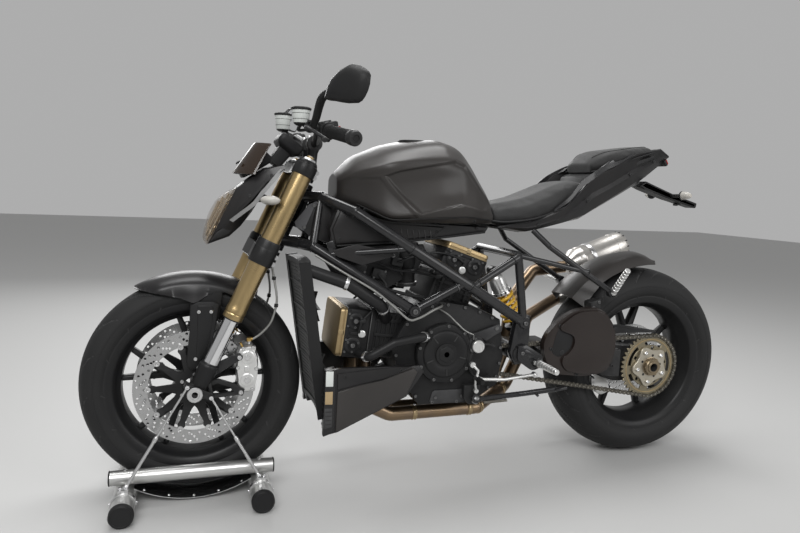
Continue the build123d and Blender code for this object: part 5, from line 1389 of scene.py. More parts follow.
def makeFender():
    bm = newBm()
    rings = []
    count = 72
    for k in range(count + 1):
        share = (fenderRows["end"] - fenderRows["start"]) * k / count
        for (d0, r0), (d1, r1) in zip(fenderSkirt, fenderSkirt[1:]):
            if d0 <= share <= d1:
                cut = r0 + (r1 - r0) * (share - d0) / (d1 - d0)
        narrow = 1.0 - 0.6 * max(0.0, (share - 50) / 13) ** 2
        flare = 8.0 * math.exp(-((share - 33.5) / 6) ** 2)
        half = [(y * narrow + flare * max(0.0, (285 - r) / 47), max(r, cut)) for y,
                r in fenderRows["section"]]
        outer = [(-y, r) for y, r in reversed(half)] + half[1:]
        inner = [(y * 0.955, r - 2.6) for y, r in reversed(outer)]
        # measured from straight back, turning over the top to the front
        angle = math.radians(fenderRows["start"] + share)
        c, s = -math.cos(angle), math.sin(angle)
        rings.append([frontAxle + Vector((r * c, y, r * s)) for y, r in outer + inner])
    addRings(bm, rings)
    placePiece(bm, "frontFenderBlade", "front_end", ["satinPaint"], ["front_fender"], sharp=40)
    bm = newBm()
    for side in (-1, 1):
        sideSlab(bm, [(677.5, 586), (761.5, 588), (764, 500), (688, 500)], side * 66, side * 70.5, 0, 1.5)
        sideSlab(bm, [(690, 544), (758, 544), (758, 520), (690, 520)], side * 70, side * 78, 0, 1.5)
        leg = [(686, 548), (704, 557), (742, 557), (763, 546), (764, 470), (771.5, 392), (768, 380),
               (757.5, 367), (720, 385), (706, 432)]
        sideSlab(bm, leg, side * 76, side * 84, 0, 2.5)
        rib = [(702, 550), (744, 550), (744, 470), (748, 392), (732, 392), (716, 440), (704, 500)]
        sideSlab(bm, rib, side * 82, side * 86, 0, 1.6, 0.05)
        for x, z in ((740, 530), (708, 530), (748, 400), (740, 376)):
            addBolt(bm, (x, side * 85, z), (0, side, 0), 5.0, 3.4, 1)
    placePiece(bm, "frontFenderLegs", "front_end", ["blackPlastic", "brightMetal"], ["front_fender"],
               sharp=40)


def makeCalipers():
    bm = newBm()
    centre = Vector((610.5, 0, 368))
    outline = [(-12, 72), (6, 70), (24, 66), (29, 50), (32, 30), (30, -6), (28, -40), (20, -58), (10, -72),
               (-6, -70), (-20, -64), (-26, -44), (-30, -20), (-31, 6), (-30, 34), (-22, 56)]
    for side in (-1, 1):
        for low, high, lean in ((77, 99, 0.10), (46, 58.8, 0.06)):
            ring = [(centre.x + u, centre.z + w) for u, w in outline]
            sideSlab(bm, ring, side * low, side * high, 0, 3.5, lean)
        for w in (58, 20, -20, -56):
            addBox(bm, (centre.x + 22 - abs(w) * 0.12, side * 68, centre.z + w), (15, 34, 17),
                   (0, -w * 0.25, 0), 0, 3.0)
            addBox(bm, (centre.x - 24 + abs(w) * 0.12, side * 88, centre.z + w), (10, 20, 14), (0, 0, 0), 0,
                   3.0)
        for w in (34, -30):
            at = centre + Vector((0, side * 96, w))
            addLathe(bm, [(0, 4), (0, 20), (3.4, 19), (5, 16), (5, 10), (3.6, 9), (3.6, 1)], at, (0, side, 0),
                     32, 0)
            addLathe(bm, [(3.4, 1), (3.4, 8), (5.2, 7.4), (5.6, 1)], at, (0, side, 0), 24, 1)
        addBox(bm, centre + Vector((2, side * 100, 2)), (13, 6, 16), (0, 0, 0), 0, 2.0)
        for u, w in ((-14, 62), (12, 60), (-14, -56), (10, -60), (26, 6), (-24, 2)):
            addBolt(bm, centre + Vector((u, side * 97, w)), (0, side, 0), 5.6, 5.0, 1)
        top = centre + Vector((-4, side * 86, 70))
        addTube(bm, [top, top + Vector((-1, 0, 12))], 5.0, 14, 1)
        addLathe(bm, drum(0, 4, 3, 8.4), top + Vector((0, 0, 8)), (0, 0, 1), 20, 2)
        addLathe(bm, [(0, 3), (0, 7.2), (5, 7.2), (6, 6), (6, 3)], top + Vector((0, 0, 12)), (0, 0, 1), 6, 2)
        addTube(bm, [centre + Vector((14, side * 92, 64)), centre + Vector((20, side * 94, 76))], 3.4, 12, 2)
        for y in (74, 61.6):
            pad = [(centre.x + u * 0.7, centre.z + w * 0.62) for u, w in outline]
            sideSlab(bm, pad, side * (y - 1.4), side * (y + 1.4), 3, 0.5)
    placePiece(bm, "frontCaliperBodies", "front_end",
               ["caliperMetal", "brightMetal", "brassFitting", "blackMetal"], ["front_calipers"], sharp=35)
    bm = newBm()
    for side in (-1, 1):
        route = [(548, 62, 668), (540, 72, 620), (533, 82, 575), (534, 86, 545), (548, 92, 500),
                 (572, 90, 470), (596, 87, 452), (606, 86, 452)]
        addTube(bm, [flip(p, side) for p in route], 3.2, 14, 0, True)
        for spot in ((540, 72, 620), (534, 86, 545)):
            addLathe(bm, drum(-5, 5, 3, 5.6), flip(spot, side), Vector((0.1, side * 0.1, -1)), 16, 1)
        addLathe(bm, [(-9, 2), (-9, 4.8), (0, 5.2), (0, 2)], flip((606, 86, 452), side), (0.95, 0, 0), 14, 2)
    placePiece(bm, "frontBrakeHoses", "front_end", ["silverHose", "blackPlastic", "brassFitting"],
               ["brake_hoses"])


makeNose()
makeSignals()
makeFender()
makeCalipers()
print("nose, mudguard and calipers made")

# Trellis frame: the tubes with weld beads, as start, end and radius on the left
headTop, headLow = Vector((410, 46, 850)), Vector((462, 42, 716))
trellis = ((headTop, (325, 122, 815), 16), ((325, 122, 815), (172, 172, 719), 16),
           ((172, 172, 719), (-14, 170, 611), 16),
           ((-14, 170, 611), (-219, 132, 490), 16), (headLow, (434, 78, 712), 16),
           ((434, 78, 712), (156, 168, 540), 15),
           ((380, 96, 692), (190, 168, 716), 9), ((156, 168, 540), (10, 170, 616), 12),
           ((-30, 168, 610), (-180, 142, 692), 12), ((-184, 140, 700), (-219, 132, 490), 13),
           (headTop, (434, 78, 712), 12))


def addWeld(bm, at, axis, radius, mat=0):
    # a ring of small overlapping beads
    axis, first, second = sideAxes(axis)
    count = max(18, int(radius * 1.8))
    for a in fullTurn(count):
        spot = Vector(at) + (first * math.cos(a) + second * math.sin(a)) * (radius + 0.6)
        addLathe(bm, [(-1.6, 0.8), (-1.0, 2.1), (1.0, 2.1), (1.6, 0.8)], spot, axis, 6, mat)


def makeTrellis():
    bm = newBm()
    tubeLow, tubeHigh = legPoint(713, 0, -yokeOffset), legPoint(902, 0, -yokeOffset)
    span = (tubeHigh - tubeLow).length
    addLathe(bm, [(0, 15.4), (0, 31), (1.5, 32.4), (16, 32.4), (18, 30), (span - 18, 30), (span - 16, 32.4),
                  (span - 1.5, 32.4), (span, 31), (span, 15.4)], tubeLow, legAxis, 48, 0, ring=True)
    for side in (-1, 1):
        upper, lower = legPoint(862, 0, -yokeOffset), legPoint(735, 0, -yokeOffset)
        for start, end, radius in ((upper, headTop, 16), (lower, headLow, 16)) + trellis:
            a, b = flip(start, side), flip(end, side)
            ahead = (b - a).normalized()
            addTube(bm, [a - ahead * radius * 0.25, b + ahead * radius * 0.25], radius, 28)
        for spot, axis, radius in ((headTop, (325, 122, 815), 16.6), ((325, 122, 815), (172, 172, 719), 17),
                                   ((172, 172, 719), (-14, 170, 611), 17),
                                   ((-14, 170, 611), (-219, 132, 490), 17),
                                   ((434, 78, 712), (156, 168, 540), 16.6)):
            a, b = flip(spot, side), flip(axis, side)
            ahead = (b - a).normalized()
            addWeld(bm, a + ahead * 3, ahead, radius * 0.95)
        for spot, toward, radius in (((190, 168, 716), (380, 96, 692), 9),
                                     ((380, 96, 692), (190, 168, 716), 9),
                                     ((10, 170, 616), (156, 168, 540), 12),
                                     ((-30, 168, 610), (-180, 142, 692), 12),
                                     ((-180, 142, 692), (-30, 168, 610), 12),
                                     ((156, 168, 540), (10, 170, 616), 12)):
            a, b = flip(spot, side), flip(toward, side)
            ahead = (b - a).normalized()
            addWeld(bm, a + ahead * 17, ahead, radius * 0.96)
        low, high = side * 117, side * 142
        plate = [(-196, 520), (-216, 519), (-240, 512), (-239, 440), (-236, 372), (-216, 362), (-196, 356),
                 (-184, 376), (-176, 400), (-186, 460)]
        sideSlab(bm, plate, low, high, 0, 4.0)
        addLathe(bm, [(0, 3), (0, 24), (3, 25.5), (6, 24), (8, 20), (8, 12), (5, 11), (5, 3)],
                 (-210, side * 141, 392), (0, side, 0), 40, 1)
        addBolt(bm, (-210, side * 146, 392), (0, side, 0), 9.5, 5.0, 2)
        for x, z in ((-206, 500), (-226, 504)):
            addBolt(bm, (x, side * 141.6, z), (0, side, 0), 5.4, 4.2, 2)
        at = flip((156, 168, 540), side)
        addLathe(bm, [(-16, 4), (-16, 15), (-12, 18), (12, 18), (17, 15), (17, 4)], at, (0, 1, 0), 32, 0)
        addBolt(bm, at + Vector((0, side * 17, 0)), (0, side, 0), 8.0, 6.0, 2)
        at = flip((-219, 132, 490), side)
        addLathe(bm, [(-16, 4), (-16, 17), (16, 17), (18, 15), (18, 4)], at, (0, side, 0), 32, 0)
        addBolt(bm, at + Vector((0, side * 18, 0)), (0, side, 0), 7.0, 5.0, 2)
        addBox(bm, flip((384, 98, 712), side), (22, 8, 34), (0, 20, side * -16), 0, 2)
    addTube(bm, [(-184, -140, 700), (-184, 140, 700)], 13, 24)
    addTube(bm, [(-210, -120, 392), (-210, 120, 392)], 10, 24, 2)
    placePiece(bm, "trellisTubes", "chassis", ["framePaint", "blackMetal", "boltSteel"], ["trellis_frame"],
               sharp=35)


makeTrellis()
print("frame made")

# Engine: crank centre, and the two cylinders as tilt from level and the ends of barrel and head
engineLook = {"crank": (55.0, 434.0), "half": 118.0, "front": (6.4, 208.0, 286.0),
              "rear": (108.7, 200.0, 276.0),
              "case": [(170, 330), (205, 420), (150, 520), (60, 560), (-60, 540), (-150, 500), (-168, 380),
                       (-150, 290), (-60, 236), (110, 240)]}


sideStand = {"pivot": Vector((-62, 158, 262)), "hinge": Vector((0.16, 0.87, 0.46)).normalized()}


def cylinderSpot(tilt, along, y, across):
    a = math.radians(tilt)
    x, z = engineLook["crank"]
    return Vector((x + math.cos(a) * along - math.sin(a) * across, y,
                   z + math.sin(a) * along + math.cos(a) * across))


def cylinderBlock(bm, tilt, start, end, halfY, halfV, mat=0, bevel=6.0, shift=(0, 0)):
    corners = ((-1, -1), (1, -1), (1, 1), (-1, 1))
    rings = [[cylinderSpot(tilt, s, shift[0] + a * halfY, shift[1] + b * halfV) for a, b in corners]
             for s in (start, end)]
    addPrism(bm, rings[0], rings[1], mat, bevel, 3)


def makeCylinder(bm, tilt, barrelEnd, headEnd):
    along = (cylinderSpot(tilt, 1, 0, 0) - cylinderSpot(tilt, 0, 0, 0)).normalized()
    out = (cylinderSpot(tilt, 0, 0, 1) - cylinderSpot(tilt, 0, 0, 0)).normalized()
    cylinderBlock(bm, tilt, 84, barrelEnd, 89, 69, 0, 10)
    cylinderBlock(bm, tilt, 96, 108, 95, 75, 0, 2)
    cylinderBlock(bm, tilt, barrelEnd - 12, barrelEnd, 95, 75, 0, 2)
    for side in (-1, 1):
        for k in range(6):
            cylinderBlock(bm, tilt, 116 + k * 13.5, 120 + k * 13.5, 2.6, 60, 0, 1.0, (side * 91, 0))
        for v in (-44, 0, 44):
            cylinderBlock(bm, tilt, 112, barrelEnd - 14, 2.4, 4.5, 0, 1.2, (side * 91.5, v))
    cylinderBlock(bm, tilt, barrelEnd, barrelEnd + 3, 96, 73, 1, 0.6)
    middle = (barrelEnd + headEnd) / 2
    cylinderBlock(bm, tilt, barrelEnd + 3, headEnd, 99, 73, 0, 8)
    cylinderBlock(bm, tilt, headEnd - 12, headEnd, 101, 71, 0, 3)
    for side in (-1, 1):
        # rounded ends of the head with their covers
        for v in (-36, 36):
            at = cylinderSpot(tilt, middle + 10, side * 96, v)
            addLathe(bm, [(0, 5), (0, 24), (7, 24), (9, 21), (9, 14), (6, 12), (6, 5)], at, (0, side, 0), 36,
                     0)
            addBolt(bm, at + Vector((0, side * 6, 0)), (0, side, 0), 7, 5, 1)
            for k in range(3):
                turn = math.radians(120 * k + 30)
                spot = at + (along * math.cos(turn) + out * math.sin(turn)) * 18 + Vector((0, side * 7, 0))
                addBolt(bm, spot, (0, side, 0), 3.4, 3.0, 1)
        cylinderBlock(bm, tilt, barrelEnd + 8, headEnd - 16, 3, 5, 0, 2.0, (side * 101, 0))
        for v in (-56, -20, 20, 56):
            addBolt(bm, cylinderSpot(tilt, headEnd - 7, side * 101, v), (0, side, 0), 3.6, 3.4, 1)
    # plug and lead in the head's outer side, and a row of nuts on the flange
    for side in (-1, 1):
        at = cylinderSpot(tilt, barrelEnd + 26, side * 100, 0)
        addLathe(bm, [(0, 3), (0, 11), (4, 11), (5, 8.5), (7.6, 8.5), (7.6, 3)], at, (0, side, 0), 24, 2)
    for y in (-84, -42, 42, 84):
        for side in (-1, 1):
            addBolt(bm, cylinderSpot(tilt, barrelEnd - 8, y, side * 74.5), out * side, 4.4, 4.0, 1, False)


def makeEngine():
    bm = newBm()
    case = engineLook["case"]
    half = engineLook["half"]
    sideSlab(bm, case, -112, 112, 0, 14)
    middle = Vector((20, 395))
    for y in (-half, 0, half):
        width = 8 if y else 5
        grow = 1.0 if y else 1.006
        rim = [(middle.x + (x - middle.x) * grow * 0.985, middle.y + (z - middle.y) * grow * 0.985) for x,
               z in case]
        low = y - width if y > 0 else y if y < 0 else -width / 2
        sideSlab(bm, rim, low, low + width, 0, 2.0)
    for (x0, z0), (x1, z1) in zip(case, case[1:] + case[:1]):
        for t in (0.25, 0.75):
            x, z = x0 + (x1 - x0) * t, z0 + (z1 - z0) * t
            at = middle + (Vector((x, z)) - middle) * 0.945
            for side in (-1, 1):
                addBolt(bm, (at.x, side * (half - 0.5), at.y), (0, side, 0), 5.0, 4.6, 1)
    for tilt, barrelEnd, headEnd in (engineLook["front"], engineLook["rear"]):
        makeCylinder(bm, tilt, barrelEnd, headEnd)
    # left side: generator cover with a ring of bolts and a six-sided cap
    gen = Vector((38, 117, 402))
    addLathe(bm, [(0, 20), (0, 90), (5, 91.5), (17, 91), (23, 88), (25, 82), (25.4, 72), (29, 70), (31, 66),
                  (31, 44), (29, 41), (29, 34), (33, 33), (33.6, 20), (33.6, 3)], gen, (0, 1, 0), 84, 0)
    hexagon = [(gen.x + 27 * math.cos(a), gen.z + 27 * math.sin(a))
               for a in (math.radians(60 * k + 30) for k in range(6))]
    sideSlab(bm, hexagon, 149, 152, 0, 1.2, 0.06)
    addLathe(bm, [(0, 3), (0, 9), (-2, 8), (-2, 3)], (gen.x, 152, gen.z), (0, 1, 0), 6, 1)
    for spot in aroundY(gen, 84, 9, 23, 14):
        addLathe(bm, [(-22, 8.4), (0, 8.4), (1.5, 7), (1.5, 2)], spot, (0, 1, 0), 18, 0)
        addBolt(bm, spot + Vector((0, 1, 0)), (0, 1, 0), 5.0, 4.0, 1)
    for ends in zip(aroundY(gen, 44, 5, 30.6, 50), aroundY(gen, 65, 5, 30.6, 50)):
        addTube(bm, ends, 2.6, 8, 0)
    # clutch release with its bracket
    slave = Vector((-62, 117, 424))
    addLathe(bm, [(0, 4), (0, 27), (22, 27), (26, 24), (26, 17), (34, 16)], slave, (0, 1, 0), 40, 3)
    addLathe(bm, [(0, 3), (0, 19.5), (8, 19.5), (10, 17.6), (10, 13), (8.6, 12), (8.6, 3)],
             slave + Vector((0, 32, 0)), (0, 1, 0), 40, 2)
    for spot in aroundY(slave, 22, 3, 25, 75):
        addBolt(bm, spot, (0, 1, 0), 4.4, 4.4, 1)
    sideSlab(bm, [(-30, 456), (-62, 462), (-134, 486), (-149, 478), (-148, 464), (-96, 434), (-84, 446),
                  (-60, 452), (-40, 440)], 127, 134, 3, 2.0)
    addLathe(bm, [(0, 3), (0, 7), (2, 6), (2, 3)], (-130, 134, 474), (0, 1, 0), 16, 1)
    addTube(bm, [(-48, 146, 446), (-46, 150, 461)], 4.4, 12, 1)
    addTube(bm, [(-47, 150, 459), (-18, 149, 473), (10, 146, 497), (34, 136, 520), (60, 116, 536)], 2.4, 10,
            4, True)
    # sprocket cover, ring only, with the chain's opening behind it
    front = Vector((-96, 0, 372))
    shell = [(0, 52.6), (0, 58), (26, 58), (28, 55.5), (28, 52.6)]
    for k in range(30):
        a0, a1 = (math.radians(-118 + k * 7.9), math.radians(-118 + (k + 1) * 7.9))
        quads = []
        for a in (a0, a1):
            quads.append([front + Vector((math.cos(a) * r, 116 + y, math.sin(a) * r)) for y, r in shell])
        addRings(bm, quads, 0, caps=(k == 0, k == 29))
    addLathe(bm, [(0, 3), (0, 36), (-4, 36.5), (-4, 3)], (-96, 100, 372), (0, 1, 0), 48, 5)
    addLathe(bm, drum(0, 9, 3, 15), (-96, 94, 372), (0, 1, 0), 6, 1)
    # sump plate, side stand lug and its pivot bolt
    sideSlab(bm, [(74, 250), (66, 280), (58, 284), (-34, 284), (-42, 278), (-42, 248), (-30, 242), (62, 242)],
             117, 121, 3, 1.6)
    for x, z in ((56, 262), (-30, 262)):
        addBolt(bm, (x, 121, z), (0, 1, 0), 4.6, 4.0, 1)
    sideSlab(bm, [(-84, 300), (-84, 252), (-72, 240), (-48, 240), (-30, 262), (-30, 300)], 101, 139, 0, 3)
    pivot, hinge = sideStand["pivot"], sideStand["hinge"]
    addTube(bm, [pivot - hinge * 30, pivot + hinge * 9.2], 5.0, 20, 1)
    addLathe(bm, [(0, 2), (0, 8), (3.0, 8), (3.6, 6.8), (3.6, 2)], pivot + hinge * 8.4, hinge, 6, 1)
    # right side: clutch cover, belt covers and the oil filter
    clutch = Vector((-20, -117, 400))
    addLathe(bm, [(0, 20), (0, 97), (8, 98), (20, 96), (26, 92), (28, 84), (28, 66), (32, 62), (33, 40),
                  (33, 3)], clutch, (0, -1, 0), 84, 0)
    for spot in aroundY(clutch, 88, 9, -26, 10):
        addBolt(bm, spot, (0, -1, 0), 5.4, 5.0, 1)
    for spot in aroundY(clutch, 52, 4, -31, 45):
        addBolt(bm, spot, (0, -1, 0), 4.4, 2.2, 1)
    for tilt, barrelEnd, headEnd in (engineLook["front"], engineLook["rear"]):
        for v in (-34, 34):
            at = cylinderSpot(tilt, barrelEnd + 34, -98, v)
            addLathe(bm, [(0, 4), (0, 32), (4, 33), (8, 30), (9, 20), (9, 4)], at, (0, -1, 0), 40, 6)
            addBolt(bm, at + Vector((0, -8, 0)), (0, -1, 0), 5, 2, 1)
        cover = [(66, -30), (66, 30), (barrelEnd + 40, 46), (barrelEnd + 52, 20), (barrelEnd + 52, -20),
                 (barrelEnd + 40, -46)]
        low = [cylinderSpot(tilt, s, -96, v) for s, v in cover]
        high = [cylinderSpot(tilt, s, -103, v * 0.94) for s, v in cover]
        addPrism(bm, low, high, 6, 3.0)
    addLathe(bm, [(0, 4), (0, 34), (4, 37), (52, 37), (58, 34), (60, 26), (60, 4)], (132, -60, 300),
             (0.8, -0.1, -0.3), 40, 6)
    addLathe(bm, [(0, 3), (0, 12), (8, 12), (9, 10), (9, 3)], (70, -132, 490), (0, -1, 0), 6, 6)
    placePiece(bm, "engineCasting", "chassis", [
            "castBlack", "boltSteel", "caliperMetal", "castMetal", "silverHose", "chainSteel",
            "blackPlastic"], ["engine"], sharp=35)


def makeCamCovers():
    bm = newBm()
    for tilt, start in ((engineLook["front"][0], 286.0), (engineLook["rear"][0], 276.0)):
        loop = []
        for cy, cv, turn in ((1, 1, 0), (-1, 1, 90), (-1, -1, 180), (1, -1, 270)):
            for k in range(6):
                a = math.radians(turn + 18 * k)
                loop.append((cy * 91 + 12 * math.cos(a), cv * 60 + 12 * math.sin(a)))
        rings = []
        for s, inset in ((0, 0), (5, 0), (6, 1.6), (8, 1.6), (9, 0), (15, 0.6), (18.6, 2.4), (20, 6)):
            rings.append([cylinderSpot(tilt, start + s, y * (1 - inset / 103), v * (1 - inset / 72)) for y,
                          v in loop])
        addRings(bm, rings)
        along = (cylinderSpot(tilt, 1, 0, 0) - cylinderSpot(tilt, 0, 0, 0)).normalized()
        for y in (-84, -30, 30, 84):
            for v in (-56, 56):
                addBolt(bm, cylinderSpot(tilt, start + 16, y, v), along, 5.6, 3.9, 1)
        for side in (-1, 1):
            clip = [cylinderSpot(tilt, start + s, side * 101.2, v) for s,
                    v in ((2, -7), (19, -7), (19, 7), (2, 7))]
            outer = [p + Vector((0, side * 1.8, 0)) for p in clip]
            addPrism(bm, clip, outer, 0, 0.6)
        for v in (-30, 30):
            addTube(bm, [cylinderSpot(tilt, start + 18, -70, v), cylinderSpot(tilt, start + 18, 70, v)], 1.9,
                    8, 0)
    placePiece(bm, "camCoverLids", "chassis", ["goldCast", "brightMetal"], ["cam_covers"], sharp=35)


radiatorLook = {"low": Vector((404.0, 0, 220.0)), "top": Vector((470.0, 0, 672.0)), "half": 132.0,
                "bow": 12.0}


def makeRadiator():
    bm = newBm()
    low, top = radiatorLook["low"], radiatorLook["top"]
    run = (top - low).normalized()
    back = Vector((-run.z, 0, run.x))
    length = (top - low).length

    def spot(y, s, depth):
        bow = radiatorLook["bow"] * (y / radiatorLook["half"]) ** 2
        return low + run * s + back * (depth - bow) + Vector((0, y, 0))

    def slab(y0, y1, s0, s1, d0, d1, mat):
        count = 10
        rings = []
        for k in range(count + 1):
            y = y0 + (y1 - y0) * k / count
            rings.append([spot(y, s0, d0), spot(y, s1, d0), spot(y, s1, d1), spot(y, s0, d1)])
        addRings(bm, rings, mat)

    slab(-116, 116, 18, length - 18, 4, 30, 1)
    slab(-128, 128, 4, 20, 0.8, 33, 0)
    slab(-128, 128, length - 20, length - 4, 0.8, 33, 0)
    for side in (-1, 1):
        y0, y1 = side * 114, side * 131.4
        slab(y0, y1, 2, length - 2, 0.4, 33.4, 0)
        for k in range(8):
            addBolt(bm, spot(side * 123, 26 + k * (length - 52) / 7, 0.4), -back, 3.6, 0.4, 2, False)
    for k in range(1, 6):
        slab(-116, 116, k * length / 6 - 2, k * length / 6 + 2, 1.6, 6, 0)
    for k in range(38):
        s = 24 + k * (length - 48) / 37
        slab(-114, 114, s - 0.8, s + 0.8, 2.6, 5.5, 0)
    # two fans behind the core
    for s in (130, 318):
        at = spot(0, s, 33.0)
        addLathe(bm, [(-2, 66), (0.9, 66), (0.9, 60), (-2, 60)], at, back, 40, 0, ring=True)
        for a in fullTurn(7):
            end = at + run * (math.cos(a) * 62) + Vector((0, math.sin(a) * 62, 0))
            addTube(bm, [at, end], (9, 13), 8, 0, False, 0.12)
        addLathe(bm, [(-3, 3), (-3, 20), (0.9, 18), (0.9, 3)], at, back, 24, 0)
    placePiece(bm, "radiatorCore", "chassis", ["blackPlastic", "radiatorMesh", "boltSteel"], ["radiator"],
               sharp=35)


def makePods():
    bm = newBm()
    for side in (-1, 1):
        sideSlab(bm, [(402, 371), (366, 379), (130, 378), (114, 360), (165, 287), (365, 195), (408, 186)],
                 side * 154.4, side * 170, 0, 2.0)
        # raised lower facet below a crease, in the lighter copy of the satin paint as a painted highlight,
        # and the flat band above it
        sideSlab(bm, [(372, 314), (302, 331), (241, 339), (150, 374), (134, 362), (168, 290), (364, 200),
                      (374, 198)], side * 168, side * 176, 4, 2.5, 0.015)
        sideSlab(bm, [(372, 318), (372, 366), (206, 378), (150, 378), (242, 343), (303, 335)], side * 168,
                 side * 174, 0, 2.0, 0.01)
        # front column with its three inserts
        sideSlab(bm, [(407, 372), (378, 378), (378, 196), (408, 186)], side * 168, side * 175, 0, 2.0)
        sideSlab(bm, [(405.4, 374), (383.5, 374), (383.5, 330), (405, 331)], side * 172, side * 176, 1, 1.6)
        sideSlab(bm, [(405.6, 316), (384, 316), (384, 279), (405.6, 280)], side * 172, side * 176, 2, 1.2)
        sideSlab(bm, [(406, 268), (384, 268), (384, 214), (406, 209)], side * 172, side * 175.6, 3, 1.2)
        for k in range(4):
            addBox(bm, (395, side * 175.4, 222 + k * 12), (17, 1.2, 3), (0, 0, 0), 0)
        for x, z in ((350, 356), (186, 368), (392, 322), (392, 198)):
            addBolt(bm, (x, side * 172.4, z), (0, side, 0), 4.6, 3.2, 5)
        low, high = side * 120, side * 156
        sideSlab(bm, [(402, 368), (372, 374), (372, 196), (402, 192)], low, high, 0, 2.0)
        for k in range(9):
            z = 206 + k * 18
            addBox(bm, (403, side * 138, z), (2.0, 30, 10), (0, 8, 0), 0, 0.8)
    placePiece(bm, "podShells", "chassis",
               ["satinPaint", "whiteCup", "tanInsert", "castMetal", "satinPaintedHighlight", "blackMetal"], ["side_pods"],
               sharp=32)


def makeWaterHoses():
    bm = newBm()
    first = roundCorners([(456, 110, 650), (340, 136, 612), (240, 136, 548), (212, 84, 500)], 34)
    second = roundCorners([(92, 138, 454), (122, 167, 462), (207, 166, 446), (280, 156, 404), (296, 98, 404)],
                          24)
    for line, radius in ((first, 17.4), (second, 13.4)):
        addTube(bm, line, radius, 28, 0)
        count = len(line)
        for at in (0.1, 0.9):
            i = max(1, min(count - 2, int(count * at)))
            axis = (Vector(line[i + 1]) - Vector(line[i - 1])).normalized()
            spot = Vector(line[i])
            addLathe(bm, [(-5, radius - 2), (-5, radius + 1.2), (-3.6, radius + 1.9), (3.6, radius + 1.9),
                          (5, radius + 1.2), (5, radius - 2)], spot, axis, 36, 1)
            addBox(bm, spot + sideAxes(axis)[1] * (radius + 2), (7, 7, 5), (0, 0, 0), 1, 1)
    placePiece(bm, "coolantHoses", "chassis", ["hoseRubber", "brightMetal"], ["water_hoses"], sharp=45)


makeEngine()
makeCamCovers()
makeRadiator()
makePods()
makeWaterHoses()
print("engine, radiator and pods made")

# Fuel tank: rows by X, each a half section from the top middle down to the lower edge as Y and Z
tankRows = (
    (368, ((0, 917), (26, 915), (50, 908), (60, 899), (62, 890), (62.5, 882), (62.5, 874), (62, 863),
           (58, 850), (50, 841))),
    (352, ((0, 936), (34, 932), (66, 920), (82, 905), (84, 895), (84, 886), (84, 877), (83, 862), (78, 846),
           (68, 834))),
    (318, ((0, 970), (42, 964), (84, 948), (108, 928), (113, 916), (110, 896), (110, 880), (112, 850),
           (106, 834), (90, 822))),
    (270, ((0, 993), (50, 987), (104, 970), (144, 944), (147, 930), (141, 900), (141, 870), (146, 828),
           (136, 812), (114, 802))),
    (226, ((0, 1011), (54, 1005), (112, 988), (158, 956), (162, 936), (152, 900), (156, 860), (168, 808),
           (156, 796), (134, 787))),
    (150, ((0, 1028), (56, 1022), (112, 1006), (156, 968), (161, 944), (152, 908), (158, 866), (180, 818),
           (166, 800), (142, 787))),
    (80, ((0, 1036), (54, 1031), (106, 1016), (148, 976), (157, 952), (151, 914), (158, 872), (181, 832),
          (166, 804), (144, 787))),
    (40, ((0, 1031), (50, 1026), (98, 1012), (138, 974), (148, 952), (146, 916), (152, 876), (174, 838),
          (158, 806), (138, 787))),
    (0, ((0, 1017), (46, 1012), (88, 998), (124, 962), (136, 944), (138, 914), (146, 878), (165, 842),
         (150, 808), (132, 787))),
    (-36, ((0, 980), (42, 976), (80, 962), (110, 928), (119, 912), (124, 892), (132, 868), (146, 836),
           (134, 806), (116, 787))),
    (-72, ((0, 929), (40, 926), (74, 914), (96, 888), (101, 876), (106, 864), (112, 850), (123, 829),
           (114, 802), (98, 787))),
    (-96, ((0, 894), (36, 892), (66, 884), (86, 866), (90, 858), (94, 848), (100, 838), (110, 820),
           (104, 800), (90, 787))),
    (-111, ((0, 872), (34, 870), (60, 862), (78, 846), (82, 840), (86, 832), (92, 824), (103, 813), (98, 799),
            (83, 787))),
)
# Sunk panels of the tank's sides: outline as X and Z, depth, width of the edge, and the X range where it
# fades out
tankPanels = (
    (((257, 918), (211, 936), (165, 946), (99, 961), (33, 975), (-2, 962), (-44, 920), (-88, 872), (-96, 838),
      (-66, 824),
      (20, 843), (95, 827), (148, 811), (160, 825), (211, 872)), 8.0, 9.0, (-90, 20)),
    (((400, 903), (329, 913), (262, 917), (214, 870), (165, 824), (150, 800), (215, 770), (400, 770)), 5.0,
     12.0, (360, 300)),
)


def emboss(mesh, loop, depth, band, fade):
    # sinks the skin inside an outline seen from the side, with a soft edge
    count = len(mesh.vertices)
    flat = np.empty(count * 3)
    mesh.vertices.foreach_get("co", flat)
    co = flat.reshape(-1, 3)
    normals = np.empty(count * 3)
    mesh.vertices.foreach_get("normal", normals)
    normals = normals.reshape(-1, 3)
    x, z = co[:, 0] * 1000, co[:, 2] * 1000
    near = np.full(count, 1e9)
    inside = np.zeros(count, bool)
    for (x0, z0), (x1, z1) in zip(loop, loop[1:] + loop[:1]):
        t = np.clip(((x - x0) * (x1 - x0) + (z - z0) * (z1 - z0)) / ((x1 - x0) ** 2 + (z1 - z0) ** 2), 0, 1)
        near = np.minimum(near, np.hypot(x - x0 - t * (x1 - x0), z - z0 - t * (z1 - z0)))
        if z0 != z1:
            inside ^= ((z0 > z) != (z1 > z)) & (x < (x1 - x0) * (z - z0) / (z1 - z0) + x0)
    edge = np.clip(np.where(inside, near, 0) / band, 0, 1)
    gone = np.clip((x - fade[0]) / (fade[1] - fade[0]), 0, 1)
    side = np.clip((np.abs(co[:, 1]) * 1000 - 52) / 16, 0, 1)
    sink = depth * edge ** 2 * (3 - 2 * edge) * gone * side / 1000
    co -= normals * sink[:, None]
    mesh.vertices.foreach_set("co", co.reshape(-1))
    mesh.update()


capLook = {"seat": Vector((120.0, 0, 1024.0)), "well": 49.0}


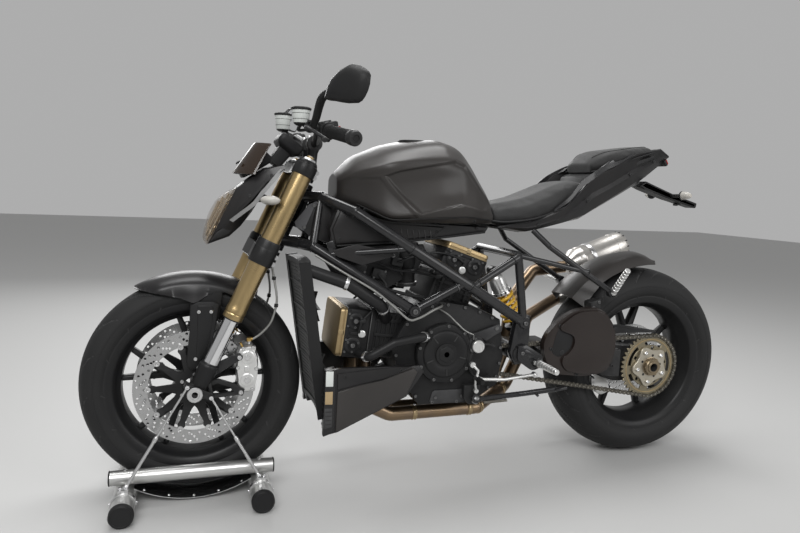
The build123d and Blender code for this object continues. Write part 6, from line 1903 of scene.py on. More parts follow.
def makeTank():
    bm = newBm()
    columns = len(tankRows[0][1])
    lines = []
    for c in range(columns):
        lines.append(curvePoints([(x, half[c][0], half[c][1]) for x, half in tankRows], 6))
    rings = []
    for k in range(len(lines[0])):
        half = [lines[c][k] for c in range(columns)]
        fine = []
        for a, b in zip(half, half[1:]):
            fine += [a.lerp(b, t) for t in (0, 1 / 3, 2 / 3)]
        fine.append(half[-1])
        # round the section between its edges, keeping the two creases
        soft = []
        for i, p in enumerate(fine):
            kept = i in (0, 9, 21, len(fine) - 1)
            soft.append(p if kept else p.lerp((fine[i - 1] + fine[i + 1]) / 2, 0.5))
        rings.append(mirrored(soft[1:]) + soft)
    addRings(bm, rings, 0)
    seat = capLook["seat"]
    tank = placePiece(bm, "tankShell", "chassis", ["tankPaint"], ["fuel_tank"], sharp=34, level=2)
    # the well around the cap is cut out
    cutter = newBm()
    addLathe(cutter, [(0, capLook["well"]), (40, capLook["well"])], seat, (0, 0, 1), 64)
    addLathe(cutter, [(-60, 22), (10, 22)], seat, (0, 0, 1), 40)
    tool = meshObject(cutter, "wellCut")
    cut = tank.modifiers.new("well", "BOOLEAN")
    cut.operation = "DIFFERENCE"
    cut.solver = "EXACT"
    cut.use_self = True
    cut.object = tool
    bpy.context.view_layer.update()
    applyModifiers(tank)
    bpy.data.objects.remove(tool)
    for panel in tankPanels:
        emboss(tank.data, *panel)
    shadeSmooth(tank.data, 40)
    bm = newBm()
    addLathe(bm, [(0.2, 44), (0.2, 49.6), (3.6, 49.6), (5.2, 48.6), (5.2, 47.4)], seat, (0, 0, 1), 72, 0)
    for side in (-1, 1):
        # seam strip under the side, a front mount and screws
        edge = [(x, side * (half[8][0] * 1.004), half[8][1] + 2) for x, half in tankRows[2:-1]]
        addTube(bm, edge, 2.6, 8, 0, True, 0.7)
        addBox(bm, (352, side * 58, 838), (36, 22, 8), (0, -18, 0), 0, 2)
        for x, y, z in ((150, 150, 796), (-36, 126, 798), (296, 118, 822)):
            addBolt(bm, (x, side * y, z), (0, side, -0.5), 6.0, 3.2, 1)
    placePiece(bm, "tankTrim", "chassis", ["blackPlastic", "blackMetal"], ["fuel_tank"])
    bm = newBm()
    addLathe(bm, [(0.5, 30), (0.5, 45.6), (4.6, 45.8), (6.0, 44.6), (6.3, 40), (5.6, 39), (5.6, 33),
                  (6.3, 32), (6.3, 3)], seat, (0, 0, 1), 72, 0)
    for a in fullTurn(6, 20):
        addBolt(bm, seat + Vector((math.cos(a) * 36, math.sin(a) * 36, 5.6)), (0, 0, 1), 3.8, 0.8, 1)
    addBox(bm, seat + Vector((-10, 0, 5.9)), (26, 13, 1.0), (0, 0, 0), 1, 0.4)
    addLathe(bm, [(-6, 3), (-6, 15.6), (0.6, 15.8), (0.6, 3)], seat, (0, 0, 1), 40, 2)
    placePiece(bm, "fillerLid", "fuel_cap", ["blackMetal", "brightMetal", "hoseRubber"], ["fuel_cap"])


def makeAirbox():
    bm = newBm()
    outline = [(366, 832), (392, 762), (380, 712), (200, 726), (60, 742), (-90, 762), (-104, 784), (226, 784),
               (318, 818)]
    sideSlab(bm, outline, -98, 98, 0, 6)
    for side in (-1, 1):
        sideSlab(bm, [(360, 826), (386, 762), (374, 720), (204, 734), (80, 748), (40, 778), (226, 780),
                      (314, 812)], side * 96, side * 103, 0, 3.0, 0.02)
        addTube(bm, [(370, side * 100, 716), (200, side * 101, 729), (60, side * 101, 745),
                     (-86, side * 101, 765)], 3.2, 8, 1, True)
        for x, z in ((344, 800), (362, 736), (190, 744), (70, 762), (-60, 776)):
            addBolt(bm, (x, side * 102, z), (0, side, 0), 4.6, 2.6, 2)
        for k in range(6):
            addBox(bm, (180 - k * 18, side * 102.6, 756 - k * 0.5), (4, 2.4, 26), (0, 12, 0), 0, 0.8)
    placePiece(bm, "intakeBox", "chassis", ["satinPaint", "blackPlastic", "blackMetal"], ["airbox"], sharp=32)
    bm = newBm()
    for side in (-1, 1):
        # facet of the duct behind the fork, its grey a painted highlight on the satin black paint, and the
        # dark panel between it and the intake box
        facet = ((445, 829), (484, 778), (479, 763), (458, 754), (424, 838))
        skin = [Vector((x, side * (66 - (x - 424) * 0.14), z)) for x, z in facet]
        addRings(bm, [[v - Vector((0, side * 6, 0)) for v in skin], skin] if side > 0 else
                 [skin, [v - Vector((0, side * 6, 0)) for v in skin]], mat=4)
        sideSlab(bm, [(423, 838), (458, 754), (431, 733), (376, 718), (380, 830)], side * 54, side * 60, 2,
                 2.0)
        for x, z in ((431, 826), (457, 764)):
            addBolt(bm, (x, side * (66 - (x - 424) * 0.14), z), (0, side, 0), 4.6, 3.0, 0)
        sideSlab(bm, [(388, 706), (318, 724), (216, 706), (204, 692), (300, 664), (372, 688)], side * 122,
                 side * 127, 2, 2.0)
        # thin light line along the lower frame tube, on the left only
        line = [(431, 104, 690), (352, 131, 643), (273, 156, 598), (224, 172, 560), (176, 187, 519),
                (148, 188, 521), (126, 186, 530), (96, 180, 544), (66, 160, 550), (52, 118, 548)]
        if side == 1:
            addTube(bm, line, 3.4, 12, 3, True)
    placePiece(bm, "ductPanels", "chassis",
               ["boltSteel", "castMetal", "satinPaint", "silverHose", "ductPaintedHighlight"], ["trellis_frame"],
               sharp=32)


# The seats' cloth run: voxel in metres, pressure, stiffness, frames, and smoothing passes after it
puff = {"voxel": 0.006, "pressure": 4.0, "stiffness": 14, "bending": 1.5, "frames": 20, "smoothings": 4}


def clothPad(bm, name, body, label, node, cap):
    # remeshed, puffed by a short cloth run with its travel capped, then smoothed
    pad = meshObject(bm, name)
    voxel = pad.modifiers.new("voxel", "REMESH")
    voxel.mode = "VOXEL"
    voxel.voxel_size = puff["voxel"]
    bpy.context.view_layer.update()
    applyModifiers(pad)
    rest = [v.co.copy() for v in pad.data.vertices]
    cloth = pad.modifiers.new("puff", "CLOTH")
    cloth.settings.use_pressure = True
    cloth.settings.uniform_pressure_force = puff["pressure"]
    cloth.settings.effector_weights.gravity = 0.0
    cloth.settings.tension_stiffness = puff["stiffness"]
    cloth.settings.compression_stiffness = puff["stiffness"]
    cloth.settings.bending_stiffness = puff["bending"]
    cloth.point_cache.frame_start = 1
    cloth.point_cache.frame_end = puff["frames"]
    for number in range(1, puff["frames"] + 1):
        scene.frame_set(number)
    applyModifiers(pad)
    scene.frame_set(1)
    for vert, start in zip(pad.data.vertices, rest):
        travel = vert.co - start
        if travel.length > cap:
            vert.co = start + travel.normalized() * cap
    bmSoft = bmesh.new()
    bmSoft.from_mesh(pad.data)
    for _ in range(puff["smoothings"]):
        bmesh.ops.smooth_vert(bmSoft, verts=bmSoft.verts[:], factor=0.5, use_axis_x=True, use_axis_y=True,
                              use_axis_z=True)
    bmSoft.to_mesh(pad.data)
    bmSoft.free()
    addSubdivision(pad, "smoother", 1)
    pad.data.materials.clear()
    pad.data.materials.append(finish[label])
    pad.data.polygons.foreach_set("use_smooth", [True] * len(pad.data.polygons))
    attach(pad, body)
    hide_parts(node)
    return pad


# Seats: rows by X, each as Y and Z from the top middle to the lower middle
riderRows = (
    (-112, ((0, 845), (50, 845), (82, 838), (92, 822), (93, 800), (80, 790), (0, 790))),
    (-150, ((0, 850), (60, 850), (98, 840), (108, 822), (110, 798), (98, 786), (0, 788))),
    (-230, ((0, 868), (66, 869), (112, 858), (128, 838), (131, 810), (118, 800), (0, 800))),
    (-300, ((0, 896), (64, 897), (110, 884), (126, 860), (129, 832), (116, 822), (0, 822))),
    (-352, ((0, 917), (62, 918), (106, 905), (122, 880), (125, 854), (112, 846), (0, 846))),
    (-405, ((0, 929), (56, 929), (94, 920), (106, 902), (108, 884), (96, 878), (0, 878))),
    (-448, ((0, 933), (50, 933), (78, 930), (88, 922), (89, 914), (80, 910), (0, 910))),
)
pillionRows = (
    (-462, ((0, 992), (42, 992), (66, 986), (75, 976), (76, 966), (66, 960), (0, 960))),
    (-488, ((0, 1018), (50, 1017), (80, 1008), (92, 992), (93, 974), (80, 966), (0, 966))),
    (-520, ((0, 1034), (54, 1033), (88, 1022), (101, 1004), (102, 984), (88, 974), (0, 974))),
    (-570, ((0, 1043), (50, 1042), (84, 1034), (97, 1020), (98, 1002), (86, 992), (0, 992))),
    (-620, ((0, 1051), (44, 1050), (78, 1044), (91, 1034), (92, 1018), (80, 1008), (0, 1008))),
    (-680, ((0, 1056), (36, 1056), (60, 1053), (71, 1046), (72, 1034), (62, 1026), (0, 1026))),
    (-712, ((0, 1058), (30, 1058), (48, 1056), (56, 1051), (57, 1042), (48, 1036), (0, 1036))),
)


def padRings(rows):
    columns = len(rows[0][1])
    lines = [curvePoints([(x, half[c][0], half[c][1]) for x, half in rows], 4) for c in range(columns)]
    rings = []
    for k in range(len(lines[0])):
        half = [lines[c][k] for c in range(columns)]
        rings.append(half + mirrored(half[1:-1]))
    return rings


def seamAlong(bm, rows, column, radius, mat=0, lift=0.0):
    for side in (-1, 1):
        line = [(x, side * (half[column][0] + lift), half[column][1]) for x, half in rows]
        addTube(bm, line, radius, 8, mat, True)


def makeSeats():
    for name, rows, cap in (("riderSeat", riderRows, 0.006), ("pillionSeat", pillionRows, 0.005)):
        bm = newBm()
        addRings(bm, padRings(rows))
        clothPad(bm, name, "chassis", "seatLeather", "seats", cap)


def surfaceLift(pad, x, y):
    # the height of a pad's upper skin at a place seen from above
    hit, spot = pad.ray_cast(Vector((x / 1000, y / 1000, 1.3)), Vector((0, 0, -1)))[:2]
    return spot * 1000 if hit else None


def makeSeatSeams():
    bpy.context.view_layer.update()
    bm = newBm()
    pad = bpy.data.objects["pillionSeat"]
    seam = curvePoints([(-476, 50, 0), (-500, 64, 0), (-540, 70, 0), (-590, 66, 0), (-640, 56, 0),
                        (-690, 38, 0)], 6)
    for side in (-1, 1):
        line = [surfaceLift(pad, p.x, side * p.y) for p in seam]
        addTube(bm, [at + Vector((0, 0, 0.2)) for at in line if at], 1.3, 6, 0)
    seamAlong(bm, riderRows, 4, 3.0, 1, -1.0)
    seamAlong(bm, pillionRows, 4, 2.6, 1, -1.0)
    placePiece(bm, "seatSeams", "chassis", ["gripRubber", "blackPlastic"], ["seats"])


def tailWidth(x):
    rows = ((-120, 108), (-260, 138), (-420, 132), (-600, 94), (-810, 24))
    for (x0, w0), (x1, w1) in zip(rows, rows[1:]):
        if x >= x1:
            return w0 + (w1 - w0) * (x0 - x) / (x0 - x1)
    return rows[-1][1]


def tailEdges(x):
    upper = ((-126, 784), (-240, 806), (-342, 850), (-440, 954), (-520, 984), (-620, 1034), (-752, 1058),
             (-806, 1036))
    lower = ((-126, 780), (-214, 766), (-419, 812), (-676, 944), (-806, 1030))
    found = []
    for rows in (upper, lower):
        for (x0, z0), (x1, z1) in zip(rows, rows[1:]):
            if x0 >= x >= x1:
                found.append(z0 + (z1 - z0) * (x0 - x) / (x0 - x1))
                break
    return found


def makeTail():
    bm = newBm()
    stations = [-128, -150, -180, -214, -240, -280, -320, -342, -360, -380, -400, -420, -440, -470, -500,
                -520, -550, -585, -620, -660, -700, -730, -752, -780, -800]
    # each side is a folded panel with a raised blade along its upper edge
    for side in (-1, 1):
        rings = []
        for x in stations:
            top, low = tailEdges(x)
            wide = tailWidth(x)
            deep = top - low
            waist = wide - min(8, deep * 0.1)
            fold = low + deep * 0.45
            rings.append([Vector((x, side * y, z)) for y, z in (
                    (wide - 9, top), (wide - 4, top + 0.5), (wide, top - 3), (wide - 1.5, top - deep * 0.14),
                    (waist, fold + deep * 0.12), (wide - 2, fold), (wide - 12, low + deep * 0.14),
                    (wide * 0.62, low + 1), (wide * 0.55, low + 3), (wide - 18, low + deep * 0.2),
                    (wide - 10, fold), (waist - 7, fold + deep * 0.12), (wide - 11, top - deep * 0.14))])
        addRings(bm, rings, 0)
        blade = [(-300, 131, 838), (-352, 132, 872), (-390, 129, 912), (-427, 128, 938), (-484, 116, 972),
                 (-540, 106, 996), (-600, 92, 1026)]
        rings = []
        for k, p in enumerate(curvePoints(blade, 6)):
            t = k / (6 * (len(blade) - 1))
            high = 4 + 16 * math.sin(math.pi * min(1, t * 1.1)) ** 0.8 if t < 0.9 else 6
            rings.append([Vector((p.x, side * (p.y - 2.4), p.z - 3)),
                          Vector((p.x, side * (p.y + 2.4), p.z - 3)),
                          Vector((p.x - 3, side * (p.y + 1.0), p.z + high)),
                          Vector((p.x - 3, side * (p.y - 1.4), p.z + high))])
        addRings(bm, rings, 1)
        sideSlab(bm, [(-452, 965), (-500, 972), (-528, 1000), (-516, 1006), (-486, 982)], side * 98,
                 side * 110, 1, 2.0)
        for x in (-250, -420, -600, -720):
            top, low = tailEdges(x)
            addBolt(bm, (x, side * (tailWidth(x) - 3), low + (top - low) * 0.5), (0, side, 0), 4.6, 2.8, 2)
    # underside and the rear deck
    rings = []
    for x in stations:
        top, low = tailEdges(x)
        wide = tailWidth(x) * 0.64
        rings.append([Vector((x, y, z)) for y,
                      z in ((-wide, low + 3), (wide, low + 3), (wide * 0.9, low), (-wide * 0.9, low))])
    addRings(bm, rings, 3)
    rings = []
    for x in (-716, -730, -745, -760, -780, -800):
        top, low = tailEdges(x)
        wide = tailWidth(x) - 5
        rings.append([Vector((x, y, z)) for y, z in (
                (-wide, top - 2), (-wide * 0.5, top), (wide * 0.5, top), (wide, top - 2),
                (wide * 0.8, low + 6), (-wide * 0.8, low + 6))])
    addRings(bm, rings, 0)
    sideSlab(bm, [(-430, 900), (-446, 948), (-462, 958), (-700, 1030), (-700, 1020), (-470, 930),
                  (-440, 890)], -78, 78, 3, 2.0)
    sideSlab(bm, [(-130, 784), (-230, 796), (-350, 842), (-430, 890), (-436, 876), (-350, 824), (-230, 782),
                  (-140, 774)], -88, 88, 3, 2.0)
    placePiece(bm, "tailBody", "chassis", ["satinPaint", "framePaint", "blackMetal", "blackPlastic"],
               ["tail_cowl"], sharp=32)
    bm = newBm()
    turn = Matrix.Rotation(math.radians(30), 4, "Y")
    for x, sizes, mat in ((-3, (9, 55, 21), 1), (4.5, (5, 51, 17), 0)):
        corner = [Vector((a * sizes[0] / 2, b * sizes[1] / 2, c * sizes[2] / 2)) for a, b, c in ((
                -1, -1, -1), (1, -1, -1), (1, 1, -1), (-1, 1, -1), (-1, -1, 1), (1, -1, 1), (1, 1, 1),
                                                                                                 (-1, 1, 1))]
        spot = Vector((-792, 0, 1014)) + turn @ Vector((-x, 0, 0))
        moved = [spot + turn @ c for c in corner]
        addPrism(bm, moved[:4], moved[4:], mat, 1.6)
    for k in range(7):
        addLathe(bm, [(0, 0.6), (0, 3), (1.2, 2.6), (1.6, 0.6)],
                 Vector((-792, 0, 1014)) + turn @ Vector((-6.8, -21 + 7 * k, 0)), turn @ Vector((-1, 0, 0)),
                 12, 0)
    placePiece(bm, "tailLampUnit", "chassis", ["redLamp", "blackPlastic"], ["tail_lamp"])
    bm = newBm()
    arm = [(-690, 928), (-716, 948), (-820, 912), (-940, 880), (-936, 862), (-826, 888), (-720, 918)]
    sideSlab(bm, arm, -26, 26, 0, 4)
    for side in (-1, 1):
        sideSlab(bm, [(-700, 932), (-718, 942), (-820, 908), (-930, 876), (-928, 868), (-826, 894),
                      (-722, 924)], side * 23, side * 26, 0, 1.0)
        addTube(bm, [(-826, side * 20, 902), (-826, side * 74, 904)], 6.0, 16, 0)
        start, tip = Vector((-826, side * 72, 904)), Vector((-832, side * 112, 905))
        axis = (tip - start).normalized()
        addLathe(bm, [(0, 3), (0, 10), (3, 15), (8, 15), (9, 13)], start, axis, 32, 0)
        addLathe(bm, [(8, 14.4), (16, 13.4), (28, 11), (36, 8.4), (40, 5), (40.4, 1)], start, axis, 32, 1)
    addBox(bm, (-934, 0, 874), (4, 50, 12), (0, 20, 0), 0, 1)
    addBox(bm, (-880, 0, 876), (30, 20, 8), (0, 18, 0), 2, 2)
    placePiece(bm, "plateHangerArm", "chassis", ["blackPlastic", "clearLamp", "castMetal"], ["plate_hanger"],
               sharp=32)


def makeBay():
    # carrier plate, coils, throttle bodies and looms inside the frame
    bm = newBm()
    for side in (-1, 1):
        sideSlab(bm, [(404, 700), (300, 712), (96, 722), (84, 700), (112, 640), (200, 590), (262, 566),
                      (330, 590)], side * 56, side * 60, 0, 1.5)
        for x, z, size in ((300, 650, (56, 12, 34)), (232, 632, (44, 12, 30)), (176, 668, (36, 10, 26)),
                           (350, 686, (40, 10, 18))):
            addBox(bm, (x, side * 65, z), size, (0, -14, 0), 1, 3)
        for x, z in ((322, 664), (278, 638), (214, 640), (250, 622)):
            addBolt(bm, (x, side * 71, z), (0, side, 0), 3.4, 2.4, 2)
        addLathe(bm, [(0, 24), (0, 30), (10, 30), (14, 26), (60, 26), (66, 30), (100, 32), (126, 38),
                      (130, 38), (130, 24)], (138, side * 42, 594), (0.06, 0, 1), 40, 1)
        for k in range(3):
            addLathe(bm, drum(-2, 2, 25, 31.6), (138 + k * 2.4, side * 42, 604 + k * 40), (0.06, 0, 1), 36, 2)
        addTube(bm, [(168, side * 60, 640), (150, side * 54, 622)], 6, 14, 1)
        for line, radius in ((((372, 78, 706), (330, 82, 650), (276, 80, 610), (214, 84, 590), (150, 92, 574),
                               (100, 96, 566)),
                              5.0), (((366, 74, 700), (316, 78, 664), (250, 76, 668), (190, 82, 646),
                                      (120, 90, 640), (60, 104, 630), (20, 112, 640)),
                                     4.0), (((236, 72, 632), (216, 92, 600), (232, 104, 560), (262, 108, 528),
                                             (290, 110, 500)),
                                            3.6), ((
                (176, 74, 668), (120, 84, 690), (60, 98, 700), (10, 106, 690), (-20, 110, 672)), 3.6)):
            addTube(bm, [(x, side * y, z) for x, y, z in line], radius, 10, 3, True)
        for spot, axis in (((250, 78, 600), (1, 0, 0.4)), ((120, 92, 569), (1, 0, 0.2)),
                           ((60, 104, 630), (1, 0, 0)), ((290, 110, 500), (0.5, 0, -1))):
            addBox(bm, flip(spot, side), (18, 10, 10), (0, -20 * axis[2], 0), 1, 1.5)
        addLathe(bm, [(0, 4), (0, 5.6), (24, 5.6), (26, 4.2), (34, 4.2)], flip((292, 111, 498), side),
                 (0.25, 0, -1), 12, 3)
    addTube(bm, [(200, -96, 690), (200, 96, 690)], 6, 14, 2)
    placePiece(bm, "bayFittings", "chassis", ["blackPlastic", "blackMetal", "boltSteel", "hoseRubber"],
               ["airbox"], sharp=35)


makeTank()
makeAirbox()
makeBay()
makeSeats()
makeSeatSeams()
makeTail()
print("tank, seats and tail made")

# Swingarm: outlines in side view
armLook = {"pivot": Vector((-210, 0, 392)),
           "housing": [(-288, 430), (-330, 488), (-400, 530), (-500, 536), (-556, 470), (-566, 392),
                       (-540, 318),
                       (-450, 307), (-330, 322), (-300, 372)],
           "panel": [(-330, 470), (-400, 524), (-498, 529), (-549, 468), (-558, 392), (-535, 325),
                     (-450, 314), (-372, 330),
                     (-352, 368), (-398, 402), (-402, 446)]}


def roundLoop(points, radius, steps=4):
    # a closed outline with each corner turned by a short curve
    loop = []
    count = len(points)
    for i, p in enumerate(points):
        p = Vector(p)
        back, ahead = Vector(points[i - 1]) - p, Vector(points[(i + 1) % count]) - p
        reach = min(radius, back.length * 0.48, ahead.length * 0.48)
        a, b = p + back.normalized() * reach, p + ahead.normalized() * reach
        for k in range(steps + 1):
            t = k / steps
            spot = a * (1 - t) ** 2 + p * (2 * t * (1 - t)) + b * t ** 2
            loop.append((spot.x, spot.y))
    return loop


def makeSwingarm():
    bm = newBm()
    pivot = armLook["pivot"]
    addLathe(bm, [(-94, 10.2), (-94, 24), (-92, 27), (-70, 27), (70, 27), (92, 27), (94, 24), (94, 10.2)],
             pivot, (0, 1, 0), 48, 0, ring=True)
    sideSlab(bm, [(-226, 400), (-300, 398), (-386, 399), (-386, 323), (-300, 346), (-226, 368)], -69, 69, 0,
             6)
    sideSlab(bm, [(-300, 396), (-386, 396), (-386, 324), (-300, 340)], 62, 122, 0, 5)
    sideSlab(bm, roundLoop(armLook["housing"], 34), 120, 141, 1, 4.0, 0.015)
    sideSlab(bm, roundLoop(armLook["panel"], 30), 138, 148.5, 1, 4.5, 0.03)
    sideSlab(bm, roundLoop([(-338, 462), (-372, 486), (-398, 440), (-392, 402), (-350, 374), (-322, 392)],
                           14), 139.6, 142, 2, 1.0)
    for x, z in ((-320, 404), (-346, 478), (-420, 318), (-545, 470), (-552, 340)):
        addBolt(bm, (x, 141, z), (0, 1, 0), 5.4, 3.6, 3)
    for x, z in ((-362, 470), (-360, 392)):
        addLathe(bm, [(0, 3), (0, 8), (2.0, 7.4), (2.4, 3)], (x, 141.6, z), (0, 1, 0), 20, 0)
    sideSlab(bm, [(-556, 392), (-556, 284), (-612, 268), (-725.5, 264), (-725.5, 384), (-612, 392)], 26, 84,
             0, 7)
    sideSlab(bm, [(-524, 394), (-524, 304), (-600, 294), (-600, 388)], 82, 122, 0, 5)
    guard = [(-546, 474), (-580, 474), (-728, 450), (-729, 443), (-580, 446), (-546, 440)]
    sideSlab(bm, guard, 121.2, 125.8, 0, 1.0)
    sideSlab(bm, [(-552, 470), (-580, 470), (-700, 450), (-702, 447), (-580, 466)], 125, 127.5, 0, 0.6)
    addLathe(bm, [(17, 25.2), (17, 56), (20, 62), (30, 64), (80, 64), (92, 60), (96, 52), (96, 46), (93, 44),
                  (93, 34), (96, 32), (96, 25.2)], rearAxle, (0, 1, 0), 72, 0, ring=True)
    for spot in aroundY(rearAxle, 39, 8, 92.6, 20):
        addLathe(bm, [(0, 2), (0, 3.6), (1.8, 3.4), (1.8, 2)], spot, (0, 1, 0), 10, 2)
    for z in (274, 266):
        addBolt(bm, (-660 - (z - 266), 84, z + 10), (0, 1, 0), 5.6, 6, 3)
    placePiece(bm, "swingarmCasting", "chassis", ["blackMetal", "armPaint", "blackPlastic", "blackMetal"],
               ["swingarm"], sharp=32)


shockEnds = (Vector((-150.0, 40.0, 640.0)), Vector((-262.0, 40.0, 428.0)))


def makeShock():
    top, low = shockEnds
    run = low - top
    length = run.length
    axis = run.normalized()
    bm = newBm()
    addLathe(bm, [(0, 3), (0, 14), (length * 0.05, 15)], top, axis, 32, 1)
    addLathe(bm, [(length * 0.045, 5), (length * 0.06, 17), (length * 0.09, 23.5), (length * 0.13, 26.4),
                  (length * 0.2, 27), (length * 0.26, 27), (length * 0.262, 25), (length * 0.275, 25),
                  (length * 0.277, 27), (length * 0.30, 27), (length * 0.302, 30), (length * 0.34, 31),
                  (length * 0.343, 20)], top, axis, 48, 0)
    first, second = sideAxes(axis)[1:]
    for a in fullTurn(12):
        spot = top + axis * (length * 0.32) + (first * math.cos(a) + second * math.sin(a)) * 30
        addBox(bm, spot, (5, 5, 7), (0, 0, 0), 1, 0.8)
    addLathe(bm, [(length * 0.34, 3), (length * 0.34, 13.8), (length * 0.8, 13.8), (length * 0.8, 3)], top,
             axis, 32, 2)
    addLathe(bm, [(length * 0.8, 6), (length * 0.8, 33.4), (length * 0.83, 34), (length * 0.86, 32),
                  (length * 0.86, 20), (length * 0.93, 15), (length, 14), (length, 3)], top, axis, 48, 1)
    for at in (top, low):
        addLathe(bm, [(-17, 4), (-17, 12), (-14, 15), (14, 15), (17, 12), (17, 4)], at, (0, 1, 0), 32, 1)
        addBolt(bm, at + Vector((0, 17, 0)), (0, 1, 0), 8, 5, 0)
    placePiece(bm, "shockStrut", "chassis", ["caliperMetal", "blackMetal", "chromeTube"], ["shock_body"],
               sharp=35)
    bm = newBm()
    turns, start, end = 5.6, length * 0.352, length * 0.792
    line = []
    for k in range(int(turns * 22) + 1):
        t = k / int(turns * 22)
        a = 2 * math.pi * turns * t
        near = min(1.0, min(t, 1 - t) * 9)
        rise = start + (end - start) * (t + 0.012 * math.sin(2 * math.pi * t) * near)
        line.append(top + axis * rise + (first * math.cos(a) + second * math.sin(a)) * 29.4)
    addTube(bm, line, 5.2, 12, 0)
    placePiece(bm, "shockCoil", "chassis", ["yellowSpring"], ["shock_spring"])


cans = ((Vector((-560.0, -186.0, 628.0)), Vector((-790.0, -196.0, 708.0))),
        (Vector((-536.0, -190.0, 506.0)), Vector((-778.0, -200.0, 588.0))))


def makeExhaust():
    bm = newBm()
    for start, end in cans:
        axis = (end - start).normalized()
        length = (end - start).length
        addLathe(bm, [(-2, 20), (-2, 25.4), (6, 26.4), (38, 50.4), (44, 52), (60, 52), (61, 52.7), (70, 52.7),
                      (71, 52), (length - 34, 52), (length - 33, 52.8), (length - 24, 52.8),
                      (length - 23, 52), (length, 52), (length + 10, 49), (length + 20, 38),
                      (length + 22, 35), (length + 20, 31), (length + 14, 29), (length - 10, 28),
                      (length - 10, 4)], start, axis, 72, 0)
        addLathe(bm, [(length - 9, 2), (length - 9, 27.6), (length + 12, 28.4), (length + 12, 27),
                      (length - 7, 26), (length - 7, 2)], start, axis, 48, 1)
        first, second = sideAxes(axis)[1:]
        for a in fullTurn(14):
            out = first * math.cos(a) + second * math.sin(a)
            spot = start + axis * (length + 5) + out * 50.2
            addTube(bm, [spot - axis * 5, spot + axis * 5], 2.6, 8, 1)
        for a in fullTurn(10):
            out = first * math.cos(a) + second * math.sin(a)
            addLathe(bm, [(0, 0.6), (0, 2.4), (0.9, 2.0), (1.1, 0.6)],
                     start + axis * (length - 28) + out * 52.6, out, 10, 2)
            addLathe(bm, [(0, 0.6), (0, 2.4), (0.9, 2.0), (1.1, 0.6)], start + axis * 65.5 + out * 52.5, out,
                     10, 2)
    # a strap round each can and the link between them
    upper = cans[0][0].lerp(cans[0][1], 0.42)
    lower = cans[1][0].lerp(cans[1][1], 0.5)
    for spot, axis in ((upper, cans[0][1] - cans[0][0]), (lower, cans[1][1] - cans[1][0])):
        addLathe(bm, [(-9, 51), (-9, 53.4), (-7, 54.2), (7, 54.2), (9, 53.4), (9, 51)], spot, axis, 64, 2,
                 ring=True)
    addBox(bm, (upper + lower) / 2 + Vector((0, 44, 0)), (22, 5, 60), (0, 0, 0), 3, 2)
    placePiece(bm, "silencerCans", "chassis", ["silencerSteel", "blackMetal", "brightMetal", "blackPlastic"],
               ["silencers"], sharp=35)
    bm = newBm()
    paths = (((300, 30, 392), (300, 30, 250), (170, 30, 186), (-130, 20, 186), (-290, -96, 216),
              (-350, -108, 330), (-374, -128, 450), (-528, -190, 504)), (
            (236, -50, 392), (236, -50, 260), (150, -30, 186), (-120, -30, 186), (-236, -100, 226),
            (-286, -106, 350), (-312, -124, 516), (-424, -186, 612), (-552, -186, 626)))
    for points in paths:
        line = roundCorners(points, 46, 8)
        addTube(bm, line, 21.8, 32, 0)
        total = sum((Vector(b) - Vector(a)).length for a, b in zip(line, line[1:]))
        for share in (0.10, 0.30, 0.46, 0.49, 0.62, 0.76):
            run = 0.0
            for a, b in zip(line, line[1:]):
                a, b = Vector(a), Vector(b)
                step = (b - a).length
                if run + step >= total * share:
                    at = a + (b - a) * ((total * share - run) / step)
                    axis = (b - a).normalized()
                    break
                run += step
            addLathe(bm, [(-7, 20.4), (-7, 23), (-5.6, 23.9), (-4, 23), (4, 23), (5.6, 23.9), (7, 23),
                          (7, 20.4)], at, axis, 36, 1, ring=True)
            first = sideAxes(axis)[2]
            addBolt(bm, at + first * 24, axis, 4, 8, 2, False)
    for x, y in ((300, 30), (236, -50)):
        addLathe(bm, [(0, 6), (0, 29), (8, 30), (10, 27), (10, 6)], (x, y, 378), (0, 0, 1), 36, 3)
    placePiece(bm, "headerPipes", "chassis", ["headerSteel", "headerBand", "brightMetal", "castBlack"],
               ["exhaust_headers"], sharp=40)


chainLook = {"pitch": 15.875, "rear": Vector((-725.5, 324.0)), "front": Vector((-96.0, 372.0)),
             "teeth": (42, 15),
             "y": 106.0}


def aim(a):
    return Vector((math.cos(a), math.sin(a)))


def chainPins():
    # the pins of a loop round both sprockets, in equal steps
    rear, front = chainLook["rear"], chainLook["front"]
    rearR, frontR = (chainLook["pitch"] / (2 * math.sin(math.pi / n)) for n in chainLook["teeth"])
    gap = (front - rear).length
    tilt = math.atan2(front.y - rear.y, front.x - rear.x)
    lean = math.asin((rearR - frontR) / gap)
    up, down = tilt + math.pi / 2 + lean, tilt - math.pi / 2 - lean
    run = math.sqrt(gap ** 2 - (rearR - frontR) ** 2)
    spans = (run, (up - down) * frontR, run, (2 * math.pi - (up - down)) * rearR)
    count = 2 * round(sum(spans) / chainLook["pitch"] / 2)
    pins = []
    for i in range(count):
        s = i * sum(spans) / count
        if s < spans[0]:
            pins.append((rear + aim(down) * rearR).lerp(front + aim(down) * frontR, s / run))
        elif s < spans[0] + spans[1]:
            pins.append(front + aim(down + (s - spans[0]) / frontR) * frontR)
        elif s < sum(spans[:3]):
            pins.append((front + aim(up) * frontR).lerp(
                    rear + aim(up) * rearR, (s - spans[0] - spans[1]) / run))
        else:
            pins.append(rear + aim(up + (s - sum(spans[:3])) / rearR) * rearR)
    return pins


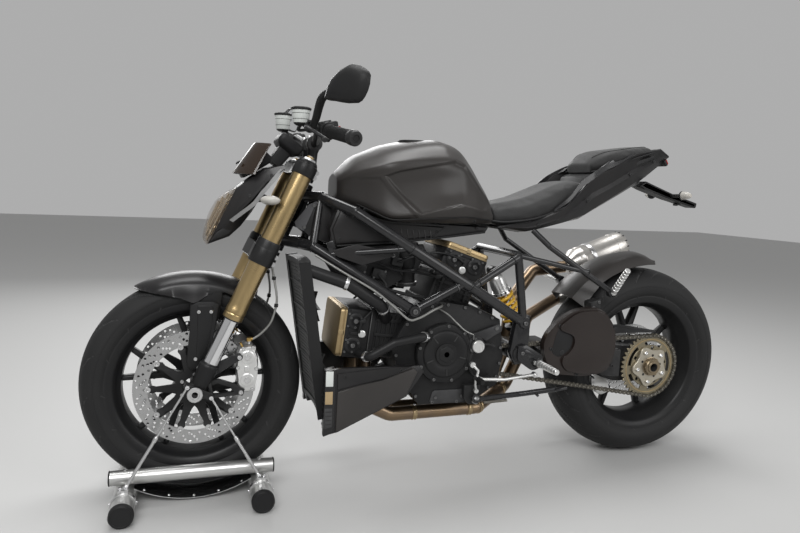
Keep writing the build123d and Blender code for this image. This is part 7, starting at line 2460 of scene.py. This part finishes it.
def makeChain():
    bm = newBm()
    pins = chainPins()
    y = chainLook["y"]
    for i, pin in enumerate(pins):
        nxt = pins[(i + 1) % len(pins)]
        ahead = (nxt - pin).normalized()
        side = Vector((-ahead.y, ahead.x))
        reach = (nxt - pin).length
        low, high, mat = ((6.3, 8.1, 0), (4.3, 6.1, 1))[i % 2]
        outline = []
        for centre, turn in ((0, math.pi), (reach, 0)):
            for k in range(7):
                a = turn - math.pi / 2 + math.pi * k / 6
                outline.append(pin + ahead * (centre + math.cos(a) * 6.6) + side * math.sin(a) * 6.6)
            outline.append(pin + ahead * reach / 2 + side * (4.4 if turn else -4.4) * -1)
        for sign in (-1, 1):
            sideSlab(bm, [(p.x, p.y) for p in outline], y + sign * low, y + sign * high, mat)
            addLathe(bm, [(0, 1), (0, 2.9), (0.7, 2.4), (0.8, 1)], (pin.x, y + sign * 8.1, pin.y),
                     (0, sign, 0), 10, 2)
        addLathe(bm, drum(-4.4, 4.4, 2, 4.9), (pin.x, y, pin.y), (0, 1, 0), 10, 2)
    placePiece(bm, "chainLinks", "chassis", ["chainDark", "chainSteel", "chainSteel"], ["drive_chain"],
               sharp=45)


def makeSprocket():
    bm = newBm()
    pitchR = chainLook["pitch"] / (2 * math.sin(math.pi / chainLook["teeth"][0]))
    root = pitchR - 5.5
    outline = []
    for a in fullTurn(chainLook["teeth"][0]):
        for turn, r in ((-0.030, root), (-0.021, root + 5), (-0.009, root + 9.4), (0.009, root + 9.4),
                        (0.021, root + 5), (0.030, root)):
            outline.append((r * math.cos(a + turn * 2), r * math.sin(a + turn * 2)))
    holes = []
    for i in range(5):
        middle = 27 + 72 * i
        arc = [math.radians(middle - 25 + 50 * k / 12) for k in range(13)]
        holes.append([(84 * math.cos(a), 84 * math.sin(a)) for a in arc]
                     + [(72 * math.cos(a), 72 * math.sin(a)) for a in reversed(arc)])
        holes.append(circleLoop(6, 16, (62 * math.cos(math.radians(middle)),
                                        62 * math.sin(math.radians(middle)))))
    holes.append(circleLoop(25.2, 40))
    centre = (rearAxle.x, rearAxle.z)
    addPlate(bm, [outline] + holes, centre, 106, 6, 0, 0.7)
    ring = [circleLoop(93, 72), circleLoop(90, 72)]
    addPlate(bm, ring, centre, 109.2, 0.8, 1, 0.1)
    placePiece(bm, "sprocketPlate", "rear_wheel", ["sprocketGold", "goldCast"], ["rear_sprocket"], sharp=35)
    bm = newBm()
    loop = []
    for a in fullTurn(120):
        lobe = math.cos(2.5 * (a - math.radians(27 + 36))) ** 2
        reach = 56 + 15 * lobe ** 1.3
        loop.append((reach * math.cos(a), reach * math.sin(a)))
    addPlate(bm, [loop, circleLoop(24, 40)], centre, 113.5, 9, 0, 1.2)
    for at, dot in zip(aroundY(rearAxle, 53, 5, 118, 63), aroundY(rearAxle, 38, 5, 117.8, 99)):
        addLathe(bm, [(0, 3), (0, 9.4), (1.4, 9), (1.4, 3)], at, (0, 1, 0), 28, 0)
        addLathe(bm, [(1, 2), (1, 6.6), (5, 6.6), (6, 5.6), (6, 3.6), (3.4, 3.4), (3.4, 2)], at, (0, 1, 0), 6,
                 3)
        addLathe(bm, [(0, 2), (0, 4.6), (0.6, 4.4), (0.6, 2)], dot, (0, 1, 0), 16, 2)
    hub = rearAxle
    addLathe(bm, [(117, 14.3), (117, 32), (119, 32), (120, 29), (131, 28.4), (133, 26.4), (133, 21),
                  (135, 20.4), (136, 19), (136, 14.3)], hub, (0, 1, 0), 60, 1, ring=True)
    for a in fullTurn(6):
        addBox(bm, hub + Vector((math.cos(a) * 29, 128, math.sin(a) * 29)), (5, 7, 5),
               (0, -math.degrees(a), 0), 1, 1)
    addLathe(bm, drum(30, 117, 14.3, 24.8), hub, (0, 1, 0), 48, 0, ring=True)
    spindleLow = -72.0
    addLathe(bm, [(spindleLow, 14.3), (spindleLow, 24), (spindleLow + 2, 25), (32, 25), (32, 14.3)], hub,
             (0, 1, 0), 48, 0, ring=True)
    addLathe(bm, [(spindleLow - 2, 14.6), (spindleLow - 2, 36), (spindleLow, 39.4), (spindleLow + 10, 40),
                  (spindleLow + 14, 38), (spindleLow + 14, 14.6)], hub, (0, 1, 0), 6, 1, ring=True)
    addLathe(bm, drum(100, 134, 13.2, 14.2), hub, (0, 1, 0), 40, 2, ring=True)
    placePiece(bm, "sprocketCarrier", "rear_wheel",
               ["carrierMetal", "nutBronze", "blackMetal", "brightMetal"], ["rear_spindle"], sharp=35)


hangerTubes = (((-240, 118, 776), (-286, 148, 728), 9.0), ((-286, 148, 728), (-516, 150, 588), 9.0),
               ((-190, 143, 698), (-428, 150, 650), 8.0))


def makeRests():
    bm = newBm()
    for side in (-1, 1):
        plate = roundLoop([(-196, 420), (-226, 424), (-286, 386), (-282, 352), (-250, 340), (-196, 376)], 10)
        sideSlab(bm, plate, side * 143.5, side * 156, 0, 2.0)
        sideSlab(bm, [(-208, 404), (-226, 410), (-268, 382), (-264, 362), (-246, 358), (-208, 384)],
                 side * 155, side * 157, 0, 0.8)
        for x, z in ((-212, 398), (-262, 372)):
            addBolt(bm, (x, side * 156.4, z), (0, side, 0), 6.0, 3.4, 1)
        for start, end, radius in hangerTubes:
            addTube(bm, [flip(start, side), flip(end, side)], radius, 20, 0)
        for start, end, radius in hangerTubes[:2]:
            addLathe(bm, [(-radius, 2), (-radius * 0.7, radius * 0.8), (0, radius),
                          (radius * 0.7, radius * 0.8), (radius, 2)],
                     flip(end if radius == 9.0 else start, side), (0, 1, 0), 20, 0)
        addWeld(bm, flip((-428, 150, 650), side), Vector((-238, 7 * side, -48)), 8.0)
        addLathe(bm, [(138, 4), (138, 11), (141, 14), (159, 14), (162, 11), (162, 4)], (-520, 0, 584),
                 (0, side, 0), 32, 0)
        # clevis of the passenger's rest and the lug of the rider's
        sideSlab(bm, [(-506, 596), (-532, 596), (-536, 574), (-512, 570)], side * 152, side * 162, 0, 2)
        addBolt(bm, (-520, side * 162, 584), (0, side, 0), 6, 4, 1)
        root = flip((-262, 157, 368), side)
        for z in (-10, 10):
            addBox(bm, root + Vector((0, side * 6, z)), (22, 18, 5), (0, 0, 0), 0, 1.4)
        addTube(bm, [root + Vector((0, side * 8, -14)), root + Vector((0, side * 8, 14))], 3.6, 12, 1)
    placePiece(bm, "restHangers", "chassis", ["framePaint", "boltSteel"], ["foot_hangers"], sharp=35)
    bm = newBm()

    def peg(root, tip, rootR, tipR):
        root, tip = Vector(root), Vector(tip)
        axis = (tip - root).normalized()
        length = (tip - root).length
        profile = [(0, 3), (0, rootR), (6, rootR), (8, rootR * 0.86)]
        count = 7
        for k in range(count):
            a = 14 + (length - 24) * k / count
            b = 14 + (length - 24) * (k + 0.72) / count
            r = rootR + (tipR - rootR) * a / length
            profile += [(a - 0.6, r * 0.9), (a, r), (b, r), (b + 0.6, r * 0.9)]
        profile += [(length - 8, tipR), (length - 1.5, tipR), (length, tipR * 0.8), (length, 2)]
        addLathe(bm, profile, root, axis, 28, 0)

    for side in (-1, 1):
        peg(flip((-262, 157, 368), side), flip((-272, 262, 364), side), 12, 9)
    peg((-522, 156, 584), (-507, 240, 668), 11, 9)
    peg((-522, -156, 578), (-514, -250, 588), 11, 9)
    # gear lever: rod, joints, pedal, and the link up to the engine
    addTube(bm, roundCorners([(-256, 160, 330), (-150, 168, 322), (-56, 176, 330)], 30), 5.2, 14, 0)
    for at in ((-256, 160, 330), (-62, 175, 330)):
        addLathe(bm, drum(-7, 7, 3, 8), at, (0, 1, 0), 20, 1)
        addBolt(bm, Vector(at) + Vector((0, 7, 0)), (0, 1, 0), 4.4, 3, 0)
    addTube(bm, [(-56, 162, 330), (-56, 178, 330)], 7.8, 20, 1)
    addLathe(bm, [(0, 3), (0, 6.6), (2, 8), (32, 8), (35, 6.6), (35, 3)], (-56, 178, 330), (0, 1, 0), 20, 2)
    for k in range(6):
        addLathe(bm, drum(-1, 1, 7.4, 8.7), (-56, 182 + k * 5, 330), (0, 1, 0), 20, 2, ring=True)
    addTube(bm, roundCorners([(-256, -160, 330), (-150, -168, 300), (-70, -172, 300)], 30), 5.2, 14, 0)
    addLathe(bm, [(0, 3), (0, 6.6), (2, 8), (46, 8), (48, 6.6), (48, 3)], (-70, -172, 300), (0, -1, 0), 20, 2)
    addLathe(bm, drum(-7, 7, 3, 8), (-256, -160, 330), (0, 1, 0), 20, 1)
    addTube(bm, [(-48, 160, 366), (-62, 163, 352), (-56, 166, 330)], 4.6, 12, 0)
    addLathe(bm, drum(-5, 5, 3, 8.6), (-44, 158, 370), (0, 1, 0), 20, 0)
    addTube(bm, [(-56, 160, 330), (-60, 152, 306), (-66, 148, 286)], 4.0, 12, 0)
    addLathe(bm, drum(-5, 5, 2, 7), (-66, 146, 284), (0, 1, 0), 20, 0)
    placePiece(bm, "footPegs", "chassis", ["caliperMetal", "brightMetal", "gripRubber"], ["footrests"],
               sharp=35)


def makeHugger():
    bm = newBm()
    start, sweep = 38.0, 56.0
    outer = [(-88, 344), (-80, 356), (-64, 371), (-34, 379), (0, 383), (34, 379), (64, 371), (80, 356),
             (88, 344)]
    inner = [(84, 342), (76, 353), (61, 367), (32, 375), (0, 379), (-32, 375), (-61, 367), (-76, 353),
             (-84, 342)]
    rings = []
    count = 40
    for k in range(count + 1):
        t = k / count
        a = math.radians(start + sweep * t)
        narrow = 1.0 - 0.22 * max(0.0, (t - 0.72) / 0.28) ** 2
        drop = 16 * max(0.0, (t - 0.8) / 0.2) ** 2
        ring = []
        for y, r in outer + inner:
            low = r - (18 * max(0.0, 1 - t * 3) if abs(y) > 75 else 0)
            low -= drop if abs(y) < 75 else 0
            ring.append(rearAxle + Vector((math.cos(a) * low, y * narrow, math.sin(a) * low)))
        rings.append(ring)
    addRings(bm, rings, 0)
    sideSlab(bm, [(-468, 548), (-506, 560), (-506, 524), (-468, 520)], 82, 122, 1, 3)
    for x, z in ((-478, 532), (-498, 548)):
        addBolt(bm, (x, 122, z), (0, 1, 0), 5, 3.4, 2)
    # the blade is in the lighter copy of the satin black paint, a painted highlight
    placePiece(bm, "huggerBlade", "chassis", ["satinPaintedHighlight", "blackMetal", "boltSteel"], ["rear_hugger"],
               sharp=35)


def makeRearCaliper():
    bm = newBm()
    body = roundLoop([(-640, 214), (-600, 200), (-566, 236), (-560, 270), (-596, 282), (-628, 250)], 10)
    sideSlab(bm, body, 14.5, 25, 0, 2.5)
    sideSlab(bm, body, -16, -1.5, 0, 2.5)
    for x, z in ((-630, 220), (-572, 246), (-590, 272)):
        addBox(bm, (x, 5, z), (13, 26, 13), (0, 30, 0), 0, 2)
        addBolt(bm, (x, 25, z), (0, 1, 0), 4.4, 3, 1)
    addLathe(bm, [(0, 3), (0, 18), (3, 17), (4, 13), (3, 12), (3, 3)], (-602, -12, 240), (0, -1, 0), 32, 0)
    addTube(bm, [(-572, 24, 262), (-548, 30, 280), (-520, 60, 300), (-470, 66, 318), (-400, 66, 340)], 3.0,
            10, 2, True)
    placePiece(bm, "rearCaliperBody", "chassis", ["caliperMetal", "brightMetal", "hoseRubber"],
               ["rear_caliper"], sharp=35)


def makeSideStand():
    pivot, hinge = sideStand["pivot"], sideStand["hinge"]
    bm = newBm()
    addLathe(bm, [(-8, 5.1), (-8, 12.5), (-6.5, 14), (6.5, 14), (8, 12.5), (8, 5.1)], pivot, hinge, 40, 0,
             ring=True)
    line = roundCorners([pivot + Vector((-13, 1, 1)), Vector((-200, 166, 272)), Vector((-318, 196, 292))], 60,
                        8)
    addTube(bm, line, 8.3, 20, 0)
    addBox(bm, (-326, 198, 294), (40, 24, 8.6), (0, 8, 0), 0, 2.5)
    addTube(bm, [(-250, 178, 279), (-252, 196, 274)], 4.4, 12, 0)
    # return spring along the leg
    start, end = pivot + Vector((-24, 8, -9)), Vector((-160, 172, 258))
    first, second = sideAxes((end - start).normalized())[1:]
    coil = []
    for k in range(261):
        a = 2 * math.pi * k / 10
        coil.append(start.lerp(end, k / 260) + (first * math.cos(a) + second * math.sin(a)) * 4.2)
    addTube(bm, coil, 0.9, 6, 1)
    placePiece(bm, "sideStandLeg", "side_stand", ["framePaint", "chainSteel"], ["side_stand"], sharp=35)


makeSwingarm()
makeShock()
makeExhaust()
makeChain()
makeSprocket()
makeRests()
makeHugger()
makeRearCaliper()
makeSideStand()
print("swingarm, exhaust and drive made")
